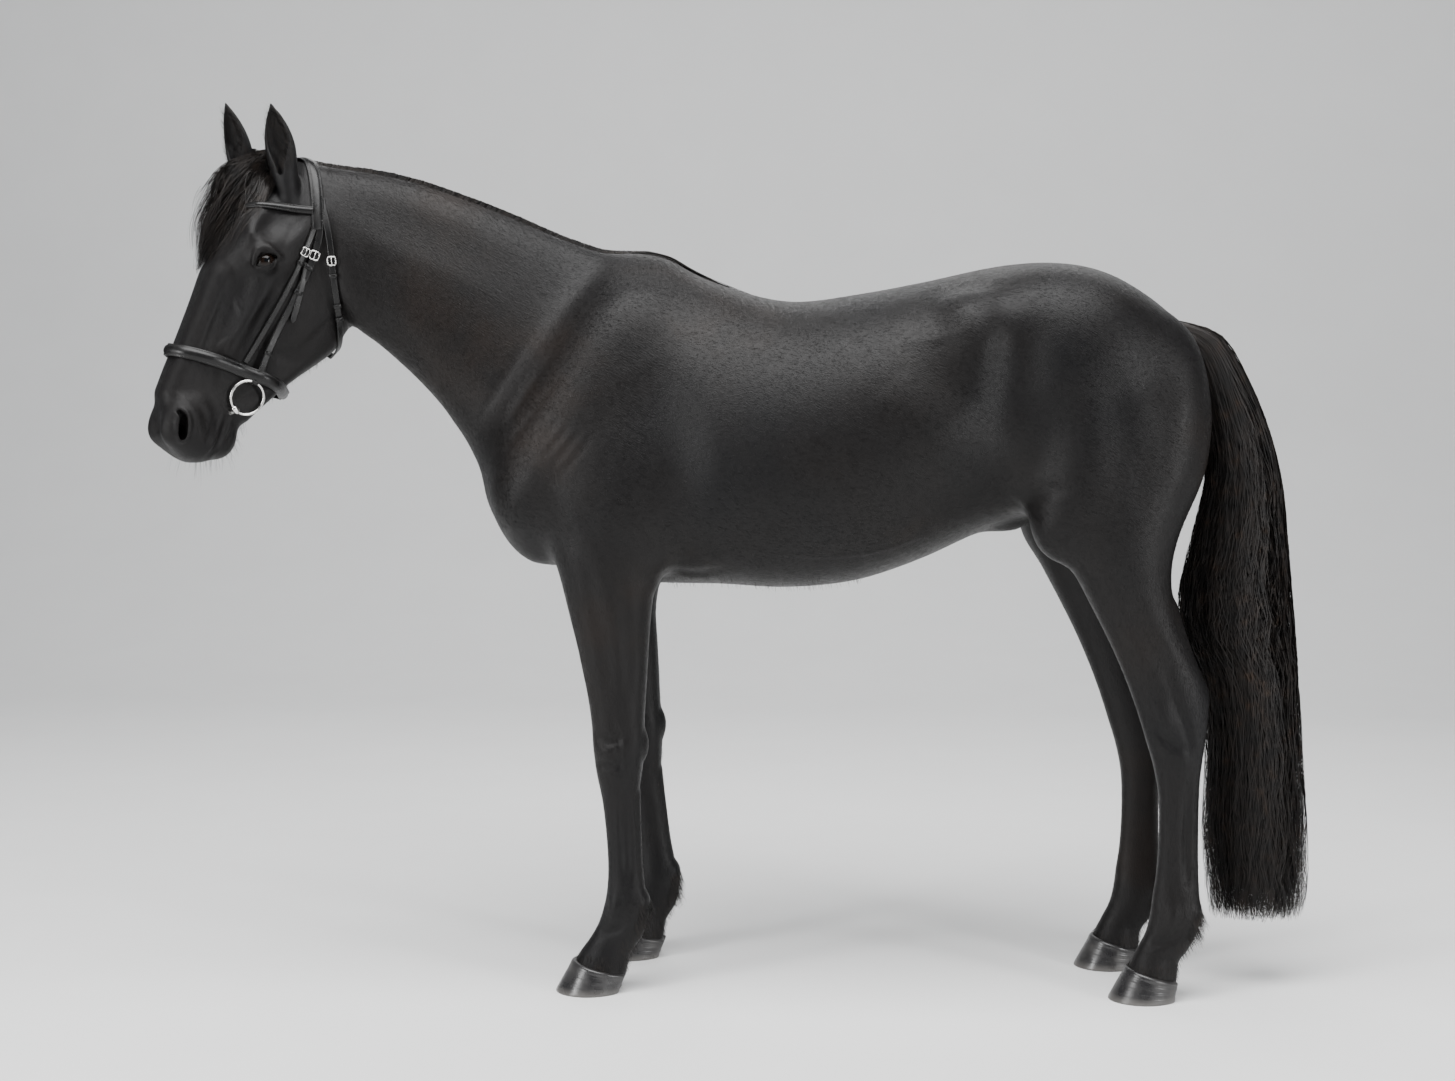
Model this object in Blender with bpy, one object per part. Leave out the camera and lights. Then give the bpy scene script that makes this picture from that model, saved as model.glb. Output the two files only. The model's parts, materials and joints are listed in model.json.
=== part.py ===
"""A life-size standing horse: a black riding horse, 1.60 m at the withers, wearing a bridle.

Frame: metres, +Z up. The horse faces -X, its left side is -Y, and its four feet stand on z = 0.
The flesh is drawn once, as a field of signed distances: lofts through a few measured stations give
the outline, and muscles and bones are ellipsoids and tapered rods blended into them. The field is
meshed as one body, which thin plane cuts then part into head, neck, trunk and legs.
"""

import math

import bmesh
import bpy
import numpy as np
import openvdb
from mathutils import Matrix, Vector
from mathutils.bvhtree import BVHTree

# ---------------------------------------------------------------- driving dimensions
CELL = 0.0085  # side of the cells that the flesh is meshed with
FLESH_TRIANGLES = 2840  # what the whole body is reduced to before it is parted
HEAD_REACH = 0.37  # what is nearer to the head's middle than this keeps more triangles,
HEAD_PLAINNESS = 0.98  # as this is less than 1
GAP = 0.0003  # room between neighbouring solids
BAND = 0.05  # the field is only kept this close to the surface

# The head has its own frame: u runs down the face, v forwards out of it, and w to the left.
ORIGIN = Vector((0.0277, -0.0254, 0.0))  # below the middle of the whole horse
POLL = Vector((-0.930, -0.105, 1.775))
HEAD_YAW = math.radians(40.0)  # the head looks a little to the horse's left
FACE_LEAN = math.radians(22.5)  # of the nose line, from the vertical

SIDES = {"l": -1.0, "r": 1.0}  # left is -Y

FORE_FOOT_Y = 0.145
HIND_FOOT_Y = 0.130
# How far back each leg stands from the left one, as (height, step) from the ground up.
FORE_STEP = {"l": [(0.0, 0.0)], "r": [(0.0, 0.056), (0.63, 0.0), (0.82, -0.022), (1.05, 0.0)]}
HIND_STEP = {"l": [(0.0, 0.0)], "r": [(0.0, -0.047), (0.95, -0.047), (1.20, 0.0)]}


def head_axes():
    """The head's u, v and w directions as the columns of a matrix."""
    ahead = Vector((-math.cos(HEAD_YAW), -math.sin(HEAD_YAW), 0.0))
    up = Vector((0.0, 0.0, 1.0))
    down_face = ahead * math.sin(FACE_LEAN) - up * math.cos(FACE_LEAN)
    out_of_face = ahead * math.cos(FACE_LEAN) + up * math.sin(FACE_LEAN)
    left = Vector((-ahead.y, ahead.x, 0.0))
    return np.array([down_face, out_of_face, left], float).T


HEAD = head_axes()


def from_head(points):
    """Points in the head's (u, v, w) as points of the row frame."""
    return np.asarray(points, float) @ HEAD.T + np.array(POLL)


def to_head(points):
    return (points - np.array(POLL)) @ HEAD


# ---------------------------------------------------------------- stations
# Each row is one cross-section: the ends (along, up) of its long axis, its half width, its centre's
# offset to the left, how square it is (2 is an ellipse), and how much wider it is at its second end.
TRUNK = [  # from the breast to the buttocks: top of the back, then underside
    (-0.430, 1.300, -0.440, 0.975, 0.160, 0.0, 2.2, 0.00),
    (-0.340, 1.450, -0.355, 0.905, 0.195, 0.0, 2.1, 0.15),
    (-0.240, 1.560, -0.250, 0.876, 0.218, 0.0, 2.0, 0.28),
    (-0.140, 1.574, -0.140, 0.869, 0.238, 0.0, 1.9, 0.28),
    (-0.020, 1.524, -0.010, 0.868, 0.264, 0.0, 2.0, 0.18),
    (0.130, 1.484, 0.130, 0.862, 0.286, 0.0, 2.1, 0.08),
    (0.280, 1.499, 0.280, 0.878, 0.292, 0.0, 2.15, 0.04),
    (0.430, 1.526, 0.420, 0.925, 0.278, 0.0, 2.2, 0.00),
    (0.570, 1.556, 0.550, 0.985, 0.252, 0.0, 2.2, -0.06),
    (0.690, 1.566, 0.660, 1.020, 0.245, 0.0, 2.1, -0.06),
    (0.800, 1.548, 0.780, 1.010, 0.235, 0.0, 2.1, 0.00),
    (0.900, 1.495, 0.880, 1.000, 0.205, 0.0, 2.1, 0.05),
    (0.965, 1.440, 0.955, 1.020, 0.150, 0.0, 2.1, 0.05),
]
TRUNK_ENDS = (0.075, 0.055)  # how far the rounded ends stand out

NECK = [  # from the poll to the withers: crest, then throat
    (-0.885, 1.766, -0.845, 1.480, 0.066, 0.105, 2.0, 0.05),
    (-0.800, 1.766, -0.788, 1.420, 0.078, 0.095, 2.0, 0.15),
    (-0.690, 1.748, -0.730, 1.370, 0.083, 0.075, 2.0, 0.22),
    (-0.580, 1.714, -0.663, 1.302, 0.090, 0.055, 2.0, 0.28),
    (-0.470, 1.672, -0.599, 1.220, 0.101, 0.035, 2.0, 0.32),
    (-0.360, 1.625, -0.542, 1.124, 0.118, 0.018, 2.0, 0.36),
    (-0.260, 1.590, -0.520, 1.030, 0.138, 0.006, 2.0, 0.36),
    (-0.150, 1.562, -0.455, 0.960, 0.155, 0.0, 2.0, 0.30),
]
NECK_ENDS = (0.03, 0.13)

HEAD_LOFT = [  # in the head's (u, v): face line, then jaw line
    (0.000, 0.005, 0.060, -0.190, 0.062, 0.0, 2.1, -0.05),
    (0.060, 0.042, 0.120, -0.225, 0.078, 0.0, 2.2, -0.12),
    (0.130, 0.073, 0.180, -0.236, 0.088, 0.0, 2.3, -0.18),
    (0.210, 0.090, 0.240, -0.238, 0.089, 0.0, 2.4, -0.20),
    (0.290, 0.091, 0.310, -0.238, 0.080, 0.0, 2.4, -0.16),
    (0.370, 0.086, 0.385, -0.203, 0.068, 0.0, 2.4, -0.12),
    (0.450, 0.085, 0.450, -0.150, 0.057, 0.0, 2.4, -0.10),
    (0.530, 0.087, 0.520, -0.110, 0.050, 0.0, 2.3, -0.05),
    (0.600, 0.080, 0.588, -0.091, 0.047, 0.0, 2.2, 0.00),
    (0.640, 0.055, 0.630, -0.076, 0.042, 0.0, 2.1, 0.00),
]
HEAD_ENDS = (0.03, 0.031)

FORE_LEG = [  # front edge, back edge, half width, offset outwards
    (-0.395, 1.080, -0.150, 1.080, 0.095, 0.140, 2.0, 0.0),
    (-0.368, 0.960, -0.135, 0.960, 0.085, 0.148, 2.1, 0.0),
    (-0.345, 0.880, -0.143, 0.880, 0.074, 0.150, 2.1, 0.0),
    (-0.325, 0.800, -0.152, 0.800, 0.064, 0.150, 2.1, 0.0),
    (-0.308, 0.730, -0.157, 0.730, 0.057, 0.149, 2.1, 0.0),
    (-0.292, 0.650, -0.162, 0.650, 0.050, 0.148, 2.2, 0.0),
    (-0.282, 0.585, -0.166, 0.585, 0.047, 0.147, 2.4, 0.0),
    (-0.278, 0.525, -0.166, 0.525, 0.048, 0.146, 2.6, 0.0),
    (-0.271, 0.470, -0.173, 0.470, 0.042, 0.145, 2.5, 0.0),
    (-0.260, 0.415, -0.180, 0.415, 0.031, 0.145, 2.3, 0.0),
    (-0.252, 0.345, -0.179, 0.345, 0.0275, 0.145, 2.3, 0.0),
    (-0.248, 0.275, -0.174, 0.275, 0.0275, 0.145, 2.3, 0.0),
    (-0.250, 0.225, -0.165, 0.220, 0.033, 0.145, 2.2, 0.0),
    (-0.256, 0.190, -0.158, 0.172, 0.0375, 0.145, 2.2, 0.0),
    (-0.268, 0.150, -0.172, 0.120, 0.033, 0.145, 2.1, 0.0),
    (-0.287, 0.115, -0.196, 0.085, 0.0325, 0.145, 2.1, 0.0),
    (-0.308, 0.086, -0.205, 0.055, 0.040, 0.145, 2.1, 0.0),
    (-0.320, 0.062, -0.208, 0.032, 0.046, 0.145, 2.1, 0.0),
]
HIND_LEG = [
    (0.640, 1.230, 1.000, 1.260, 0.105, 0.130, 2.1, 0.0),
    (0.655, 1.110, 1.004, 1.140, 0.108, 0.136, 2.1, 0.0),
    (0.690, 1.000, 0.972, 1.040, 0.100, 0.142, 2.1, 0.0),
    (0.732, 0.915, 0.945, 0.945, 0.084, 0.148, 2.1, 0.0),
    (0.772, 0.840, 0.941, 0.880, 0.068, 0.151, 2.1, 0.0),
    (0.812, 0.762, 0.955, 0.810, 0.056, 0.150, 2.1, 0.0),
    (0.846, 0.685, 0.980, 0.742, 0.048, 0.147, 2.1, 0.0),
    (0.874, 0.610, 1.010, 0.680, 0.044, 0.143, 2.2, 0.0),
    (0.892, 0.553, 1.022, 0.610, 0.044, 0.139, 2.4, 0.0),
    (0.908, 0.500, 1.014, 0.535, 0.041, 0.136, 2.4, 0.0),
    (0.920, 0.435, 1.006, 0.450, 0.034, 0.133, 2.3, 0.0),
    (0.922, 0.350, 1.004, 0.350, 0.0295, 0.131, 2.3, 0.0),
    (0.918, 0.272, 1.007, 0.270, 0.029, 0.130, 2.3, 0.0),
    (0.911, 0.222, 1.012, 0.215, 0.034, 0.130, 2.2, 0.0),
    (0.907, 0.185, 1.013, 0.165, 0.0385, 0.130, 2.2, 0.0),
    (0.898, 0.145, 0.993, 0.115, 0.034, 0.130, 2.1, 0.0),
    (0.882, 0.112, 0.970, 0.082, 0.0335, 0.130, 2.1, 0.0),
    (0.868, 0.084, 0.966, 0.052, 0.041, 0.130, 2.1, 0.0),
    (0.858, 0.062, 0.966, 0.030, 0.046, 0.130, 2.1, 0.0),
]
LEG_ENDS = (0.05, 0.008)


# ---------------------------------------------------------------- shapes as signed distances
def spline(rows, count):
    """Rows of numbers drawn out to count rows along a smooth curve through them."""
    rows = np.asarray(rows, float)
    at = np.linspace(0, len(rows) - 1, count)
    i = np.clip(at.astype(int), 0, len(rows) - 2)
    t = (at - i)[:, None]
    before, after = rows[np.maximum(i - 1, 0)], rows[np.minimum(i + 2, len(rows) - 1)]
    a, b = rows[i], rows[i + 1]
    slope_a, slope_b = (b - before) / 2, (after - a) / 2
    t2, t3 = t * t, t * t * t
    return (
        (2 * t3 - 3 * t2 + 1) * a
        + (t3 - 2 * t2 + t) * slope_a
        + (3 * t2 - 2 * t3) * b
        + (t3 - t2) * slope_b
    )


class Loft:
    """A body through stations, whose planes may fan out. to_own takes points to (along, up, left)."""

    def __init__(self, stations, ends, count=48, to_own=None, from_own=None, side=1.0):
        rows = spline(stations, count)
        self.top, self.low = rows[:, 0:2], rows[:, 2:4]
        self.half_width, self.square, self.widen = rows[:, 4], rows[:, 6], rows[:, 7]
        self.middle = rows[:, 5] * side
        self.ends = ends
        self.to_own = to_own or (lambda p: np.stack([p[:, 0], p[:, 2], -p[:, 1]], 1))
        self.from_own = from_own or (lambda q: np.stack([q[:, 0], -q[:, 2], q[:, 1]], 1))
        long_axis = self.low - self.top
        self.half_depth = np.linalg.norm(long_axis, axis=1) / 2
        self.axis = long_axis / (2 * self.half_depth[:, None])
        normal = np.stack([self.axis[:, 1], -self.axis[:, 0]], 1)
        onwards = np.gradient((self.top + self.low) / 2, axis=0)
        normal *= np.sign((normal * onwards).sum(1))[:, None]
        self.normal = normal
        self.reach = normal, (self.top * normal).sum(1)

    def box(self):
        corners = []
        for edge in (self.top, self.low):
            for sign in (-1, 1):
                left = self.middle + sign * self.half_width * (1 + np.abs(self.widen))
                corners.append(np.column_stack([edge, left]))
        points = self.from_own(np.concatenate(corners))
        pad = max(self.ends) + 0.01
        return points.min(0) - pad, points.max(0) + pad

    def distance(self, points):
        q = self.to_own(points)
        count = len(self.half_depth)
        normal, offset = self.reach
        past = q[:, :2] @ normal.T - offset
        last = np.clip((past >= 0).sum(1) - 1, 0, count - 2)
        row = np.arange(len(q))
        near, far = past[row, last], past[row, last + 1]
        share = np.clip(near / np.maximum(near - far, 1e-9), 0, 1)

        def at(values):
            return values[last] + (values[last + 1] - values[last]) * (
                share if values.ndim == 1 else share[:, None]
            )

        centre = at((self.top + self.low) / 2)
        depth = ((q[:, :2] - centre) * at(self.axis)).sum(1) / at(self.half_depth)
        half_width = at(self.half_width) * (1 + at(self.widen) * np.clip(depth, -1, 1))
        across = (q[:, 2] - at(self.middle)) / half_width
        n = at(self.square)
        a, b = np.abs(across) + 1e-9, np.abs(depth) + 1e-9
        size = (a**n + b**n) ** (1 / n)
        rate = size ** (1 - n) * np.hypot(a ** (n - 1) / half_width, b ** (n - 1) / at(self.half_depth))
        out = np.maximum(-past[:, 0] / self.ends[0], past[:, -1] / self.ends[1])
        out = np.maximum(out, 0)
        whole = np.hypot(size, out)
        return (whole - 1) / np.maximum(rate, 1.0 / 0.4)


class Ball:
    """An ellipsoid: its centre, its three radii, and its turn as a matrix."""

    def __init__(self, centre, radii, turn=None):
        self.centre = np.array(centre, float)
        self.radii = np.array(radii, float)
        self.turn = np.eye(3) if turn is None else np.array(turn, float)

    def box(self):
        reach = np.abs(self.turn) @ self.radii
        return self.centre - reach, self.centre + reach

    def distance(self, points):
        q = (points - self.centre) @ self.turn
        k0 = np.linalg.norm(q / self.radii, axis=1)
        k1 = np.linalg.norm(q / self.radii**2, axis=1)
        return k0 * (k0 - 1) / np.maximum(k1, 1e-6)


class Rod:
    """A rod with round ends, thicker at one end."""

    def __init__(self, start, end, start_radius, end_radius):
        self.start, self.end = np.array(start, float), np.array(end, float)
        self.radii = start_radius, end_radius

    def box(self):
        most = max(self.radii)
        return np.minimum(self.start, self.end) - most, np.maximum(self.start, self.end) + most

    def distance(self, points):
        along = self.end - self.start
        t = np.clip((points - self.start) @ along / (along @ along), 0, 1)
        radius = self.radii[0] + (self.radii[1] - self.radii[0]) * t
        return np.linalg.norm(points - self.start - t[:, None] * along, axis=1) - radius


def union(a, b, blend):
    """The smooth union of two distances. A negative blend cuts b out of a instead."""
    if blend < 0:
        return -union(-a, b, -blend)
    h = np.clip(0.5 + 0.5 * (a - b) / blend, 0, 1)
    return a + (b - a) * h - blend * h * (1 - h)


class Grid:
    """Signed distances on a block of cubic cells."""

    def __init__(self, low, high, cell):
        self.low, self.cell = np.array(low, float), cell
        self.shape = np.ceil((np.array(high) - self.low) / cell).astype(int) + 1
        self.values = np.full(self.shape, BAND, np.float32)

    def add(self, shape, blend):
        low, high = shape.box()
        pad = abs(blend) + 3 * self.cell
        first = np.clip(np.floor((low - pad - self.low) / self.cell).astype(int), 0, self.shape)
        last = np.clip(np.ceil((high + pad - self.low) / self.cell).astype(int) + 1, 0, self.shape)
        if (last <= first).any():
            return
        block = tuple(slice(a, b) for a, b in zip(first, last))
        axes = [self.low[k] + self.cell * np.arange(first[k], last[k]) for k in range(3)]
        points = np.stack(np.meshgrid(*axes, indexing="ij"), -1).reshape(-1, 3)
        found = np.concatenate(
            [shape.distance(points[i : i + 200000]) for i in range(0, len(points), 200000)]
        )
        found = found.reshape(self.values[block].shape)
        self.values[block] = union(self.values[block].astype(float), found, blend)

    def mesh(self):
        """(points, quads) where the distance is zero."""
        grid = openvdb.FloatGrid(BAND)
        grid.copyFromArray(np.clip(self.values, -BAND, BAND))
        points, quads = grid.convertToQuads()
        return points * self.cell + self.low, quads[:, ::-1]


# ---------------------------------------------------------------- anatomy
def turned(pitch=0.0, yaw=0.0, roll=0.0):
    """A turn about Y, then Z, then X, in degrees."""
    y, z, x = (math.radians(a) for a in (pitch, yaw, roll))
    return Matrix.Rotation(z, 3, "Z") @ Matrix.Rotation(y, 3, "Y") @ Matrix.Rotation(x, 3, "X")


def step_at(path, height):
    """How far back a leg has moved at a height, along its (height, step) path."""
    heights, steps = zip(*path)
    return float(np.interp(height, heights, steps))


def leg_side(stations, path):
    """Stations of one leg, each moved back by its step."""
    moved = []
    for front_x, front_z, back_x, back_z, *rest in stations:
        step = step_at(path, (front_z + back_z) / 2)
        moved.append((front_x + step, front_z, back_x + step, back_z, *rest))
    return moved


def body_muscles(side):
    """(shape, blend) for one side of the neck, trunk and haunches."""
    y = SIDES[side]
    return [
        (Ball((-0.285, 0.130 * y, 1.285), (0.088, 0.085, 0.265), turned(pitch=28)), 0.06),  # scapula
        (Ball((-0.215, 0.165 * y, 1.075), (0.130, 0.075, 0.125), turned(pitch=-35)), 0.05),  # triceps
        (Ball((-0.405, 0.125 * y, 1.085), (0.080, 0.090, 0.110), turned(pitch=20)), 0.05),  # shoulder
        (Ball((-0.405, 0.075 * y, 1.000), (0.070, 0.075, 0.090), turned(pitch=-20)), 0.04),  # breast
        (Ball((-0.165, 0.160 * y, 0.930), (0.045, 0.040, 0.060)), 0.04),  # elbow
        (Ball((0.530, 0.195 * y, 1.400), (0.060, 0.050, 0.085), turned(pitch=-12)), 0.06),  # point of hip
        (Ball((0.735, 0.125 * y, 1.380), (0.200, 0.125, 0.155), turned(pitch=14)), 0.06),  # rump
        (Ball((0.905, 0.110 * y, 1.215), (0.118, 0.108, 0.230), turned(pitch=4)), 0.05),  # hamstrings
        (Ball((0.735, 0.160 * y, 1.110), (0.090, 0.085, 0.180), turned(pitch=8)), 0.06),  # thigh
        (Ball((0.700, 0.165 * y, 1.010), (0.046, 0.055, 0.060)), 0.04),  # stifle
        (Ball((0.600, 0.325 * y, 1.290), (0.050, 0.080, 0.190), turned(pitch=12)), -0.05),  # hollow flank
    ]


def leg_bones(side):
    """(shape, blend) for the joints and tendons of one side's legs."""
    y = SIDES[side]

    def fore(x, out, z):
        return (x + step_at(FORE_STEP[side], z), (FORE_FOOT_Y + out) * y, z)

    def hind(x, out, z):
        return (x + step_at(HIND_STEP[side], z), (HIND_FOOT_Y + out) * y, z)

    return [
        (Ball(fore(-0.178, 0.0, 0.535), (0.020, 0.018, 0.034)), 0.014),  # back of the knee
        (Rod(fore(-0.188, 0.0, 0.43), fore(-0.184, 0.0, 0.24), 0.012, 0.013), 0.008),  # tendons
        (Ball(fore(-0.176, 0.0, 0.196), (0.020, 0.027, 0.024)), 0.012),  # sesamoids
        (Ball(hind(1.000, 0.008, 0.635), (0.022, 0.020, 0.045), turned(pitch=10)), 0.015),  # hock
        (Rod(hind(0.938, 0.014, 0.84), hind(0.994, 0.008, 0.68), 0.015, 0.013), 0.020),  # its cord
        (Rod(hind(0.993, 0.0, 0.46), hind(0.993, 0.0, 0.24), 0.012, 0.013), 0.008),
        (Ball(hind(0.995, 0.0, 0.190), (0.020, 0.027, 0.025)), 0.012),
    ]


def head_forms(side):
    """(shape, blend) for one side of the head, placed in its (u, v, w)."""
    w = -SIDES[side]

    def ball(centre, radii, turn=None):
        frame = HEAD if turn is None else HEAD @ np.array(turn)
        return Ball(from_head([centre])[0], radii, frame)

    def rod(start, end, *radii):
        return Rod(*from_head([start, end]), *radii)

    def tilt(angle):
        """A turn in the head's (u, v) plane."""
        return Matrix.Rotation(math.radians(angle), 3, "Z")

    return [
        (ball((0.262, -0.122, 0.042 * w), (0.128, 0.102, 0.047), tilt(-18)), 0.030),  # cheek
        (ball((0.205, 0.024, 0.064 * w), (0.076, 0.048, 0.043), tilt(-8)), 0.035),  # orbit
        (rod((0.225, -0.030, 0.080 * w), (0.100, -0.060, 0.072 * w), 0.018, 0.014), 0.040),  # zygoma
        (ball((0.150, 0.032, 0.112 * w), (0.036, 0.026, 0.022)), -0.030),  # hollow over the eye
        (rod((0.285, -0.010, 0.066 * w), (0.430, 0.006, 0.050 * w), 0.014, 0.010), 0.035),  # crest
        (rod((0.300, 0.062, 0.022 * w), (0.560, 0.070, 0.018 * w), 0.022, 0.018), 0.035),  # nasal bone
        (ball((0.400, 0.046, 0.096 * w), (0.110, 0.022, 0.030)), -0.040),  # side of the nose
        (rod((0.330, -0.188, 0.036 * w), (0.540, -0.085, 0.028 * w), 0.024, 0.016), 0.030),  # jaw bar
        (ball((0.610, 0.033, 0.036 * w), (0.056, 0.042, 0.031), tilt(20)), 0.032),  # nostril wing
        (ball((0.635, -0.010, 0.018 * w), (0.042, 0.050, 0.036)), 0.030),  # upper lip
        (ball((0.609, -0.066, 0.010 * w), (0.042, 0.032, 0.028)), 0.015),  # lower lip
        (ball((0.626, 0.026, 0.074 * w), (0.034, 0.015, 0.022), tilt(-25)), -0.012),  # nostril
    ]


EYE = (0.240, 0.011, 0.088)  # in the head's (u, v, w)
EYE_RADIUS = 0.024
# Of each ear, the middle of its base and its tip, in the head's (u, v, w).
EARS = {
    "l": ((0.054, 0.021, 0.062), (-0.077, 0.107, 0.058)),
    "r": ((0.060, 0.058, -0.066), (-0.069, 0.156, -0.067)),
}


def flesh_grid(cell, low=(-1.30, -0.46, 0.0), high=(1.10, 0.38, 1.86)):
    """The whole horse without eyes, ears, hoofs and hair, as distances on a grid."""
    grid = Grid(low, high, cell)
    grid.add(Loft(TRUNK, TRUNK_ENDS), 0.01)
    grid.add(Loft(NECK, NECK_ENDS), 0.07)
    for side, y in SIDES.items():
        for shape, blend in body_muscles(side):
            grid.add(shape, blend)
        fore = leg_side(FORE_LEG, FORE_STEP[side])
        hind = leg_side(HIND_LEG, HIND_STEP[side])
        grid.add(Loft(fore, LEG_ENDS, side=-y), 0.030)
        grid.add(Loft(hind, LEG_ENDS, side=-y), 0.035)
        for shape, blend in leg_bones(side):
            grid.add(shape, blend)
    grid.add(Ball((0.610, 0.0, 1.010), (0.060, 0.034, 0.030), turned(pitch=-10)), 0.02)  # sheath
    grid.add(Loft(HEAD_LOFT, HEAD_ENDS, to_own=to_head, from_own=from_head), 0.050)
    for side in SIDES:
        for shape, blend in head_forms(side):
            grid.add(shape, blend)
    return grid


# ---------------------------------------------------------------- objects
def material(name, colour, roughness, metallic=0.0):
    made = bpy.data.materials.new(name)
    made.use_nodes = True
    shader = made.node_tree.nodes["Principled BSDF"]
    shader.inputs["Base Color"].default_value = (*colour, 1.0)
    shader.inputs["Roughness"].default_value = roughness
    shader.inputs["Metallic"].default_value = metallic
    return made


def add_object(name, points, faces, finish):
    mesh = bpy.data.meshes.new(name)
    mesh.from_pydata([tuple(p) for p in points], [], [tuple(f) for f in faces])
    mesh.update()
    return link(name, mesh, finish)


def link(name, mesh, finish):
    mesh.materials.clear()
    mesh.materials.append(finish)
    obj = bpy.data.objects.new(name, mesh)
    bpy.context.collection.objects.link(obj)
    return obj


def apply_modifiers(obj):
    depsgraph = bpy.context.evaluated_depsgraph_get()
    mesh = bpy.data.meshes.new_from_object(obj.evaluated_get(depsgraph))
    obj.modifiers.clear()
    old, obj.data = obj.data, mesh
    bpy.data.meshes.remove(old)


def combine(obj, tool, operation="DIFFERENCE"):
    """Cut, join or intersect an object with a tool."""
    modifier = obj.modifiers.new("combine", "BOOLEAN")
    modifier.object = tool
    modifier.operation = operation
    modifier.solver = "EXACT"
    apply_modifiers(obj)


def remove(obj):
    mesh = obj.data
    bpy.data.objects.remove(obj)
    bpy.data.meshes.remove(mesh)


def grown(obj, by):
    """A copy of an object whose surface is moved outwards."""
    copy = link("tool", obj.data.copy(), obj.data.materials[0])
    mesh = copy.data
    places = [v.co + v.normal * by for v in mesh.vertices]
    for vertex, place in zip(mesh.vertices, places):
        vertex.co = place
    return copy


def cut_round(obj, other, gap=GAP):
    """Cut an object clear of another, with a gap between them."""
    tool = grown(other, gap)
    combine(obj, tool)
    remove(tool)


def keep_largest(obj):
    """Drop the crumbs that a cut leaves, keeping the one body with the most faces."""
    bm = bmesh.new()
    bm.from_mesh(obj.data)
    bm.verts.ensure_lookup_table()
    unseen = set(bm.verts)
    bodies = []
    while unseen:
        queue = [unseen.pop()]
        body = set(queue)
        while queue:
            for edge in queue.pop().link_edges:
                for vert in edge.verts:
                    if vert in unseen:
                        unseen.discard(vert)
                        body.add(vert)
                        queue.append(vert)
        bodies.append(body)
    bodies.sort(key=len)
    for body in bodies[:-1]:
        bmesh.ops.delete(bm, geom=list(body), context="VERTS")
    bmesh.ops.dissolve_degenerate(bm, dist=1e-5, edges=bm.edges)
    bmesh.ops.triangulate(bm, faces=bm.faces)
    bm.to_mesh(obj.data)
    bm.free()


def block(low, high):
    """A box between two corners, as a tool."""
    x, y, z = zip(low, high)
    points = [(a, b, c) for a in x for b in y for c in z]
    faces = [(0, 1, 3, 2), (4, 6, 7, 5), (0, 4, 5, 1), (2, 3, 7, 6), (0, 2, 6, 4), (1, 5, 7, 3)]
    return points, faces


def slab(point, normal, depth=3.0, width=4.0):
    """A huge box on the far side of a plane, as a tool."""
    turn = Vector(normal).to_track_quat("X", "Z").to_matrix()
    points, faces = block((0.0, -width, -width), (depth, width, width))
    return [Vector(point) + turn @ Vector(p) for p in points], faces


def part_off(body, name, shape, finish):
    """Take the part of the body inside a tool's shape away as an object of its own."""
    points, faces = shape
    tool = add_object("tool", points, faces, finish)
    part = link(name, body.data.copy(), finish)
    combine(part, tool, "INTERSECT")
    keep_largest(part)
    wide = grown(tool, GAP * math.sqrt(3))
    combine(body, wide)
    keep_largest(body)
    remove(tool)
    remove(wide)
    return part


def loft_shell(rows, sides=16):
    """A closed mesh through rings of points, each ring a list of the same length."""
    points = [p for ring in rows for p in ring]
    faces = []
    for i in range(len(rows) - 1):
        for j in range(sides):
            k = (j + 1) % sides
            faces.append((i * sides + j, i * sides + k, (i + 1) * sides + k, (i + 1) * sides + j))
    faces.append(tuple(range(sides))[::-1])
    last = (len(rows) - 1) * sides
    faces.append(tuple(range(last, last + sides)))
    return points, faces


def point_outwards(obj):
    bm = bmesh.new()
    bm.from_mesh(obj.data)
    bmesh.ops.triangulate(bm, faces=bm.faces)
    bmesh.ops.recalc_face_normals(bm, faces=bm.faces)
    bm.to_mesh(obj.data)
    bm.free()


# ---------------------------------------------------------------- flesh
def make_body(finish):
    """The whole horse's flesh as one closed mesh."""
    points, quads = flesh_grid(CELL).mesh()
    obj = add_object("body", points, quads, finish)
    beside = np.linalg.norm(points - from_head([(0.33, -0.06, 0.0)])[0], axis=1)
    group = obj.vertex_groups.new(name="plainness")
    group.add(np.where(beside >= HEAD_REACH)[0].tolist(), 1.0, "REPLACE")
    group.add(np.where(beside < HEAD_REACH)[0].tolist(), HEAD_PLAINNESS, "REPLACE")
    modifier = obj.modifiers.new("reduce", "DECIMATE")
    modifier.vertex_group = group.name
    modifier.ratio = FLESH_TRIANGLES / (2 * len(quads))
    apply_modifiers(obj)
    obj.vertex_groups.clear()
    point_outwards(obj)
    return obj


# Where the body is parted: a point of each plane, and the way out of the piece taken off.
HEAD_CUT = ((-0.855, -0.06, 1.60), (0.93, 0.36, 0.10))
NECK_CUT = ((-0.380, 0.0, 1.320), (0.916, 0.0, 0.402))
FORELEG_BOX = ((-0.50, 0.035, -0.1), (-0.125, 0.40, 0.900))
HINDLEG_BOX = ((0.660, 0.030, -0.1), (1.10, 0.40, 0.985))


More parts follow.
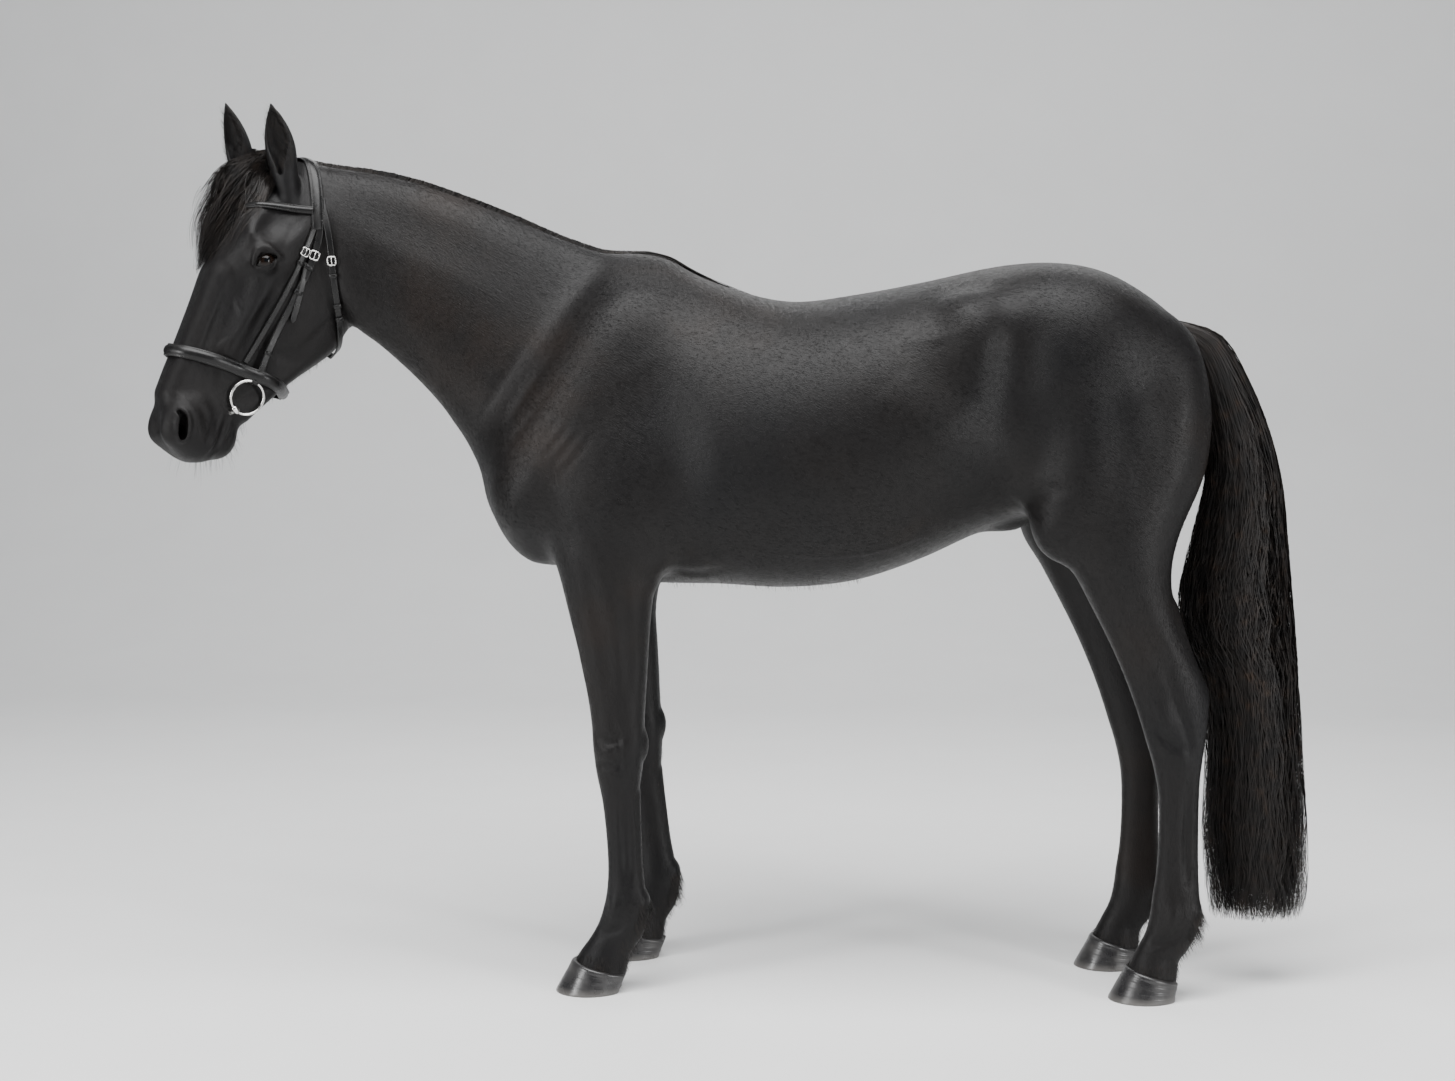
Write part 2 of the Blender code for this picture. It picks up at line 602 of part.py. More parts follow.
def part_body(body, coat):
    """Part the body into named pieces. What is left of it is the trunk."""
    for leg, (low, high) in (("foreleg", FORELEG_BOX), ("hindleg", HINDLEG_BOX)):
        for side, y in SIDES.items():
            ys = sorted((low[1] * y, high[1] * y))
            shape = block((low[0], ys[0], low[2]), (high[0], ys[1], high[2]))
            part_off(body, f"{leg}_{side}", shape, coat)
    for name, (point, normal) in (("head", HEAD_CUT), ("neck", NECK_CUT)):
        away = tuple(-n for n in normal)
        part_off(body, name, slab(point, away), coat)
    body.name = "trunk"


# ---------------------------------------------------------------- hoofs
# Toe, heel and coronet of a hoof in (x, z): the wall's foot at the toe and at the heel, then its
# upper edge in front and behind, and its half width at the ground and at the coronet.
HOOFS = {
    "foreleg": ((-0.362, -0.214), ((-0.324, 0.068), (-0.206, 0.036)), 0.066, 0.052),
    "hindleg": ((0.820, 0.968), ((0.858, 0.070), (0.968, 0.038)), 0.062, 0.050),
}
HOOF_SIDES = 18
HOOF_LEVELS = 2


def hoof(leg, side, horn):
    """A hoof's wall, flat on the ground and level with the coronet above."""
    (toe, heel), (front, back), ground_half, coronet_half = HOOFS[leg]
    step = step_at((FORE_STEP if leg == "foreleg" else HIND_STEP)[side], 0.0)
    foot_y = (FORE_FOOT_Y if leg == "foreleg" else HIND_FOOT_Y) * SIDES[side]
    rings = []
    for level in range(HOOF_LEVELS + 1):
        t = level / HOOF_LEVELS
        start, end = toe + (front[0] - toe) * t, heel + (back[0] - heel) * t
        half = ground_half + (coronet_half - ground_half) * t
        ring = []
        for k in range(HOOF_SIDES):
            angle = 2 * math.pi * k / HOOF_SIDES
            ahead = math.cos(angle)  # 1 at the toe, -1 at the heel
            x = (start + end) / 2 - (end - start) / 2 * ahead
            y = half * math.sin(angle) * (1 - 0.10 * max(0.0, -ahead))
            cleft = 0.014 * math.exp(-((math.pi - angle) / 0.30) ** 2)
            share = (x - front[0]) / (back[0] - front[0])
            z = t * (front[1] + (back[1] - front[1]) * min(1.0, max(0.0, share)))
            ring.append((x - cleft + step, foot_y + y, z))
        rings.append(ring)
    obj = add_object(f"hoof_{leg[:4]}_{side}", *loft_shell(rings, HOOF_SIDES), horn)
    point_outwards(obj)
    return obj


# ---------------------------------------------------------------- eyes and ears
def eye(side, finish):
    bm = bmesh.new()
    bmesh.ops.create_uvsphere(bm, u_segments=10, v_segments=6, radius=EYE_RADIUS)
    mesh = bpy.data.meshes.new("eye")
    bm.to_mesh(mesh)
    bm.free()
    u, v, w = EYE
    mesh.transform(Matrix.Translation(from_head([(u, v, -w * SIDES[side])])[0]))
    return link(f"eye_{side}", mesh, finish)


EAR_RINGS = [  # share of the length, half width, half depth, how hollow the front is
    (-0.30, 0.022, 0.022, 0.0),
    (-0.08, 0.027, 0.025, 0.0),
    (0.10, 0.029, 0.025, 0.2),
    (0.28, 0.033, 0.024, 0.60),
    (0.48, 0.033, 0.021, 0.75),
    (0.67, 0.027, 0.016, 0.75),
    (0.84, 0.017, 0.010, 0.65),
    (1.00, 0.003, 0.003, 0.0),
]
EAR_SIDES = 10
EAR_OUTWARDS = {"l": math.radians(38.0), "r": math.radians(-20.0)}  # turn of its opening


def ear(side, coat):
    base, tip = (Vector(p) for p in from_head(EARS[side]))
    along = tip - base
    ahead = Vector(HEAD[:, 1]) * math.cos(EAR_OUTWARDS[side])
    opening = ahead - Vector(HEAD[:, 2]) * (SIDES[side] * math.sin(EAR_OUTWARDS[side]))
    opening = (opening - along.normalized() * opening.dot(along.normalized())).normalized()
    across = along.normalized().cross(opening)
    rings = []
    for share, half_width, half_depth, hollow in EAR_RINGS:
        centre = base + along * share
        ring = []
        for k in range(EAR_SIDES):
            angle = 2 * math.pi * k / EAR_SIDES
            forward = math.cos(angle)
            if forward > 0:
                forward *= 1 - 1.55 * hollow
            ring.append(centre + across * (half_width * math.sin(angle)) + opening * (half_depth * forward))
        rings.append(ring)
    obj = add_object(f"ear_{side}", *loft_shell(rings, EAR_SIDES), coat)
    point_outwards(obj)
    return obj


# ---------------------------------------------------------------- hair
TAIL = [  # front edge, back edge, half width
    (0.950, 1.420, 0.965, 1.462, 0.020),
    (0.985, 1.360, 1.058, 1.412, 0.036),
    (1.015, 1.270, 1.116, 1.310, 0.044),
    (1.030, 1.180, 1.160, 1.200, 0.050),
    (1.030, 1.080, 1.187, 1.085, 0.056),
    (1.004, 0.960, 1.200, 0.960, 0.060),
    (0.984, 0.850, 1.211, 0.840, 0.062),
    (0.990, 0.760, 1.220, 0.745, 0.064),
    (1.028, 0.660, 1.229, 0.640, 0.066),
    (1.043, 0.500, 1.241, 0.490, 0.066),
    (1.036, 0.350, 1.252, 0.340, 0.064),
    (1.045, 0.240, 1.255, 0.230, 0.062),
    (1.058, 0.150, 1.246, 0.147, 0.058),
]
TAIL_SIDES = 10


def tail(hair):
    rings = []
    for front_x, front_z, back_x, back_z, half_width in spline(TAIL, 15):
        centre = Vector(((front_x + back_x) / 2, 0.0, (front_z + back_z) / 2))
        half = Vector((back_x, 0.0, back_z)) - centre
        ring = []
        for k in range(TAIL_SIDES):
            angle = 2 * math.pi * k / TAIL_SIDES
            ring.append(centre + half * math.cos(angle) + Vector((0.0, half_width * math.sin(angle), 0.0)))
        rings.append(ring)
    obj = add_object("tail", *loft_shell(rings, TAIL_SIDES), hair)
    point_outwards(obj)
    return obj


class Skin:
    """The body's surface, to lay hair and straps on."""

    def __init__(self, *objects):
        points, faces = [], []
        for obj in objects:
            start = len(points)
            points += [v.co.copy() for v in obj.data.vertices]
            faces += [[start + i for i in p.vertices] for p in obj.data.polygons]
        self.tree = BVHTree.FromPolygons(points, faces)

    def near(self, point):
        place, normal, _, _ = self.tree.find_nearest(Vector(point))
        return place, normal

    def along(self, start, direction):
        place, normal, _, _ = self.tree.ray_cast(Vector(start), Vector(direction))
        return place, normal


SINK = 0.005  # how far the underside of hair reaches into the surface before it is cut clear
HAIR_EDGE = 0.006  # hair over the face is nowhere thinner than this


def pad(name, rows, hair):
    """A closed pad. Each row is a list of (point under the surface, point above it)."""
    rings = [[above for _, above in row] + [under for under, _ in row[::-1]] for row in rows]
    obj = add_object(name, *loft_shell(rings, len(rings[0])), hair)
    point_outwards(obj)
    return obj


MANE = [  # crest in (x, z), its offset to the left, how far the hair hangs to the right, thickness
    (-0.912, 1.790, 0.104, 0.050, 0.012),
    (-0.845, 1.788, 0.098, 0.085, 0.018),
    (-0.760, 1.778, 0.088, 0.110, 0.020),
    (-0.660, 1.755, 0.070, 0.125, 0.020),
    (-0.560, 1.722, 0.052, 0.130, 0.020),
    (-0.460, 1.685, 0.034, 0.130, 0.020),
    (-0.370, 1.645, 0.018, 0.120, 0.019),
    (-0.280, 1.608, 0.008, 0.095, 0.018),
    (-0.190, 1.590, 0.0, 0.060, 0.013),
    (-0.110, 1.562, 0.0, 0.035, 0.006),
]


def mane(skin, hair):
    rows = []
    for x, z, left, hang, thickness in spline(MANE, 11):
        row = []
        for out, down, share in (
            (-0.022, 0.016, 0.15),
            (-0.008, 0.0, 0.75),
            (0.030 + 0.005 * hang, 0.08 * hang - 0.02, 1.0),
            (0.030 + 0.020 * hang, 0.40 * hang - 0.02, 0.75),
            (0.030 + 0.040 * hang, 0.75 * hang - 0.02, 0.5),
            (0.030 + 0.055 * hang, hang - 0.02, 0.2),
        ):
            place, normal = skin.near((x - 0.15 * down, -left + out, z - down))
            row.append((place - normal * SINK, place + normal * max(HAIR_EDGE / 2, thickness * share)))
        rows.append(row)
    return pad("mane", rows, hair)


FORELOCK = [  # down the face: (v, w) of its near edge, of two places on top, and of its far edge
    (-0.020, 0.020, 0.034, 0.040, 0.005, 0.052, -0.030, 0.020, -0.046),
    (0.020, 0.040, 0.046, 0.064, 0.014, 0.090, -0.038, 0.040, -0.062),
    (0.060, 0.048, 0.056, 0.084, 0.016, 0.120, -0.050, 0.060, -0.084),
    (0.120, 0.050, 0.072, 0.097, 0.014, 0.133, -0.064, 0.070, -0.100),
    (0.185, 0.056, 0.070, 0.106, 0.008, 0.133, -0.072, 0.065, -0.106),
    (0.235, 0.064, 0.058, 0.108, -0.006, 0.117, -0.074, 0.055, -0.100),
    (0.275, 0.078, 0.030, 0.103, -0.024, 0.099, -0.066, 0.050, -0.084),
    (0.300, 0.088, -0.010, 0.098, -0.036, 0.092, -0.052, 0.070, -0.066),
]


def forelock(skin, hair):
    rows = []
    for u, *places in spline(FORELOCK, 7):
        row = []
        for k in range(4):
            v, w = places[2 * k], places[2 * k + 1]
            above = Vector(from_head([(u, v, w)])[0])
            place, normal = skin.near(above)
            if k in (0, 3) or (above - place).dot(normal) < HAIR_EDGE:
                above = place + normal * HAIR_EDGE
            row.append((place - normal * SINK, above))
        rows.append(row)
    return pad("forelock", rows, hair)


# ---------------------------------------------------------------- bridle
# Straps are led through points of the head's (u, v, w) and laid on the skin. The fourth number of
# a point lifts the strap there. A mirrored strap goes on over the head's middle to the other side.
HEADPIECE = [
    (0.128, -0.066, 0.087, 0.0),
    (0.103, -0.060, 0.085, 0.0),
    (0.072, -0.052, 0.080, 0.0),
    (0.038, -0.038, 0.075, 0.0),
    (0.001, -0.024, 0.060, 0.0),
    (-0.020, -0.018, 0.035, 0.0),
    (-0.032, -0.012, 0.000, 0.0),
]
BROWBAND = [
    (0.100, -0.050, 0.088, 0.001),
    (0.106, -0.021, 0.088, 0.0),
    (0.115, 0.021, 0.084, 0.0),
    (0.130, 0.051, 0.070, 0.0),
    (0.140, 0.070, 0.035, 0.0),
    (0.142, 0.080, 0.000, 0.0),
]
NOSEBAND = [
    (0.478, 0.088, 0.000, 0.0),
    (0.473, 0.069, 0.045, 0.0),
    (0.464, 0.018, 0.055, 0.0),
    (0.464, -0.035, 0.055, 0.0),
    (0.462, -0.073, 0.050, 0.0),
    (0.452, -0.110, 0.040, 0.0),
    (0.446, -0.135, 0.000, 0.0),
]
NOSE_CHEEK = [
    (0.131, -0.056, 0.106, 0.0),
    (0.158, -0.057, 0.106, 0.0),
    (0.189, -0.055, 0.103, 0.0),
    (0.239, -0.057, 0.090, 0.0),
    (0.303, -0.054, 0.085, 0.0),
    (0.368, -0.048, 0.075, 0.0),
    (0.426, -0.041, 0.062, 0.0),
    (0.447, -0.038, 0.058, 0.0),
]
BIT_CHEEK = [
    (0.131, -0.075, 0.112, 0.0),
    (0.163, -0.077, 0.110, 0.0),
    (0.184, -0.080, 0.107, 0.0),
    (0.229, -0.082, 0.098, 0.0),
    (0.287, -0.078, 0.086, 0.0),
    (0.346, -0.073, 0.080, 0.0),
    (0.393, -0.070, 0.074, 0.003),
    (0.432, -0.071, 0.068, 0.009),
    (0.468, -0.074, 0.060, 0.010),
]
THROATLASH = [
    (0.131, -0.096, 0.118, 0.0),
    (0.152, -0.104, 0.118, 0.0),
    (0.181, -0.118, 0.116, 0.0),
    (0.219, -0.139, 0.110, 0.0),
    (0.257, -0.169, 0.100, 0.0),
    (0.288, -0.192, 0.085, 0.0),
    (0.318, -0.214, 0.060, 0.0),
    (0.340, -0.232, 0.030, 0.0),
    (0.345, -0.240, 0.000, 0.0),
]
STRAPS = {  # points, width, thickness, crosses the middle, pieces
    "headpiece": (HEADPIECE, 0.027, 0.0050, True, 9),
    "browband": (BROWBAND, 0.018, 0.0060, True, 8),
    "nosecheek": (NOSE_CHEEK, 0.012, 0.0045, False, 10),
    "cheek": (BIT_CHEEK, 0.015, 0.0045, False, 10),
    "throatlash": (THROATLASH, 0.014, 0.0050, True, 12),
}
NOSEBAND_SIZE = (0.027, 0.0070)
STRAP_ROOM = 0.0010  # between a strap and the skin
# Of a bit's ring: its middle, and which way its plane faces. Then its size and its wire's.
RING = (0.512, -0.070, 0.060)
RING_FACING = (0.20, -0.05, 1.0)
RING_OFF_SKIN = 0.009
RING_RADIUS, RING_WIRE = 0.0360, 0.0027
BUCKLE_ROOM = 0.0012  # between a strap and the buckle on it
BUCKLES = {  # which strap, where along it, width across the strap, length, bar
    "nosecheek": (NOSE_CHEEK, 0.189, 0.016, 0.017, 0.0030),
    "cheek": (BIT_CHEEK, 0.184, 0.019, 0.018, 0.0035),
    "throatlash": (THROATLASH, 0.181, 0.017, 0.018, 0.0035),
}


def strap_path(skin, stations, w_sign, pieces):
    """Places, normals and lifts along a strap, on the skin."""
    places, normals, lifts = [], [], []
    for u, v, w, lift in spline(stations, pieces):
        place, normal = skin.near(from_head([(u, v, w * w_sign)])[0])
        places.append(place)
        normals.append(normal)
        lifts.append(lift)
    return places, normals, lifts


def strap_frame(places, normals, i, closed=False):
    """Which way a strap runs, faces and is wide, at one place of its path."""
    count = len(places)
    before, after = places[i - 1], places[(i + 1) % count]
    if not closed:
        before, after = places[max(i - 1, 0)], places[min(i + 1, count - 1)]
    near = (normals[i - 1], normals[i], normals[(i + 1) % count])
    normal = (sum(near, Vector()) if closed or 0 < i < count - 1 else normals[i]).normalized()
    along = (after - before).normalized()
    return along, normal, along.cross(normal).normalized()


def band(name, places, normals, lifts, width, thickness, finish, closed=False):
    """A strap of rectangular section. Its inner face stays just off the skin."""
    count = len(places)
    rings = []
    for i, (place, lift) in enumerate(zip(places, lifts)):
        _, normal, side = strap_frame(places, normals, i, closed)
        side = side * (width / 2)
        low = place + normal * (lift + STRAP_ROOM)
        high = low + normal * thickness
        rings.append([low - side, low + side, high + side, high - side])
    points = [p for ring in rings for p in ring]
    faces = []
    for i in range(count if closed else count - 1):
        j = (i + 1) % count
        for k in range(4):
            m = (k + 1) % 4
            faces.append((4 * i + k, 4 * i + m, 4 * j + m, 4 * j + k))
    if not closed:
        faces += [(3, 2, 1, 0), tuple(4 * (count - 1) + k for k in range(4))]
    obj = add_object(name, points, faces, finish)
    point_outwards(obj)
    return obj


def joined_path(skin, stations, pieces, last=False):
    """A mirrored strap's path: one side to the middle, then the other side."""
    near = strap_path(skin, stations, 1.0, pieces)
    far = strap_path(skin, stations, -1.0, pieces)
    joined = []
    for one, other in zip(near, far):
        other = other[::-1][1:]
        joined.append(one + (other[:-1] if last else other))
    return joined


def bit_ring(skin, side, steel):
    w = -SIDES[side]
    u, v, reach = RING
    place, normal = skin.near(from_head([(u, v, reach * w)])[0])
    facing = HEAD @ np.array((RING_FACING[0], RING_FACING[1], RING_FACING[2] * w))
    facing = Vector(facing).normalized()
    middle = place + normal * (RING_OFF_SKIN + RING_WIRE)
    across = Vector(HEAD[:, 0]).cross(facing).normalized()
    ahead = facing.cross(across)
    points, faces = [], []
    around, section = 22, 5
    for i in range(around):
        a = 2 * math.pi * i / around
        out = ahead * math.cos(a) + across * math.sin(a)
        for k in range(section):
            b = 2 * math.pi * k / section
            ring_point = out * (RING_RADIUS + RING_WIRE * math.cos(b)) + facing * (RING_WIRE * math.sin(b))
            points.append(middle + ring_point)
            i2, k2 = (i + 1) % around, (k + 1) % section
            faces.append((i * section + k, i2 * section + k, i2 * section + k2, i * section + k2))
    ring = add_object(f"bit_{side}", points, faces, steel)
    point_outwards(ring)
    return ring


def buckle(skin, side, name, finish):
    """A square frame on a strap."""
    stations, at, width, length, bar = BUCKLES[name]
    _, _, thickness, _, pieces = STRAPS[name]
    places, normals, _ = strap_path(skin, stations, -SIDES[side], pieces)
    along_u = [to_head([p])[0][0] for p in places]
    i = min(range(1, len(places) - 1), key=lambda k: abs(along_u[k] - at))
    tangent, normal, across = strap_frame(places, normals, i)
    middle = places[i] + normal * (STRAP_ROOM + thickness + BUCKLE_ROOM)
    points, faces = [], []
    for a, b in ((1, 1), (-1, 1), (-1, -1), (1, -1)):
        for inset in (0.0, bar):
            for up in (0.0, 0.0028):
                corner = across * (a * (width / 2 - inset)) + tangent * (b * (length / 2 - inset))
                points.append(middle + corner + normal * up)
    for i in range(4):
        j = (i + 1) % 4
        for k, m in ((0, 1), (1, 3), (3, 2), (2, 0)):
            faces.append((4 * i + k, 4 * i + m, 4 * j + m, 4 * j + k))
    obj = add_object(f"buckle_{name}_{side}", points, faces, finish)
    point_outwards(obj)
    return obj


def bridle(skin, leather, steel):
    """Straps, bit rings and buckles, cut clear of each other but not yet of the head."""
    made = {}
    places, normals, lifts = joined_path(skin, NOSEBAND, 10, last=True)
    width, thickness = NOSEBAND_SIZE
    made["noseband"] = band("bridle_noseband", places, normals, lifts, width, thickness, leather, closed=True)
    for name, (stations, width, thickness, crosses, pieces) in STRAPS.items():
        if crosses:
            path = joined_path(skin, stations, pieces)
            made[name] = band(f"bridle_{name}", *path, width, thickness, leather)
            continue
        for side in SIDES:
            path = strap_path(skin, stations, -SIDES[side], pieces)
            made[f"{name}_{side}"] = band(f"bridle_{name}_{side}", *path, width, thickness, leather)
    cut_round(made["browband"], made["headpiece"])
    cut_round(made["throatlash"], made["headpiece"])
    keep_largest(made["browband"])
    for side in SIDES:
        for name in ("nosecheek", "cheek"):
            cut_round(made[f"{name}_{side}"], made["headpiece"])
            cut_round(made[f"{name}_{side}"], made["noseband"])
            keep_largest(made[f"{name}_{side}"])
        cut_round(made[f"cheek_{side}"], made[f"nosecheek_{side}"])
        cut_round(made["throatlash"], made[f"cheek_{side}"])
        ring = bit_ring(skin, side, steel)
        cut_round(made[f"cheek_{side}"], ring)
        keep_largest(made[f"cheek_{side}"])
        made[f"bit_{side}"] = ring
        for name in BUCKLES:
            made[f"buckle_{name}_{side}"] = buckle(skin, side, name, steel)
    keep_largest(made["throatlash"])
    return made


def main():
    for obj in list(bpy.data.objects):
        bpy.data.objects.remove(obj)
    coat = material("black_coat", (0.012, 0.011, 0.011), 0.35)
    hair = material("black_hair", (0.014, 0.012, 0.011), 0.5)
    horn = material("dark_horn", (0.10, 0.09, 0.085), 0.3)
    glass = material("dark_eye", (0.010, 0.006, 0.004), 0.05)
    leather = material("black_leather", (0.016, 0.015, 0.015), 0.4)
    steel = material("steel", (0.55, 0.54, 0.52), 0.25, metallic=1.0)
    body = make_body(coat)
    skin = Skin(body)
    hooves = [hoof(leg, side, horn) for leg in HOOFS for side in SIDES]
    eyes = [eye(side, glass) for side in SIDES]
    ears = [ear(side, coat) for side in SIDES]
    straps = bridle(skin, leather, steel)
    for piece in eyes + hooves:
        cut_round(body, piece)
    keep_largest(body)
    hair_pieces = [tail(hair), mane(skin, hair), forelock(skin, hair)]
    for piece in ears + hair_pieces + list(straps.values()):
        cut_round(piece, body)
        keep_largest(piece)
    _, mane_piece, forelock_piece = hair_pieces
    for piece in (forelock_piece, mane_piece):
        for other in ears + [straps["headpiece"], straps["browband"]]:
            cut_round(piece, other, 2 * GAP)
        keep_largest(piece)
    cut_round(mane_piece, forelock_piece, 2 * GAP)
    keep_largest(mane_piece)
    part_body(body, coat)
    for obj in bpy.data.objects:
        obj.data.transform(Matrix.Translation(-ORIGIN))
        obj.data.update()


main()
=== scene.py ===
"""The looks of a life-size black riding horse in a bridle, over its solids.

Frame: metres, +Z up, the horse faces -X and its left is -Y. The flesh is drawn as the same field of
signed distances as the solids, meshed finer, with lids, nostrils, creases and veins. Hair is mesh.
"""

import json
import math

import bmesh
import bpy
import numpy as np
import openvdb
from mathutils import Matrix, Vector
from mathutils.bvhtree import BVHTree

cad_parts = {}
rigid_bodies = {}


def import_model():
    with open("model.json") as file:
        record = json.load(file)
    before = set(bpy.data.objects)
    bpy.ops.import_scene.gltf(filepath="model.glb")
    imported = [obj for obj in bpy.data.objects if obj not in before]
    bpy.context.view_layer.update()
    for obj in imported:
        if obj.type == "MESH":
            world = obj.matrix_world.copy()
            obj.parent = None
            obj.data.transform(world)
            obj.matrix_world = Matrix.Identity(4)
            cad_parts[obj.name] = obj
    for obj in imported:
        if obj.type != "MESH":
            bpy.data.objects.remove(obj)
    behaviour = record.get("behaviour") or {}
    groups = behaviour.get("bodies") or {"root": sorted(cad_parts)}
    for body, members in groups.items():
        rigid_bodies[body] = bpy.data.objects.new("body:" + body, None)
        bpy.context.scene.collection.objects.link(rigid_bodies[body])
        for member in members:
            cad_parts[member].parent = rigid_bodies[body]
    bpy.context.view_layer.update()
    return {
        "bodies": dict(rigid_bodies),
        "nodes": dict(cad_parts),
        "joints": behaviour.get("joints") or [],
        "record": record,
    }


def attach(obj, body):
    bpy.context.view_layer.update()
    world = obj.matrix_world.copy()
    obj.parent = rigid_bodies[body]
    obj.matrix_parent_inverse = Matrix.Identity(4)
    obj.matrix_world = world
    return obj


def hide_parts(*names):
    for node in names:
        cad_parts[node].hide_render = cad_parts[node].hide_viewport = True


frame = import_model()

# ---------------------------------------------------------------- shared dimensions
BAND = 0.05  # the field is only kept this close to the surface
COAT = 0.0015  # how deep the skin lies under the solids' surface
SKIN_CELL = 0.0075
HEAD_CELL = 0.0029
FIELD_REACH = 0.0255  # how far round each shape the field is worked out

ORIGIN = Vector((0.0277, -0.0254, 0.0))  # below the middle of the whole horse

# The head has its own frame: u runs down the face, v forwards out of it, and w to the left.
POLL = Vector((-0.930, -0.105, 1.775))
HEAD_YAW = math.radians(40.0)  # the head looks a little to the horse's left
FACE_LEAN = math.radians(22.5)  # of the nose line, from the vertical

SIDES = {"l": -1.0, "r": 1.0}  # left is -Y

FORE_FOOT_Y = 0.145
HIND_FOOT_Y = 0.130
# How far back each leg stands from the left one, as (height, step) from the ground up.
FORE_STEP = {"l": [(0.0, 0.0)], "r": [(0.0, 0.056), (0.63, 0.0), (0.82, -0.022), (1.05, 0.0)]}
HIND_STEP = {"l": [(0.0, 0.0)], "r": [(0.0, -0.047), (0.95, -0.047), (1.20, 0.0)]}


def head_axes():
    """The head's u, v and w directions as the columns of a matrix."""
    ahead = Vector((-math.cos(HEAD_YAW), -math.sin(HEAD_YAW), 0.0))
    up = Vector((0.0, 0.0, 1.0))
    down_face = ahead * math.sin(FACE_LEAN) - up * math.cos(FACE_LEAN)
    out_of_face = ahead * math.cos(FACE_LEAN) + up * math.sin(FACE_LEAN)
    left = Vector((-ahead.y, ahead.x, 0.0))
    return np.array([down_face, out_of_face, left], float).T


HEAD = head_axes()


def from_head(points):
    """Points in the head's (u, v, w) as points of the row frame."""
    return np.asarray(points, float) @ HEAD.T + np.array(POLL)


def to_head(points):
    """Points of the row frame as the head's (u, v, w)."""
    return (points - np.array(POLL)) @ HEAD


# ---------------------------------------------------------------- stations
# Each row is one cross-section: the ends (along, up) of its long axis, its half width, its centre's
# offset to the left, how square it is (2 is an ellipse), and how much wider it is at its second end.
TRUNK = [  # from the breast to the buttocks: top of the back, then underside
    (-0.430, 1.300, -0.440, 0.975, 0.160, 0.0, 2.2, 0.00),
    (-0.340, 1.450, -0.355, 0.905, 0.195, 0.0, 2.1, 0.15),
    (-0.240, 1.560, -0.250, 0.876, 0.218, 0.0, 2.0, 0.28),
    (-0.140, 1.574, -0.140, 0.869, 0.238, 0.0, 1.9, 0.28),
    (-0.020, 1.524, -0.010, 0.868, 0.264, 0.0, 2.0, 0.18),
    (0.130, 1.484, 0.130, 0.862, 0.286, 0.0, 2.1, 0.08),
    (0.280, 1.499, 0.280, 0.878, 0.292, 0.0, 2.15, 0.04),
    (0.430, 1.526, 0.420, 0.925, 0.278, 0.0, 2.2, 0.00),
    (0.570, 1.556, 0.550, 0.985, 0.252, 0.0, 2.2, -0.06),
    (0.690, 1.566, 0.660, 1.020, 0.245, 0.0, 2.1, -0.06),
    (0.800, 1.548, 0.780, 1.010, 0.235, 0.0, 2.1, 0.00),
    (0.900, 1.495, 0.880, 1.000, 0.205, 0.0, 2.1, 0.05),
    (0.965, 1.440, 0.955, 1.020, 0.150, 0.0, 2.1, 0.05),
]
TRUNK_ENDS = (0.075, 0.055)  # how far the rounded ends stand out

NECK = [  # from the poll to the withers: crest, then throat
    (-0.885, 1.766, -0.845, 1.480, 0.066, 0.105, 2.0, 0.05),
    (-0.800, 1.766, -0.788, 1.420, 0.078, 0.095, 2.0, 0.15),
    (-0.690, 1.748, -0.730, 1.370, 0.083, 0.075, 2.0, 0.22),
    (-0.580, 1.714, -0.663, 1.302, 0.090, 0.055, 2.0, 0.28),
    (-0.470, 1.672, -0.599, 1.220, 0.101, 0.035, 2.0, 0.32),
    (-0.360, 1.625, -0.542, 1.124, 0.118, 0.018, 2.0, 0.36),
    (-0.260, 1.590, -0.520, 1.030, 0.138, 0.006, 2.0, 0.36),
    (-0.150, 1.562, -0.455, 0.960, 0.155, 0.0, 2.0, 0.30),
]
NECK_ENDS = (0.03, 0.13)

HEAD_LOFT = [  # in the head's (u, v): face line, then jaw line
    (0.000, 0.005, 0.060, -0.190, 0.062, 0.0, 2.1, -0.05),
    (0.060, 0.042, 0.120, -0.225, 0.078, 0.0, 2.2, -0.12),
    (0.130, 0.073, 0.180, -0.236, 0.088, 0.0, 2.3, -0.18),
    (0.210, 0.090, 0.240, -0.238, 0.089, 0.0, 2.4, -0.20),
    (0.290, 0.091, 0.310, -0.238, 0.080, 0.0, 2.4, -0.16),
    (0.370, 0.086, 0.385, -0.203, 0.068, 0.0, 2.4, -0.12),
    (0.450, 0.085, 0.450, -0.150, 0.057, 0.0, 2.4, -0.10),
    (0.530, 0.087, 0.520, -0.110, 0.050, 0.0, 2.3, -0.05),
    (0.600, 0.080, 0.588, -0.091, 0.047, 0.0, 2.2, 0.00),
    (0.640, 0.055, 0.630, -0.076, 0.042, 0.0, 2.1, 0.00),
]
HEAD_ENDS = (0.03, 0.031)

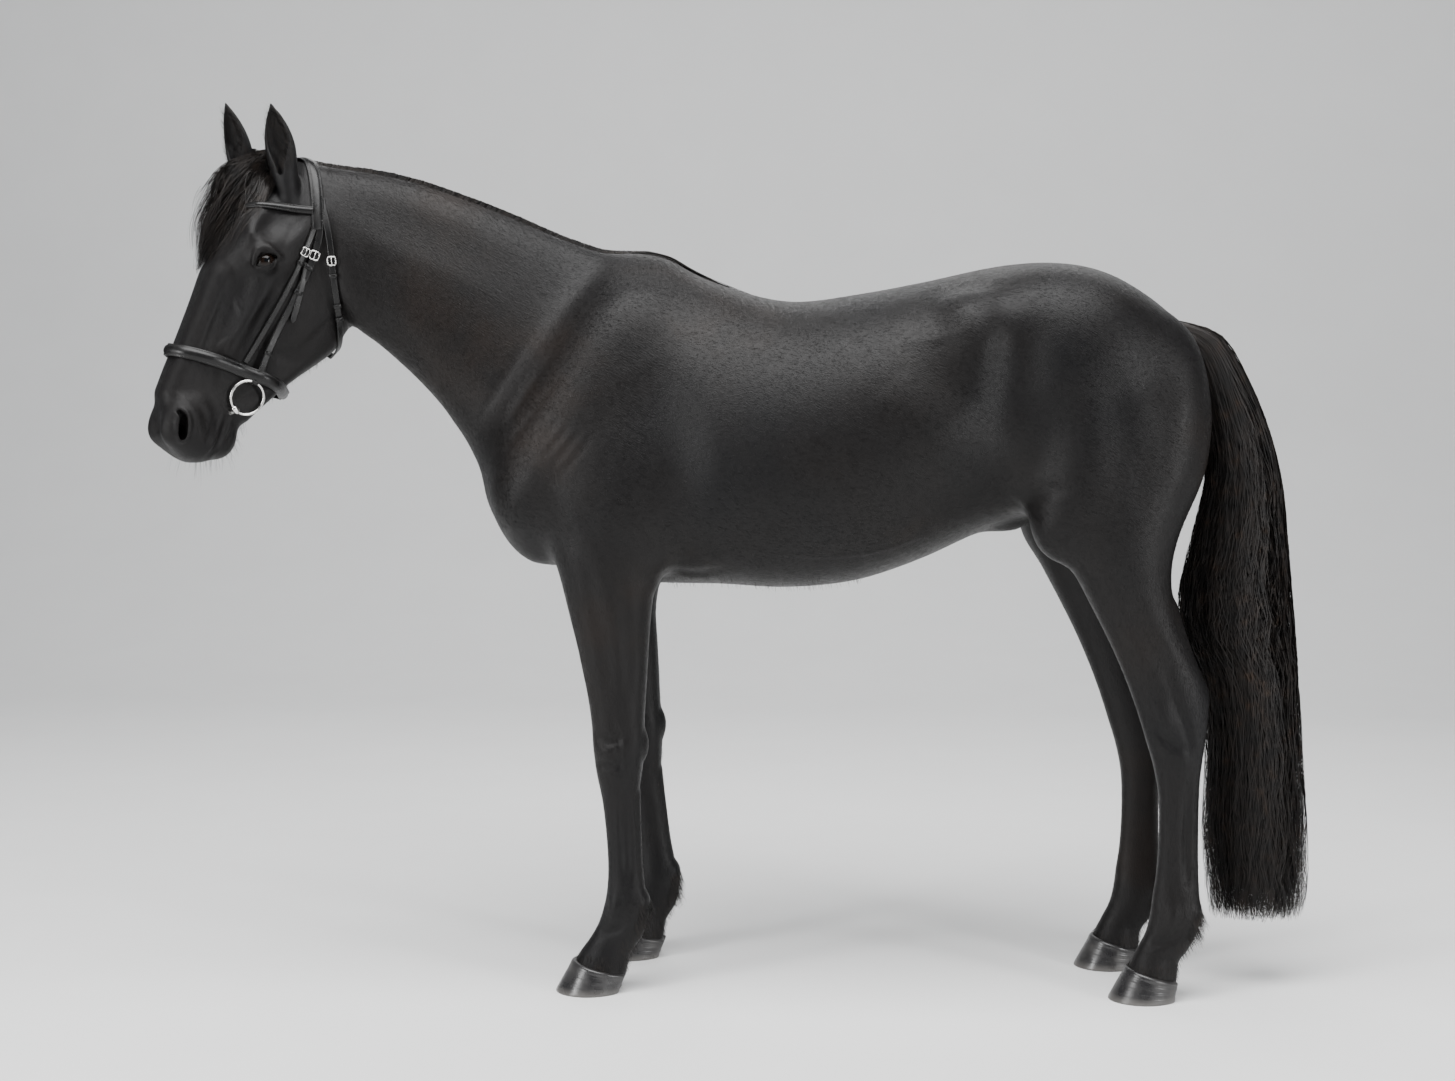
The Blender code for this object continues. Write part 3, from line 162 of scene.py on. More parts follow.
FORE_LEG = [  # front edge, back edge, half width, offset outwards
    (-0.395, 1.080, -0.150, 1.080, 0.095, 0.140, 2.0, 0.0),
    (-0.368, 0.960, -0.135, 0.960, 0.085, 0.148, 2.1, 0.0),
    (-0.345, 0.880, -0.143, 0.880, 0.074, 0.150, 2.1, 0.0),
    (-0.325, 0.800, -0.152, 0.800, 0.064, 0.150, 2.1, 0.0),
    (-0.308, 0.730, -0.157, 0.730, 0.057, 0.149, 2.1, 0.0),
    (-0.292, 0.650, -0.162, 0.650, 0.050, 0.148, 2.2, 0.0),
    (-0.282, 0.585, -0.166, 0.585, 0.047, 0.147, 2.4, 0.0),
    (-0.278, 0.525, -0.166, 0.525, 0.048, 0.146, 2.6, 0.0),
    (-0.271, 0.470, -0.173, 0.470, 0.042, 0.145, 2.5, 0.0),
    (-0.260, 0.415, -0.180, 0.415, 0.031, 0.145, 2.3, 0.0),
    (-0.252, 0.345, -0.179, 0.345, 0.0275, 0.145, 2.3, 0.0),
    (-0.248, 0.275, -0.174, 0.275, 0.0275, 0.145, 2.3, 0.0),
    (-0.250, 0.225, -0.165, 0.220, 0.033, 0.145, 2.2, 0.0),
    (-0.256, 0.190, -0.158, 0.172, 0.0375, 0.145, 2.2, 0.0),
    (-0.268, 0.150, -0.172, 0.120, 0.033, 0.145, 2.1, 0.0),
    (-0.287, 0.115, -0.196, 0.085, 0.0325, 0.145, 2.1, 0.0),
    (-0.308, 0.086, -0.205, 0.055, 0.040, 0.145, 2.1, 0.0),
    (-0.320, 0.062, -0.208, 0.032, 0.046, 0.145, 2.1, 0.0),
]
HIND_LEG = [
    (0.640, 1.230, 1.000, 1.260, 0.105, 0.130, 2.1, 0.0),
    (0.655, 1.110, 1.004, 1.140, 0.108, 0.136, 2.1, 0.0),
    (0.690, 1.000, 0.972, 1.040, 0.100, 0.142, 2.1, 0.0),
    (0.732, 0.915, 0.945, 0.945, 0.084, 0.148, 2.1, 0.0),
    (0.772, 0.840, 0.941, 0.880, 0.068, 0.151, 2.1, 0.0),
    (0.812, 0.762, 0.955, 0.810, 0.056, 0.150, 2.1, 0.0),
    (0.846, 0.685, 0.980, 0.742, 0.048, 0.147, 2.1, 0.0),
    (0.874, 0.610, 1.010, 0.680, 0.044, 0.143, 2.2, 0.0),
    (0.892, 0.553, 1.022, 0.610, 0.044, 0.139, 2.4, 0.0),
    (0.908, 0.500, 1.014, 0.535, 0.041, 0.136, 2.4, 0.0),
    (0.920, 0.435, 1.006, 0.450, 0.034, 0.133, 2.3, 0.0),
    (0.922, 0.350, 1.004, 0.350, 0.0295, 0.131, 2.3, 0.0),
    (0.918, 0.272, 1.007, 0.270, 0.029, 0.130, 2.3, 0.0),
    (0.911, 0.222, 1.012, 0.215, 0.034, 0.130, 2.2, 0.0),
    (0.907, 0.185, 1.013, 0.165, 0.0385, 0.130, 2.2, 0.0),
    (0.898, 0.145, 0.993, 0.115, 0.034, 0.130, 2.1, 0.0),
    (0.882, 0.112, 0.970, 0.082, 0.0335, 0.130, 2.1, 0.0),
    (0.868, 0.084, 0.966, 0.052, 0.041, 0.130, 2.1, 0.0),
    (0.858, 0.062, 0.966, 0.030, 0.046, 0.130, 2.1, 0.0),
]
LEG_ENDS = (0.05, 0.008)


# ---------------------------------------------------------------- shapes as signed distances
def spline(rows, count):
    """Rows of numbers drawn out to count rows along a smooth curve through them."""
    rows = np.asarray(rows, float)
    at = np.linspace(0, len(rows) - 1, count)
    i = np.clip(at.astype(int), 0, len(rows) - 2)
    t = (at - i)[:, None]
    before, after = rows[np.maximum(i - 1, 0)], rows[np.minimum(i + 2, len(rows) - 1)]
    a, b = rows[i], rows[i + 1]
    slope_a, slope_b = (b - before) / 2, (after - a) / 2
    t2, t3 = t * t, t * t * t
    return (
        (2 * t3 - 3 * t2 + 1) * a
        + (t3 - 2 * t2 + t) * slope_a
        + (3 * t2 - 2 * t3) * b
        + (t3 - t2) * slope_b
    )


class Loft:
    """A body through stations, whose planes may fan out. to_own takes points to (along, up, left)."""

    def __init__(self, stations, ends, count=48, to_own=None, from_own=None, side=1.0):
        rows = spline(stations, count)
        self.top, self.low = rows[:, 0:2], rows[:, 2:4]
        self.half_width, self.square, self.widen = rows[:, 4], rows[:, 6], rows[:, 7]
        self.middle = rows[:, 5] * side
        self.ends = ends
        self.to_own = to_own or (lambda p: np.stack([p[:, 0], p[:, 2], -p[:, 1]], 1))
        self.from_own = from_own or (lambda q: np.stack([q[:, 0], -q[:, 2], q[:, 1]], 1))
        long_axis = self.low - self.top
        self.half_depth = np.linalg.norm(long_axis, axis=1) / 2
        self.axis = long_axis / (2 * self.half_depth[:, None])
        normal = np.stack([self.axis[:, 1], -self.axis[:, 0]], 1)
        onwards = np.gradient((self.top + self.low) / 2, axis=0)
        normal *= np.sign((normal * onwards).sum(1))[:, None]
        self.planes = normal, (self.top * normal).sum(1)  # of the stations

    def box(self):
        corners = []
        for edge in (self.top, self.low):
            for sign in (-1, 1):
                left = self.middle + sign * self.half_width * (1 + np.abs(self.widen))
                corners.append(np.column_stack([edge, left]))
        points = self.from_own(np.concatenate(corners))
        pad = max(self.ends) + 0.01
        return points.min(0) - pad, points.max(0) + pad

    def distance(self, points):
        q = self.to_own(points)
        count = len(self.half_depth)
        normal, offset = self.planes
        past = q[:, :2] @ normal.T - offset
        last = np.clip((past >= 0).sum(1) - 1, 0, count - 2)
        row = np.arange(len(q))
        near, far = past[row, last], past[row, last + 1]
        share = np.clip(near / np.maximum(near - far, 1e-9), 0, 1)

        def at(values):
            return values[last] + (values[last + 1] - values[last]) * (
                share if values.ndim == 1 else share[:, None]
            )

        centre = at((self.top + self.low) / 2)
        depth = ((q[:, :2] - centre) * at(self.axis)).sum(1) / at(self.half_depth)
        half_width = at(self.half_width) * (1 + at(self.widen) * np.clip(depth, -1, 1))
        across = (q[:, 2] - at(self.middle)) / half_width
        n = at(self.square)
        a, b = np.abs(across) + 1e-9, np.abs(depth) + 1e-9
        size = (a**n + b**n) ** (1 / n)
        rate = size ** (1 - n) * np.hypot(a ** (n - 1) / half_width, b ** (n - 1) / at(self.half_depth))
        out = np.maximum(-past[:, 0] / self.ends[0], past[:, -1] / self.ends[1])
        out = np.maximum(out, 0)
        whole = np.hypot(size, out)
        return (whole - 1) / np.maximum(rate, 1.0 / 0.4)


class Ball:
    """An ellipsoid: its centre, its three radii, and its turn as a matrix."""

    def __init__(self, centre, radii, turn=None):
        self.centre = np.array(centre, float)
        self.radii = np.array(radii, float)
        self.turn = np.eye(3) if turn is None else np.array(turn, float)

    def box(self):
        reach = np.abs(self.turn) @ self.radii
        return self.centre - reach, self.centre + reach

    def distance(self, points):
        q = (points - self.centre) @ self.turn
        k0 = np.linalg.norm(q / self.radii, axis=1)
        k1 = np.linalg.norm(q / self.radii**2, axis=1)
        return k0 * (k0 - 1) / np.maximum(k1, 1e-6)


class Rod:
    """A rod with round ends, thicker at one end."""

    def __init__(self, start, end, start_radius, end_radius):
        self.start, self.end = np.array(start, float), np.array(end, float)
        self.radii = start_radius, end_radius

    def box(self):
        most = max(self.radii)
        return np.minimum(self.start, self.end) - most, np.maximum(self.start, self.end) + most

    def distance(self, points):
        along = self.end - self.start
        t = np.clip((points - self.start) @ along / (along @ along), 0, 1)
        radius = self.radii[0] + (self.radii[1] - self.radii[0]) * t
        return np.linalg.norm(points - self.start - t[:, None] * along, axis=1) - radius


def union(a, b, blend):
    """The smooth union of two distances. A negative blend cuts b out of a instead."""
    if blend < 0:
        return -union(-a, b, -blend)
    h = np.clip(0.5 + 0.5 * (a - b) / blend, 0, 1)
    return a + (b - a) * h - blend * h * (1 - h)


# ---------------------------------------------------------------- anatomy
def turned(pitch=0.0, yaw=0.0, roll=0.0):
    """A turn about Y, then Z, then X, in degrees."""
    y, z, x = (math.radians(a) for a in (pitch, yaw, roll))
    return Matrix.Rotation(z, 3, "Z") @ Matrix.Rotation(y, 3, "Y") @ Matrix.Rotation(x, 3, "X")


def step_at(path, height):
    """How far back a leg has moved at a height, along its (height, step) path."""
    heights, steps = zip(*path)
    return float(np.interp(height, heights, steps))


def leg_side(stations, path):
    """Stations of one leg, each moved back by its step."""
    moved = []
    for front_x, front_z, back_x, back_z, *rest in stations:
        step = step_at(path, (front_z + back_z) / 2)
        moved.append((front_x + step, front_z, back_x + step, back_z, *rest))
    return moved


def body_muscles(side):
    """(shape, blend) for one side of the neck, trunk and haunches."""
    y = SIDES[side]
    return [
        (Ball((-0.285, 0.119 * y, 1.270), (0.096, 0.085, 0.245), turned(pitch=28)), 0.105),  # scapula
        (Ball((-0.215, 0.161 * y, 1.075), (0.130, 0.075, 0.125), turned(pitch=-35)), 0.07),  # triceps
        (Ball((-0.405, 0.125 * y, 1.085), (0.080, 0.090, 0.110), turned(pitch=20)), 0.05),  # shoulder
        (Ball((-0.405, 0.075 * y, 1.000), (0.070, 0.075, 0.090), turned(pitch=-20)), 0.04),  # breast
        (Ball((-0.165, 0.160 * y, 0.930), (0.045, 0.040, 0.060)), 0.04),  # elbow
        (Ball((0.530, 0.195 * y, 1.400), (0.060, 0.050, 0.085), turned(pitch=-12)), 0.06),  # point of hip
        (Ball((0.735, 0.125 * y, 1.380), (0.200, 0.125, 0.155), turned(pitch=14)), 0.06),  # rump
        (Ball((0.905, 0.110 * y, 1.215), (0.118, 0.108, 0.230), turned(pitch=4)), 0.05),  # hamstrings
        (Ball((0.735, 0.160 * y, 1.110), (0.090, 0.085, 0.180), turned(pitch=8)), 0.06),  # thigh
        (Ball((0.700, 0.165 * y, 1.010), (0.046, 0.055, 0.060)), 0.04),  # stifle
        (Ball((0.600, 0.325 * y, 1.290), (0.050, 0.080, 0.190), turned(pitch=12)), -0.05),  # hollow flank
    ]


def leg_bones(side):
    """(shape, blend) for the joints and tendons of one side's legs."""
    y = SIDES[side]

    def fore(x, out, z):
        return (x + step_at(FORE_STEP[side], z), (FORE_FOOT_Y + out) * y, z)

    def hind(x, out, z):
        return (x + step_at(HIND_STEP[side], z), (HIND_FOOT_Y + out) * y, z)

    return [
        (Ball(fore(-0.178, 0.0, 0.535), (0.020, 0.018, 0.034)), 0.014),  # back of the knee
        (Rod(fore(-0.188, 0.0, 0.43), fore(-0.184, 0.0, 0.24), 0.012, 0.013), 0.008),  # tendons
        (Ball(fore(-0.176, 0.0, 0.196), (0.020, 0.027, 0.024)), 0.012),  # sesamoids
        (Ball(hind(1.000, 0.008, 0.635), (0.022, 0.020, 0.045), turned(pitch=10)), 0.015),  # hock
        (Rod(hind(0.938, 0.014, 0.84), hind(0.994, 0.008, 0.68), 0.015, 0.013), 0.020),  # its cord
        (Rod(hind(0.993, 0.0, 0.46), hind(0.993, 0.0, 0.24), 0.012, 0.013), 0.008),
        (Ball(hind(0.995, 0.0, 0.190), (0.020, 0.027, 0.025)), 0.012),
    ]


def head_forms(side):
    """(shape, blend) for one side of the head, placed in its (u, v, w)."""
    w = -SIDES[side]

    def ball(centre, radii, turn=None):
        frame = HEAD if turn is None else HEAD @ np.array(turn)
        return Ball(from_head([centre])[0], radii, frame)

    def rod(start, end, *radii):
        return Rod(*from_head([start, end]), *radii)

    def tilt(angle):
        """A turn in the head's (u, v) plane."""
        return Matrix.Rotation(math.radians(angle), 3, "Z")

    return [
        (ball((0.262, -0.122, 0.042 * w), (0.128, 0.102, 0.047), tilt(-18)), 0.030),  # cheek
        (ball((0.205, 0.024, 0.064 * w), (0.076, 0.048, 0.043), tilt(-8)), 0.035),  # orbit
        (rod((0.225, -0.030, 0.080 * w), (0.100, -0.060, 0.072 * w), 0.018, 0.014), 0.040),  # zygoma
        (ball((0.150, 0.032, 0.112 * w), (0.036, 0.026, 0.022)), -0.030),  # hollow over the eye
        (rod((0.285, -0.010, 0.066 * w), (0.430, 0.006, 0.050 * w), 0.014, 0.010), 0.035),  # crest
        (rod((0.300, 0.062, 0.022 * w), (0.560, 0.070, 0.018 * w), 0.022, 0.018), 0.035),  # nasal bone
        (ball((0.400, 0.046, 0.096 * w), (0.110, 0.022, 0.030)), -0.040),  # side of the nose
        (rod((0.330, -0.188, 0.036 * w), (0.540, -0.085, 0.028 * w), 0.024, 0.016), 0.030),  # jaw bar
        (ball((0.610, 0.033, 0.036 * w), (0.056, 0.042, 0.031), tilt(20)), 0.032),  # nostril wing
        (ball((0.635, -0.010, 0.018 * w), (0.042, 0.050, 0.036)), 0.030),  # upper lip
        (ball((0.609, -0.066, 0.010 * w), (0.042, 0.032, 0.028)), 0.015),  # lower lip
    ]


EYE = (0.240, 0.011, 0.088)  # in the head's (u, v, w)
# Of each ear, the middle of its base and its tip, in the head's (u, v, w).
EARS = {
    "l": ((0.054, 0.021, 0.062), (-0.077, 0.107, 0.058)),
    "r": ((0.060, 0.058, -0.066), (-0.069, 0.156, -0.067)),
}


class Cord:
    """A round cord along a smooth curve, its radius changing on the way."""

    def __init__(self, places, radii, count=14):
        rows = np.column_stack([places, np.broadcast_to(radii, len(places))])
        rows = spline(rows, count)
        self.places, self.radii = rows[:, :3], rows[:, 3]

    def box(self):
        most = self.radii.max()
        return self.places.min(0) - most, self.places.max(0) + most

    def distance(self, points):
        best = np.full(len(points), np.inf)
        for k in range(len(self.places) - 1):
            start, along = self.places[k], self.places[k + 1] - self.places[k]
            t = np.clip((points - start) @ along / (along @ along), 0, 1)
            radius = self.radii[k] + (self.radii[k + 1] - self.radii[k]) * t
            away = np.linalg.norm(points - start - t[:, None] * along, axis=1)
            best = np.minimum(best, away - radius)
        return best


class Hollowed:
    """One shape with another cut out of it."""

    def __init__(self, outer, inner, blend):
        self.outer, self.inner, self.blend = outer, inner, blend

    def box(self):
        return self.outer.box()

    def distance(self, points):
        return union(self.outer.distance(points), self.inner.distance(points), -self.blend)


BLOCK = 0.08  # places are worked out in blocks of this size, each with the shapes that reach it


class Flesh:
    """Shapes joined one after another into one field of distances."""

    def __init__(self, parts):
        self.parts = []
        self.add(parts)

    def add(self, parts):
        """Join more shapes on, and work out the box that each one reaches."""
        self.parts += parts
        pads = [abs(blend) + FIELD_REACH for _, blend in self.parts]
        boxes = [shape.box() for shape, _ in self.parts]
        self.low = np.array([low - pad for (low, _), pad in zip(boxes, pads)])
        self.high = np.array([high + pad for (_, high), pad in zip(boxes, pads)])

    def at(self, points):
        """The field at points, worked out block by block."""
        value = np.full(len(points), BAND)
        x, y, z = np.floor(points.T / BLOCK).astype(np.int64) + 500
        key = (x * 1000 + y) * 1000 + z
        order = np.argsort(key, kind="stable")
        edges = np.flatnonzero(np.diff(key[order])) + 1
        for group in np.split(order, edges):
            value[group] = self.block_at(points[group])
        return value

    def block_at(self, points):
        """The field at points that lie close together, from the shapes that reach them."""
        value = np.full(len(points), BAND)
        low, high = points.min(0), points.max(0)
        reached = ((self.low < high) & (self.high > low)).all(1)
        for i in np.flatnonzero(reached):
            shape, blend = self.parts[i]
            if (low > self.low[i]).all() and (high < self.high[i]).all():
                value = union(value, shape.distance(points), blend)
                continue
            inside = ((points > self.low[i]) & (points < self.high[i])).all(1)
            if inside.any():
                value[inside] = union(value[inside], shape.distance(points[inside]), blend)
        return value

    def meet(self, starts, ways, reach, count=70):
        """Where rays first meet the surface."""
        starts, ways = np.asarray(starts, float), np.asarray(ways, float)
        t = np.linspace(0, reach, count)
        points = starts[:, None] + ways[:, None] * t[None, :, None]
        found = self.at(points.reshape(-1, 3)).reshape(len(starts), count)
        first = np.maximum((found < 0).argmax(1), 1)
        row = np.arange(len(starts))
        a, b = found[row, first - 1], found[row, first]
        at = t[first - 1] + t[1] * np.clip(a / np.where(a == b, 1, a - b), 0, 1)
        return starts + ways * at[:, None]

    def slope(self, points, step=0.0008):
        """How fast the field grows along X, Y and Z."""
        ways = np.eye(3) * step
        return np.stack([(self.at(points + e) - self.at(points - e)) / (2 * step) for e in ways], 1)

    def settle(self, points, depth, rounds=1, most=0.002):
        """Points moved onto the surface that lies depth under the field's own."""
        for _ in range(rounds):
            slope = self.slope(points)
            size = np.maximum((slope**2).sum(1), 0.2)
            move = slope * ((self.at(points) + depth) / size)[:, None]
            length = np.linalg.norm(move, axis=1, keepdims=True)
            points = points - move * np.minimum(1, most / np.maximum(length, 1e-9))
        return points

    def surface(self, low, high, cell, depth):
        """(points, quads) of the surface depth under the field's own, worked out only near it."""
        step = 4
        low = np.array(low, float)
        count = np.ceil((np.array(high) - low) / (cell * step)).astype(int)
        axes = [low[k] + cell * step * np.arange(count[k] + 1) for k in range(3)]
        nodes = np.stack(np.meshgrid(*axes, indexing="ij"), -1).reshape(-1, 3)
        coarse = self.at(nodes).reshape(count + 1)
        least = np.full(count, np.inf)
        for corner in np.ndindex(2, 2, 2):
            part = tuple(slice(c, c + n) for c, n in zip(corner, count))
            least = np.minimum(least, np.abs(coarse[part]))
        near = least < 2.0 * cell * step
        grown = near.copy()
        for axis in range(3):
            grown |= np.roll(near, 1, axis) | np.roll(near, -1, axis)
        values = np.sign(coarse[:-1, :-1, :-1]) * BAND
        for axis in range(3):
            values = np.repeat(values, step, axis)
            grown = np.repeat(grown, step, axis)
        where = np.argwhere(grown)
        values[grown] = np.clip(self.at(where * cell + low) + depth, -BAND, BAND)
        grid = openvdb.FloatGrid(BAND)
        grid.copyFromArray(np.ascontiguousarray(values, np.float32))
        points, quads = grid.convertToQuads()
        return points * cell + low, quads[:, ::-1]


# ---------------------------------------------------------------- the whole flesh
def body_parts():
    """(shape, blend) of the whole horse under its coat, in the order they join."""
    parts = [(Loft(TRUNK, TRUNK_ENDS), 0.01), (Loft(NECK, NECK_ENDS), 0.07)]
    for side, y in SIDES.items():
        parts += body_muscles(side)
        parts.append((Loft(leg_side(FORE_LEG, FORE_STEP[side]), LEG_ENDS, side=-y), 0.030))
        parts.append((Loft(leg_side(HIND_LEG, HIND_STEP[side]), LEG_ENDS, side=-y), 0.035))
        parts += leg_bones(side)
    parts.append((Ball((0.610, 0.0, 1.010), (0.060, 0.034, 0.030), turned(pitch=-10)), 0.02))  # sheath
    parts.append((Loft(HEAD_LOFT, HEAD_ENDS, to_own=to_head, from_own=from_head), 0.050))
    for side in SIDES:
        parts += head_forms(side)
    return parts


# Ridges and furrows: places, half the width, and the height, which is negative for a furrow.
BODY_LINES = [  # places in (x, z) on each side of the body
    (
        [
            (-0.835, 1.570), (-0.765, 1.475), (-0.699, 1.385), (-0.640, 1.290), (-0.585, 1.200),
            (-0.545, 1.110),
        ],
        0.036, -0.0042,
    ),
    ([(-0.860, 1.700), (-0.760, 1.670), (-0.670, 1.635), (-0.540, 1.580), (-0.430, 1.515)], 0.034, -0.0040),
    ([(-0.390, 1.436), (-0.430, 1.365), (-0.470, 1.295), (-0.502, 1.236)], 0.010, -0.0019),
    ([(-0.335, 1.400), (-0.385, 1.330), (-0.425, 1.270), (-0.467, 1.207)], 0.010, -0.0018),
    ([(-0.368, 1.400), (-0.410, 1.335), (-0.450, 1.270), (-0.480, 1.225)], 0.009, 0.0012),
    ([(-0.420, 1.410), (-0.462, 1.335), (-0.502, 1.262), (-0.532, 1.190)], 0.010, -0.0014),
    ([(-0.330, 1.330), (-0.380, 1.265), (-0.430, 1.200), (-0.470, 1.150)], 0.009, -0.0013),
    ([(-0.335, 1.235), (-0.362, 1.200), (-0.395, 1.165)], 0.009, -0.0013),
    ([(-0.312, 1.222), (-0.340, 1.185), (-0.375, 1.148)], 0.009, -0.0013),
    ([(-0.290, 1.208), (-0.318, 1.172), (-0.352, 1.132)], 0.009, -0.0012),
    ([(-0.266, 1.198), (-0.295, 1.158), (-0.330, 1.118)], 0.009, -0.0012),
    ([(-0.180, 1.340), (-0.130, 1.260), (-0.105, 1.170), (-0.115, 1.080), (-0.150, 0.990)], 0.055, -0.0100),
    ([(-0.310, 1.130), (-0.250, 1.110), (-0.190, 1.150), (-0.160, 1.220)], 0.034, -0.0024),
    ([(-0.240, 1.070), (-0.205, 1.010), (-0.185, 0.950)], 0.034, 0.0040),
    ([(-0.352, 1.080), (-0.330, 1.010), (-0.300, 0.940)], 0.022, -0.0034),
    ([(-0.190, 0.905), (-0.130, 0.893), (-0.060, 0.900), (0.020, 0.922)], 0.020, -0.0036),
    ([(-0.080, 1.020), (-0.060, 0.975), (-0.065, 0.930)], 0.008, -0.0011),
    ([(-0.055, 1.030), (-0.036, 0.985), (-0.042, 0.935)], 0.008, -0.0010),
    ([(0.600, 1.490), (0.618, 1.400), (0.632, 1.300), (0.648, 1.200), (0.662, 1.100)], 0.052, -0.0080),
    ([(0.340, 1.310), (0.410, 1.240), (0.490, 1.180), (0.585, 1.115)], 0.044, 0.0070),
    ([(0.440, 1.400), (0.455, 1.320), (0.500, 1.250)], 0.048, -0.0070),
    ([(0.500, 1.480), (0.524, 1.420), (0.534, 1.340)], 0.042, 0.0050),
    ([(0.850, 1.430), (0.890, 1.320), (0.900, 1.200), (0.888, 1.080), (0.890, 0.980)], 0.030, -0.0045),
    ([(0.690, 1.340), (0.730, 1.230), (0.762, 1.120), (0.780, 1.010)], 0.050, 0.0060),
    ([(0.800, 1.300), (0.825, 1.190), (0.830, 1.090), (0.815, 0.980)], 0.034, -0.0034),
    ([(0.640, 1.060), (0.680, 1.085), (0.730, 1.085)], 0.014, -0.0022),
    ([(0.600, 1.090), (0.630, 1.060), (0.650, 1.010)], 0.014, 0.0026),
    ([(0.800, 0.930), (0.850, 0.840), (0.905, 0.750), (0.945, 0.690)], 0.022, -0.0048),
    ([(0.770, 0.985), (0.800, 0.905), (0.835, 0.820), (0.880, 0.715), (0.895, 0.640)], 0.0060, 0.0015),
    ([(0.830, 0.990), (0.850, 0.930), (0.840, 0.880), (0.870, 0.820)], 0.0050, 0.0011),
    ([(-0.285, 0.950), (-0.268, 0.850), (-0.248, 0.750), (-0.238, 0.650)], 0.018, -0.0042),
    ([(-0.210, 0.920), (-0.200, 0.820), (-0.195, 0.730), (-0.196, 0.650)], 0.015, -0.0036),
    ([(-0.335, 0.900), (-0.318, 0.800), (-0.298, 0.700), (-0.280, 0.620)], 0.0060, 0.0014),
    ([(-0.250, 0.900), (-0.232, 0.830), (-0.222, 0.760)], 0.0050, 0.0010),
    ([(-0.207, 0.455), (-0.206, 0.380), (-0.204, 0.310), (-0.202, 0.245)], 0.0095, -0.0034),
    ([(-0.190, 0.440), (-0.187, 0.350), (-0.184, 0.250)], 0.0060, 0.0014),
    ([(-0.225, 0.440), (-0.223, 0.350), (-0.222, 0.260)], 0.0050, 0.0009),
    ([(-0.268, 0.560), (-0.235, 0.550), (-0.200, 0.562)], 0.012, -0.0022),
    ([(-0.272, 0.502), (-0.235, 0.494), (-0.205, 0.503)], 0.011, -0.0020),
    ([(-0.262, 0.530), (-0.240, 0.524), (-0.222, 0.530)], 0.013, 0.0026),
    ([(-0.230, 0.590), (-0.222, 0.560), (-0.216, 0.520), (-0.214, 0.480)], 0.008, -0.0016),
    ([(0.980, 0.480), (0.978, 0.390), (0.978, 0.310), (0.981, 0.250)], 0.0095, -0.0034),
    ([(0.958, 0.470), (0.955, 0.390), (0.954, 0.290)], 0.0050, 0.0009),
    ([(0.895, 0.600), (0.935, 0.560), (0.970, 0.535)], 0.012, -0.0026),
    ([(0.925, 0.710), (0.945, 0.650), (0.968, 0.590), (0.985, 0.530)], 0.011, -0.0030),
    ([(0.905, 0.640), (0.925, 0.605), (0.935, 0.560)], 0.015, 0.0034),
    ([(0.945, 0.560), (0.962, 0.530), (0.966, 0.500)], 0.011, 0.0022),
    ([(-0.200, 0.168), (-0.225, 0.140), (-0.262, 0.130)], 0.011, -0.0024),
    ([(-0.235, 0.215), (-0.232, 0.190), (-0.238, 0.160)], 0.013, 0.0024),
    ([(0.975, 0.165), (0.945, 0.135), (0.905, 0.125)], 0.011, -0.0024),
    ([(0.950, 0.212), (0.950, 0.185), (0.940, 0.155)], 0.013, 0.0024),
    ([(0.020, 0.985), (0.120, 0.950), (0.240, 0.945), (0.350, 0.960), (0.430, 0.990)], 0.0065, 0.0016),
]
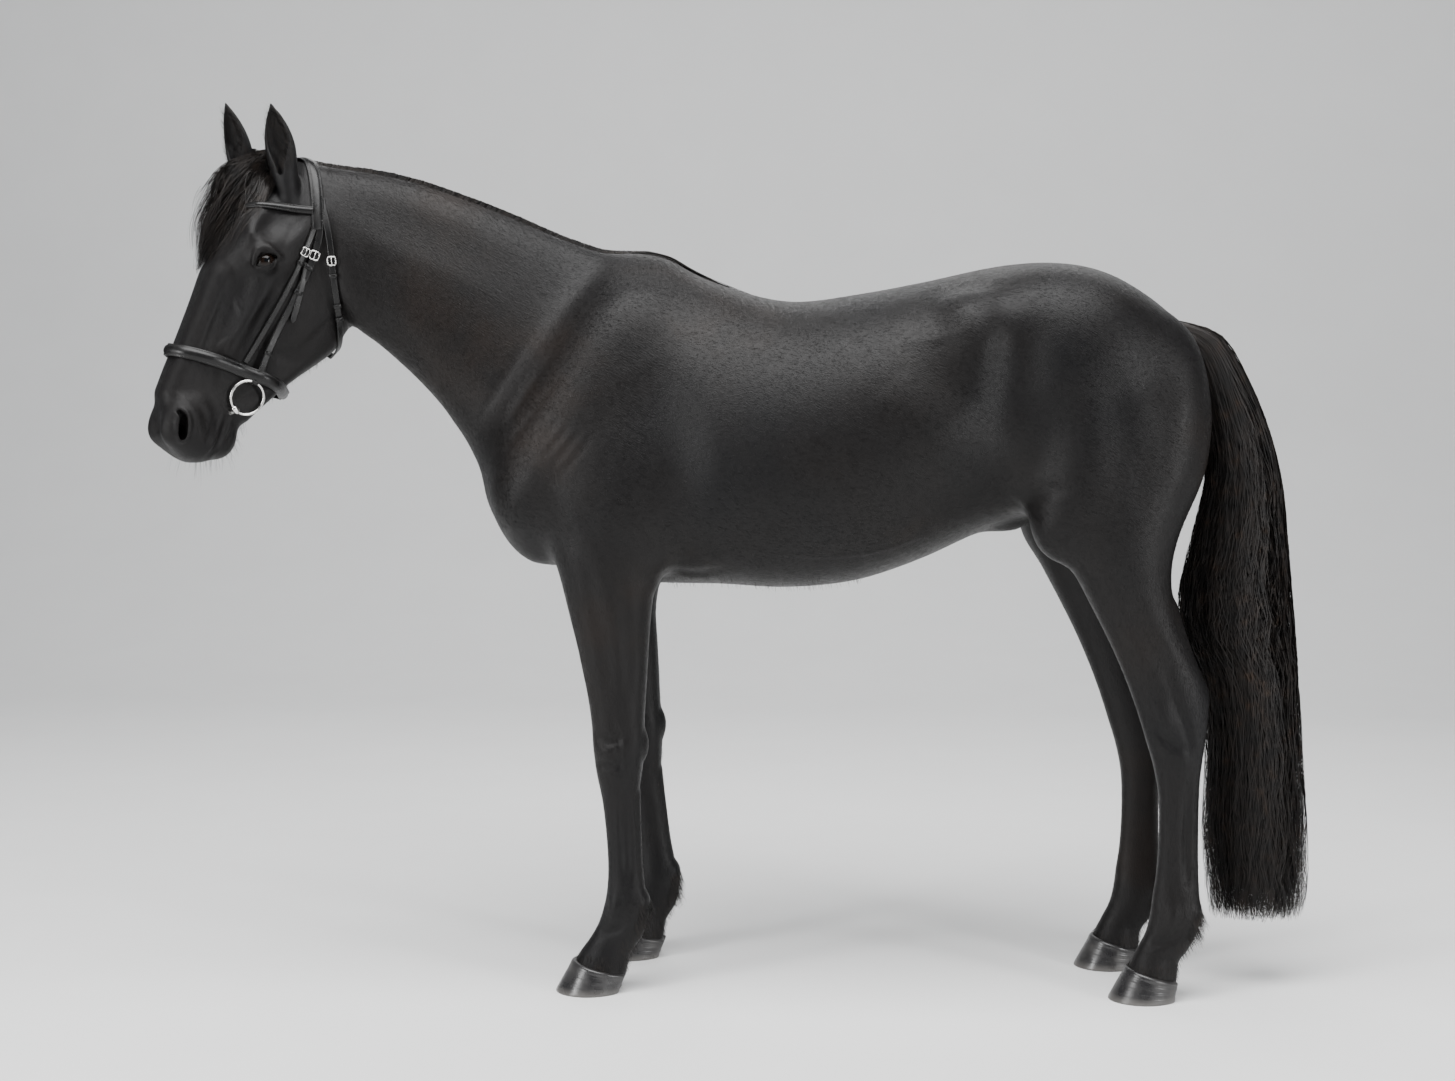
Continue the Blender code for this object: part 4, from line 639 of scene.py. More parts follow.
FACE_LINES = [  # places in the head's (u, v) on each side of the face
    ([(0.272, -0.020), (0.315, -0.012), (0.365, -0.004), (0.430, 0.004)], 0.013, 0.0036),
    ([(0.290, -0.040), (0.340, -0.034), (0.400, -0.030)], 0.018, -0.0030),
    ([(0.280, 0.066), (0.350, 0.062), (0.420, 0.061), (0.510, 0.064)], 0.011, 0.0026),
    ([(0.290, 0.024), (0.350, 0.030), (0.420, 0.030), (0.480, 0.026)], 0.024, -0.0030),
    (
        [
            (0.282, 0.046), (0.305, 0.036), (0.330, 0.030), (0.352, 0.014), (0.380, -0.002), (0.398, -0.008),
            (0.414, 0.010),
        ],
        0.0085, 0.0004,
    ),
    ([(0.398, -0.008), (0.425, -0.022), (0.440, -0.034), (0.466, -0.038)], 0.0085, 0.0004),
    ([(0.414, 0.010), (0.440, 0.024), (0.470, 0.024), (0.510, 0.038)], 0.0085, 0.0004),
    ([(0.375, -0.045), (0.396, -0.090), (0.392, -0.130), (0.370, -0.160)], 0.020, -0.0048),
    ([(0.210, -0.020), (0.165, -0.032), (0.115, -0.044)], 0.015, 0.0038),
    ([(0.200, 0.045), (0.170, 0.030), (0.140, 0.020), (0.112, 0.020)], 0.022, -0.0055),
    ([(0.222, 0.060), (0.200, 0.064), (0.172, 0.062)], 0.012, 0.0030),
    ([(0.105, -0.100), (0.135, -0.150), (0.175, -0.190), (0.220, -0.215)], 0.020, -0.0042),
    ([(0.290, -0.170), (0.350, -0.150), (0.420, -0.115)], 0.014, -0.0020),
    ([(0.552, -0.048), (0.585, -0.052), (0.620, -0.050), (0.650, -0.044), (0.668, -0.038)], 0.0056, -0.0034),
    ([(0.560, -0.038), (0.595, -0.040), (0.630, -0.037), (0.655, -0.030)], 0.008, 0.0020),
    ([(0.560, -0.060), (0.595, -0.063), (0.630, -0.061)], 0.007, 0.0018),
    ([(0.541, -0.026), (0.550, -0.040), (0.551, -0.056), (0.545, -0.070)], 0.0050, -0.0017),
    ([(0.530, -0.030), (0.538, -0.044), (0.538, -0.060)], 0.0050, -0.0014),
    ([(0.520, -0.034), (0.527, -0.048), (0.526, -0.060)], 0.0048, -0.0011),
    ([(0.575, -0.082), (0.600, -0.074), (0.630, -0.068)], 0.0090, -0.0024),
    ([(0.552, 0.056), (0.568, 0.026), (0.582, 0.002), (0.610, -0.012)], 0.012, -0.0036),
    ([(0.575, -0.018), (0.610, -0.022), (0.640, -0.020)], 0.008, -0.0014),
    ([(0.470, 0.020), (0.505, 0.012), (0.545, 0.010)], 0.015, -0.0022),
]


def lines_met(flesh, lines, start_of, way):
    """Where the places of some lines meet the skin, and the ways out of it there."""
    starts = np.array([start_of(a, b) for places, *_ in lines for a, b in places])
    met = flesh.meet(starts, np.repeat([way], len(starts), 0), 0.42, 160)
    outwards = flesh.slope(met)
    outwards /= np.maximum(np.linalg.norm(outwards, axis=1, keepdims=True), 1e-9)
    ends = np.cumsum([0] + [len(places) for places, *_ in lines])
    return [(met[a:b], outwards[a:b]) for a, b in zip(ends[:-1], ends[1:])]


def face_lines(flesh, side):
    """Cords that raise ridges and cut furrows on one side of the face, fading out at their ends."""
    y = SIDES[side]
    laid = lines_met(flesh, FACE_LINES, lambda u, v: from_head([(u, v, -0.16 * y)])[0], HEAD[:, 2] * y)
    parts = []
    for (met, outwards), (places, half_width, height) in zip(laid, FACE_LINES):
        blend = 4 * abs(height)
        radius = half_width**2 / (2 * blend)
        fade = np.sin(np.linspace(0.2, np.pi - 0.2, len(places))) ** 0.8
        away = radius + blend * (1 - fade)
        middle = met - outwards * (np.sign(height) * away)[:, None]
        parts.append((Cord(middle, radius, 3 * len(places)), math.copysign(blend, height)))
    return parts


def body_lines(flesh, points, normals):
    """How far each point of the skin is moved out by the body's ridges and furrows."""
    moved = np.zeros(len(points))
    for side, y in SIDES.items():

        def start_of(x, z):
            path = FORE_STEP if x < 0.3 else HIND_STEP
            return (x + step_at(path[side], z), 0.42 * y, z)

        laid = lines_met(flesh, BODY_LINES, start_of, (0.0, -y, 0.0))
        for (met, _), (_, half_width, height) in zip(laid, BODY_LINES):
            far = np.linalg.norm(np.diff(met, axis=0), axis=1).sum()
            rows = spline(met, int(8 + far / (0.15 * half_width)))
            reach = half_width * (2.0 if half_width > 0.025 else 1.5)
            near = np.flatnonzero(((points > rows.min(0) - reach) & (points < rows.max(0) + reach)).all(1))
            if not len(near):
                continue
            away = np.linalg.norm(points[near][:, None] - rows[None], axis=2)
            share = away.argmin(1) / (len(rows) - 1)
            fade = np.sin(np.pi * np.clip(share, 0.04, 0.96)) ** 0.8
            shape = np.clip(1 - (away.min(1) / reach) ** 2, 0, 1) ** 2
            outside = (normals[near, 1] * y > -0.2).astype(float)
            lean = ramp(-points[near, 2], -0.80, -0.60)  # cut deeper on the lean legs
            more = 1.0 + (1.3 if height < 0 else 0.5) * lean
            moved[near] += height * shape * fade * outside * more
    return moved


def tapered(count, radius):
    """Radii along a line, thinner at its ends."""
    return radius * np.sin(np.linspace(0.22, np.pi - 0.22, count)) ** 0.7


# ---------------------------------------------------------------- eyes and lids
EYE_SIZE = 0.0236
LID = 0.0036  # thickness of the lids
GAZE = (-0.08, 0.20, 0.97)  # which way an eye faces, in the head's (u, v, w)
TO_INNER_CORNER = (0.72, 0.70, 0.0)
CORNER_FOLD = ((0.017, -0.001, 0.020), (0.024, -0.003, 0.016), (0.031, -0.006, 0.011))  # in the eye's axes
SLIT_HALF = 0.0205  # half the length of the opening between the lids
SLIT_UP, SLIT_DOWN = 0.0115, 0.0090  # how far it opens each way from the line between its corners


def eye_axes(side):
    """An eye's middle, then its axes: to its inner corner, up, and out, in the row frame."""
    turn = np.array((1.0, 1.0, -SIDES[side]))
    middle = from_head([np.array(EYE) * turn])[0]
    out = np.array(GAZE) * turn
    out /= np.linalg.norm(out)
    inner = np.array(TO_INNER_CORNER) - out * np.dot(TO_INNER_CORNER, out)
    inner /= np.linalg.norm(inner)
    up = np.cross(out, inner)
    up *= np.sign(up[1] - up[0])
    return middle, np.stack([HEAD @ inner, HEAD @ up, HEAD @ out], 1)


class Slit:
    """The almond-shaped opening between the lids, cut through from outside."""

    def __init__(self, middle, axes):
        self.middle, self.axes = middle, axes
        self.arcs = []
        for sign, rise in ((1, SLIT_UP), (-1, SLIT_DOWN)):
            radius = (SLIT_HALF**2 + rise**2) / (2 * rise)
            self.arcs.append((sign * (rise - radius), radius))

    def box(self):
        return self.middle - 0.04, self.middle + 0.04

    def distance(self, points):
        q = (points - self.middle) @ self.axes
        sides = [np.hypot(q[:, 0], q[:, 1] - up) - radius for up, radius in self.arcs]
        deep = EYE_SIZE - 0.0014 - np.linalg.norm(q, axis=1)
        return np.maximum(np.maximum(*sides), np.maximum(deep, 0.004 - q[:, 2]))


def lid_arc(middle, axes, rise, half, out, count=7, bend=0.0):
    """Places along an arc round the eye, rise above its line of corners, laid on a sphere."""
    places = []
    for t in np.linspace(-1, 1, count):
        a, b = half * t, rise * (1 - t * t) + bend * t
        depth = math.sqrt(max(out * out - a * a - b * b, 0.0))
        places.append(middle + axes @ np.array((a, b, depth)))
    return np.array(places)


def lids(side):
    """Lids over the eye, its opening and socket, and the folds round it."""
    middle, axes = eye_axes(side)
    outer = EYE_SIZE + LID
    parts = [(Ball(middle, (outer,) * 3), 0.010)]
    brow = lid_arc(middle, axes, 0.026, 0.030, outer + 0.007, bend=0.003)
    parts.append((Cord(brow, tapered(7, 0.0075)), 0.014))
    for rise, half, radius, out in (
        (0.0175, 0.0235, 0.0013, 0.0004),
        (0.0215, 0.0250, 0.0010, 0.0012),
        (-0.0150, 0.0210, 0.0012, 0.0004),
        (-0.0200, 0.0220, 0.0010, 0.0008),
    ):
        fold = lid_arc(middle, axes, rise, half, outer + out)
        parts.append((Cord(fold, tapered(7, radius), 16), -0.0030))
    corner = [middle + axes @ np.array(p) for p in CORNER_FOLD]
    parts.append((Cord(corner, (0.0034, 0.0030, 0.0012)), -0.0030))
    parts.append((Slit(middle, axes), -0.0012))
    # A thin rim along each lid's edge.
    for rise in (SLIT_UP + 0.0012, -SLIT_DOWN - 0.0012):
        rim = lid_arc(middle, axes, rise, SLIT_HALF + 0.0005, EYE_SIZE + 0.0016, 9)
        parts.append((Cord(rim, tapered(9, 0.0015), 20), 0.0014))
    return parts


NOSTRIL = (0.621, 0.040)  # the middle of its opening, in the head's (u, v)
NOSTRIL_LEAN = math.radians(-20.0)  # of its length from the face line
NOSTRIL_HALF = (0.031, 0.0125)  # half its rim's length and width


def muzzle(flesh, side):
    """The nostril's hollow, and its rim laid on the skin."""
    w = -SIDES[side]
    turn = HEAD @ np.array(Matrix.Rotation(NOSTRIL_LEAN, 3, "Z"))
    starts = []
    for angle in np.linspace(math.radians(75), math.radians(75 + 330), 12):
        a, b = NOSTRIL_HALF[0] * math.cos(angle), NOSTRIL_HALF[1] * math.sin(angle)
        u = NOSTRIL[0] + a * math.cos(NOSTRIL_LEAN) - b * math.sin(NOSTRIL_LEAN)
        v = NOSTRIL[1] + a * math.sin(NOSTRIL_LEAN) + b * math.cos(NOSTRIL_LEAN)
        starts.append(from_head([(u, v, 0.16 * w)])[0])
    ways = np.repeat([HEAD[:, 2] * -w], len(starts), 0)
    rim = flesh.meet(starts, ways, 0.16, 120) + ways * 0.0026

    def ball(u, v, out, radii, lean):
        axes = turn @ np.array(Matrix.Rotation(math.radians(lean), 3, "Z"))
        return Ball(from_head([(u, v, out * w)])[0], radii, axes)

    return [
        (Cord(rim, tapered(12, 0.0050), 30), 0.009),
        (ball(0.622, 0.039, 0.056, (0.0255, 0.0080, 0.0200), 0), -0.0040),
        (ball(0.634, 0.033, 0.040, (0.0150, 0.0090, 0.0260), 0), -0.0040),
        (ball(0.601, 0.049, 0.058, (0.0110, 0.0050, 0.0110), -35), -0.0050),
    ]


# ---------------------------------------------------------------- ears
EAR_OUTSIDE = [  # share of the length, reach in front and behind, half width
    (-0.34, 0.020, 0.022, 0.020),
    (-0.10, 0.024, 0.026, 0.026),
    (0.08, 0.024, 0.027, 0.029),
    (0.26, 0.020, 0.026, 0.0335),
    (0.46, 0.013, 0.023, 0.0345),
    (0.66, 0.008, 0.018, 0.029),
    (0.84, 0.005, 0.012, 0.0185),
    (0.95, 0.003, 0.007, 0.0090),
    (1.02, 0.002, 0.003, 0.0030),
]
EAR_INSIDE = [
    (0.10, 0.030, -0.003, 0.0050),
    (0.20, 0.036, 0.0040, 0.0085),
    (0.34, 0.040, 0.0115, 0.0165),
    (0.50, 0.036, 0.0130, 0.0240),
    (0.66, 0.032, 0.0105, 0.0215),
    (0.80, 0.030, 0.0070, 0.0150),
    (0.90, 0.026, 0.0020, 0.0070),
    (0.95, 0.020, -0.0020, 0.0030),
]
EAR_OUTWARDS = {"l": math.radians(38.0), "r": math.radians(-20.0)}  # turn of its opening


def ear_axes(side):
    """An ear's base, length, and axes: along it, towards its opening, and across."""
    base, tip = from_head(EARS[side])
    along = tip - base
    length = np.linalg.norm(along)
    along = along / length
    turn = EAR_OUTWARDS[side]
    opening = HEAD[:, 1] * math.cos(turn) - HEAD[:, 2] * (SIDES[side] * math.sin(turn))
    opening = opening - along * (opening @ along)
    opening /= np.linalg.norm(opening)
    return base, length, np.stack([along, opening, np.cross(along, opening)], 1)


def ear_shape(side):
    """An ear as a shell, hollow on the side of its opening."""
    base, length, axes = ear_axes(side)

    def stations(rows):
        return [(s * length, f, s * length, -b, half, 0.0, 2.0, 0.0) for s, f, b, half in rows]

    def own(points):
        return (points - base) @ axes

    def back(points):
        return points @ axes.T + base

    outer = Loft(stations(EAR_OUTSIDE), (0.01, 0.003), 30, own, back)
    inner = Loft(stations(EAR_INSIDE), (0.004, 0.002), 30, own, back)
    return Hollowed(outer, inner, 0.0025)


# ---------------------------------------------------------------- objects
def link(name, mesh, finish, slot, *nodes):
    """A piece in place: moved to the row frame, with its finish, and with the solids it stands for hidden.
    Its slot is not used.
    """
    mesh.materials.clear()
    mesh.materials.append(finish)
    mesh.transform(Matrix.Translation(-ORIGIN))
    obj = bpy.data.objects.new(name, mesh)
    bpy.context.collection.objects.link(obj)
    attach(obj, "root")
    if nodes:
        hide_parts(*nodes)
    return obj


def array_mesh(name, points, faces, uv=None, normals=None):
    """A mesh from arrays. Its faces all have the same number of corners."""
    mesh = bpy.data.meshes.new(name)
    count, corners = faces.shape
    mesh.vertices.add(len(points))
    mesh.vertices.foreach_set("co", np.ascontiguousarray(points, np.float32).ravel())
    mesh.loops.add(faces.size)
    mesh.loops.foreach_set("vertex_index", np.ascontiguousarray(faces, np.int32).ravel())
    mesh.polygons.add(count)
    mesh.polygons.foreach_set("loop_start", np.arange(0, faces.size, corners, dtype=np.int32))
    mesh.update(calc_edges=True)
    mesh.shade_smooth()
    if uv is not None:
        layer = mesh.uv_layers.new(name="OFBake")
        layer.uv.foreach_set("vector", np.ascontiguousarray(uv[faces.ravel()], np.float32).ravel())
    if normals is not None:
        mesh.normals_split_custom_set_from_vertices(normals.tolist())
    return mesh


def vertex_values(mesh, name):
    """A vector of each vertex: its place, "co", or its "normal"."""
    values = np.zeros(len(mesh.vertices) * 3)
    mesh.vertices.foreach_get(name, values)
    return values.reshape(-1, 3)


def lofted(rings, closed_ends=True):
    """Points and faces of a shell through rings of the same number of points."""
    count, sides = len(rings), len(rings[0])
    points = np.concatenate([np.asarray(ring, float) for ring in rings])
    faces = []
    for i in range(count - 1):
        for k in range(sides):
            m = (k + 1) % sides
            low, high = i * sides, (i + 1) * sides
            faces.append((low + k, low + m, high + m, high + k))
    if closed_ends:
        faces += [tuple(range(sides))[::-1], tuple((count - 1) * sides + k for k in range(sides))]
    return points, faces


def solid_mesh(name, points, faces):
    """A mesh from lists, its faces turned outwards."""
    mesh = bpy.data.meshes.new(name)
    mesh.from_pydata([tuple(p) for p in points], [], [tuple(int(i) for i in f) for f in faces])
    bm = bmesh.new()
    bm.from_mesh(mesh)
    bmesh.ops.recalc_face_normals(bm, faces=bm.faces)
    bm.to_mesh(mesh)
    bm.free()
    mesh.shade_smooth()
    return mesh


# ---------------------------------------------------------------- the skin
JOIN_PLANE = ((-0.855, -0.060, 1.600), (0.930, 0.360, 0.100))  # behind the jaw, ears and bridle
HEAD_BOX = ((-1.290, -0.400, 1.080), (-0.740, 0.140, 1.930))
BODY_BOX = ((-0.990, -0.400, 0.020), (1.110, 0.400, 1.840))


def skin_mesh(flesh):
    """One closed skin: a fine head and a coarser body, joined round the neck."""
    bm = bmesh.new()
    loops = []
    halves = ((BODY_BOX, SKIN_CELL, "clear_inner"), (HEAD_BOX, HEAD_CELL, "clear_outer"))
    for (low, high), cell, clear in halves:
        points, quads = flesh.surface(low, high, cell, COAT)
        part = bmesh.new()
        mesh = array_mesh("part", points, quads)
        part.from_mesh(mesh)
        geometry = part.verts[:] + part.edges[:] + part.faces[:]
        point, normal = JOIN_PLANE
        bmesh.ops.bisect_plane(
            part, geom=geometry, dist=1e-5, plane_co=point, plane_no=normal, **{clear: True}
        )
        keep_main(part)
        part.to_mesh(mesh)
        part.free()
        before = len(bm.edges)
        bm.from_mesh(mesh)
        bpy.data.meshes.remove(mesh)
        bm.edges.ensure_lookup_table()
        loops += [e for e in bm.edges[before:] if e.is_boundary and on_plane(e)]
    bmesh.ops.bridge_loops(bm, edges=loops)
    ease_join(bm)
    for share in (1.0, 0.9):
        refine(bm, share)
    bmesh.ops.recalc_face_normals(bm, faces=bm.faces)
    mesh = bpy.data.meshes.new("skin")
    bm.to_mesh(mesh)
    bm.free()
    points = vertex_values(mesh, "co")
    away = beyond_join(points)
    near = (away < 0.03) | (points[:, 2] < LEGS_BELOW + 0.01)
    points[near] = flesh.settle(points[near], COAT, 1)
    points = smoothed(mesh, points, ramp(away, 0.0, 0.08) * ramp(points[:, 2], 0.80, 1.05))
    mesh.vertices.foreach_set("co", points.ravel())
    mesh.update()
    normals = vertex_values(mesh, "normal")
    points += normals * (body_lines(flesh, points, normals) * ramp(away, -0.01, 0.02))[:, None]
    finest = near_places(points, FINE_PLACES)
    points[finest] = flesh.settle(points[finest], COAT, 2)
    mesh.vertices.foreach_set("co", points.ravel())
    mesh.update()
    mesh.shade_smooth()
    return mesh


SMOOTHINGS = 30


def smoothed(mesh, points, share):
    """Points drawn towards their neighbours' middle, each by its own share."""
    ends = np.zeros(len(mesh.edges) * 2, np.int32)
    mesh.edges.foreach_get("vertices", ends)
    a, b = ends.reshape(-1, 2).T
    count = np.bincount(a, minlength=len(points)) + np.bincount(b, minlength=len(points))
    for _ in range(SMOOTHINGS):
        middle = np.stack(
            [
                np.bincount(a, points[b, k], len(points)) + np.bincount(b, points[a, k], len(points))
                for k in range(3)
            ],
            1,
        )
        middle /= np.maximum(count, 1)[:, None]
        points = points + (middle - points) * (0.6 * share)[:, None]
    return points


LEGS_BELOW = 0.60  # the knees, hocks and what is below them are made finer
# Round the eyes and nostrils, as a middle in the head's (u, v, w) and a reach.
FINE_PLACES = ((EYE, 0.034), ((0.624, 0.034, 0.060), 0.036))  # where the skin's faces are cut smaller
BARE_PLACES = ((EYE, 0.026), ((0.626, 0.034, 0.060), 0.020))  # where no tufts grow


def near_places(points, places, share=1.0):
    """Which points lie within a share of the reach of places on both sides of the head."""
    q = to_head(points)
    near = np.zeros(len(q), bool)
    for (u, v, w), reach in places:
        away = (q[:, 0] - u) ** 2 + (q[:, 1] - v) ** 2 + (np.abs(q[:, 2]) - w) ** 2
        near |= away < (reach * share) ** 2
    return near


def refine(bm, share):
    """Cut in four the faces near the eyes and nostrils, and once those of the lower legs."""
    middles = np.array([f.calc_center_median() for f in bm.faces])
    near = near_places(middles, FINE_PLACES, share)
    if share == 1.0:
        near |= middles[:, 2] < LEGS_BELOW
    bm.faces.ensure_lookup_table()
    edges = {e for i in np.flatnonzero(near) for e in bm.faces[i].edges}
    bmesh.ops.subdivide_edges(bm, edges=list(edges), cuts=1, use_grid_fill=True)


def ease_join(bm):
    """Even out the faces where the two parts of the skin meet."""
    away = beyond_join(np.array([v.co for v in bm.verts]))
    bm.verts.ensure_lookup_table()
    near = [bm.verts[i] for i in np.flatnonzero(np.abs(away) < 0.004)]
    bmesh.ops.remove_doubles(bm, verts=near, dist=0.0016)
    away = beyond_join(np.array([v.co for v in bm.verts]))
    bm.verts.ensure_lookup_table()
    near = [bm.verts[i] for i in np.flatnonzero(np.abs(away) < 0.012)]
    every_way = {"use_axis_x": True, "use_axis_y": True, "use_axis_z": True}
    for _ in range(6):
        bmesh.ops.smooth_vert(bm, verts=near, factor=0.5, **every_way)


def on_plane(edge):
    """Whether an edge lies in the plane round the neck."""
    point, normal = (Vector(p) for p in JOIN_PLANE)
    normal.normalize()
    return all(abs((v.co - point).dot(normal)) < 1e-4 for v in edge.verts)


def keep_main(bm):
    """Keep only the largest connected part."""
    left, best = set(bm.verts), []
    while left:
        seed = left.pop()
        group, stack = [seed], [seed]
        while stack:
            for edge in stack.pop().link_edges:
                for other in edge.verts:
                    if other in left:
                        left.remove(other)
                        group.append(other)
                        stack.append(other)
        if len(group) > len(best):
            best = group
        if len(best) > len(bm.verts) / 2:
            break
    kept = set(best)
    bmesh.ops.delete(bm, geom=[v for v in bm.verts if v not in kept], context="VERTS")


class Skin:
    """The skin as triangles: nearest places for hair and straps, and places for the coat."""

    def __init__(self, mesh):
        mesh.calc_loop_triangles()
        self.points = vertex_values(mesh, "co")
        self.normals = vertex_values(mesh, "normal")
        tris = np.zeros(len(mesh.loop_triangles) * 3, np.int32)
        mesh.loop_triangles.foreach_get("vertices", tris)
        self.tris = tris.reshape(-1, 3)
        self.tree = BVHTree.FromPolygons(self.points.tolist(), self.tris.tolist())

    def near(self, points):
        """Nearest places on the skin and the normals there."""
        places, normals = [], []
        for p in np.asarray(points, float).reshape(-1, 3):
            place, normal, _, _ = self.tree.find_nearest(Vector(p))
            places.append(place)
            normals.append(normal)
        return np.array(places), np.array(normals)

    def scatter(self, rng, count, chance):
        """Random places, their normals: chance gives how thickly each triangle's middle is set."""
        a, b, c = (self.points[self.tris[:, k]] for k in range(3))
        area = np.linalg.norm(np.cross(b - a, c - a), axis=1) / 2
        weight = area * chance((a + b + c) / 3)
        chosen = rng.choice(len(area), count, p=weight / weight.sum())
        s, t = rng.random(count), rng.random(count)
        over = s + t > 1
        s[over], t[over] = 1 - s[over], 1 - t[over]
        share = np.stack([1 - s - t, s, t], 1)[:, :, None]
        corners = self.tris[chosen]
        places = (self.points[corners] * share).sum(1)
        normals = (self.normals[corners] * share).sum(1)
        return places, normals / np.linalg.norm(normals, axis=1, keepdims=True)


# ---------------------------------------------------------------- the lie of the coat
def ramp(values, low, high):
    """A smooth rise from 0 at low to 1 at high."""
    t = np.clip((values - low) / (high - low), 0, 1)
    return t * t * (3 - 2 * t)


def beyond_join(points):
    """How far each point lies behind the plane round the neck."""
    point, normal = (np.array(p) for p in JOIN_PLANE)
    return (points - point) @ (normal / np.linalg.norm(normal))


def lie(points, normals):
    """The way the coat lies: down the face, back along the body and down the legs."""
    q = to_head(points)
    face = HEAD @ np.array((1.0, -0.10, 0.0))
    cheek = HEAD @ np.array((0.75, -0.70, 0.0))
    on_cheek = ramp(-q[:, 1], 0.02, 0.12)[:, None]
    way = face + (cheek - face) * on_cheek
    neck = ramp(beyond_join(points), -0.03, 0.10)[:, None]
    way = way + (np.array((0.55, 0.0, -0.84)) - way) * neck
    trunk = ramp(points[:, 0], -0.62, -0.20)[:, None]
    way = way + (np.array((0.95, 0.0, -0.32)) - way) * trunk
    on_leg = (points[:, 0] < 0.05) | (points[:, 0] > 0.62)
    leg = (ramp(-points[:, 2], -1.02, -0.86) * on_leg)[:, None]
    way = way + (np.array((0.10, 0.0, -1.0)) - way) * leg
    way = way - normals * (way * normals).sum(1, keepdims=True)
    return way / np.maximum(np.linalg.norm(way, axis=1, keepdims=True), 1e-6)


def unwrap(points, region):
    """Places of points on an unwrap of a region of the skin: the turn round it and the way along."""
    x, y, z = points.T
    if region == "head":
        u, v, w = to_head(points).T
        return np.stack([np.arctan2(w, v + 0.07) / (2 * np.pi) + 0.5, u + 0.27], 1)
    if region == "neck":
        along = (x + 1.0) * 0.86 - (z - 1.6) * 0.5
        turn = np.arctan2(y + 0.05, z - 1.56 + 0.55 * (x + 0.6)) / (2 * np.pi) + 0.5
        return np.stack([turn, along / 1.1 + 0.1], 1)
    if region == "trunk":
        return np.stack([np.arctan2(y, z - 1.22) / (2 * np.pi) + 0.5, (x + 0.5) / 1.6], 1)
    if region == "legs":  # the fore and the hind legs side by side
        fore, hind = unwrap(points, "forelegs"), unwrap(points, "hindlegs")
        return np.where(points[:, :1] < 0.3, fore * (0.5, 1.0), hind * (0.5, 1.0) + (0.5, 0.0))
    middle = -0.22 if region == "forelegs" else 0.90
    half = np.where(y < 0, 0.0, 0.5)
    foot = FORE_FOOT_Y if region == "forelegs" else HIND_FOOT_Y
    turn = np.arctan2(np.abs(y) - foot, x - middle) / (2 * np.pi) + 0.5
    return np.stack([half + 0.5 * turn, z / 1.15], 1)


PATCH = 0.003  # size of a tuft's place on the unwrap


def root_places(points, region):
    """Where roots lie on a region's unwrap, with room left for their patches."""
    return np.clip(unwrap(points, region), 0.002, 0.995)


def patches(points, region, per_tuft):
    """A small patch of the unwrap for each tuft, at its root's place."""
    base = np.repeat(root_places(points, region), len(per_tuft), 0)
    return base + np.tile(np.asarray(per_tuft) * PATCH, (len(points), 1))


def blades(rng, places, normals, length, width, rise, region, way=None, wander=0.16):
    """Flat tufts lying along the skin: arrays of points, triangles, map and normals."""
    count = len(places)
    way = lie(places, normals) if way is None else way
    across = np.cross(way, normals)
    way = way + across * rng.normal(0, wander, (count, 1))
    way /= np.linalg.norm(way, axis=1, keepdims=True)
    across = np.cross(way, normals)
    length = (length * rng.uniform(0.7, 1.25, count))[:, None]
    width = (width * rng.uniform(0.7, 1.2, count))[:, None]
    lift = (rise * rng.uniform(0.5, 1.3, count))[:, None]
    rows = []
    for along, up, half in ((0.0, -0.35, 0.5), (0.0, -0.35, -0.5), (0.55, 0.65, 0.42), (0.55, 0.65, -0.42)):
        rows.append(places + way * length * along + normals * lift * up + across * width * half)
    rows.append(places + way * length + normals * lift)
    points = np.stack(rows, 1).reshape(-1, 3)
    faces = np.array([(0, 3, 1), (0, 2, 3), (2, 4, 3)])
    faces = (faces[None] + 5 * np.arange(count)[:, None, None]).reshape(-1, 3)
    corners = [(0.0, 0.0), (1.0, 0.0), (0.1, 0.5), (0.9, 0.5), (0.5, 1.0)]
    uv = patches(places, region, corners)
    tilt = np.repeat(normals - way * 0.06 + rng.normal(0, 0.05, (count, 3)), 5, 0)
    tilt /= np.linalg.norm(tilt, axis=1, keepdims=True)
    return points, faces, uv, tilt


# ---------------------------------------------------------------- long hair
SOFTNESS = 0.55  # how far a strand is shaded like the whole lock


def ribbons(rng, paths, widths, facing, roll=0.7):
    """Ribbons along paths of (strand, place, 3): arrays of points and quads."""
    count, steps, _ = paths.shape
    ahead = np.gradient(paths, axis=1)
    ahead /= np.maximum(np.linalg.norm(ahead, axis=2, keepdims=True), 1e-9)
    side = np.cross(ahead, facing)
    side /= np.maximum(np.linalg.norm(side, axis=2, keepdims=True), 1e-9)
    up = np.cross(side, ahead)
    turn = rng.normal(0, roll, (count, 1, 1))
    side = side * np.cos(turn) + up * np.sin(turn)
    half = side * widths[:, :, None] / 2
    points = np.stack([paths - half, paths + half], 2).reshape(-1, 3)
    soft = np.cross(side, ahead)
    soft *= np.sign((soft * facing).sum(2, keepdims=True) + 1e-9)
    soft = soft * (1 - SOFTNESS) + facing * SOFTNESS
    soft = np.repeat((soft / np.linalg.norm(soft, axis=2, keepdims=True)).reshape(-1, 3), 2, 0)
    start = (2 * steps * np.arange(count))[:, None, None] + 2 * np.arange(steps - 1)[None, :, None]
    faces = (start + np.array((0, 1, 3, 2))).reshape(-1, 4)
    corners = points[faces]
    out = np.cross(corners[:, 1] - corners[:, 0], corners[:, 3] - corners[:, 0])
    turned_in = (out * soft[faces[:, 0]]).sum(1) < 0
    faces[turned_in] = faces[turned_in][:, ::-1]
    return points, faces, soft


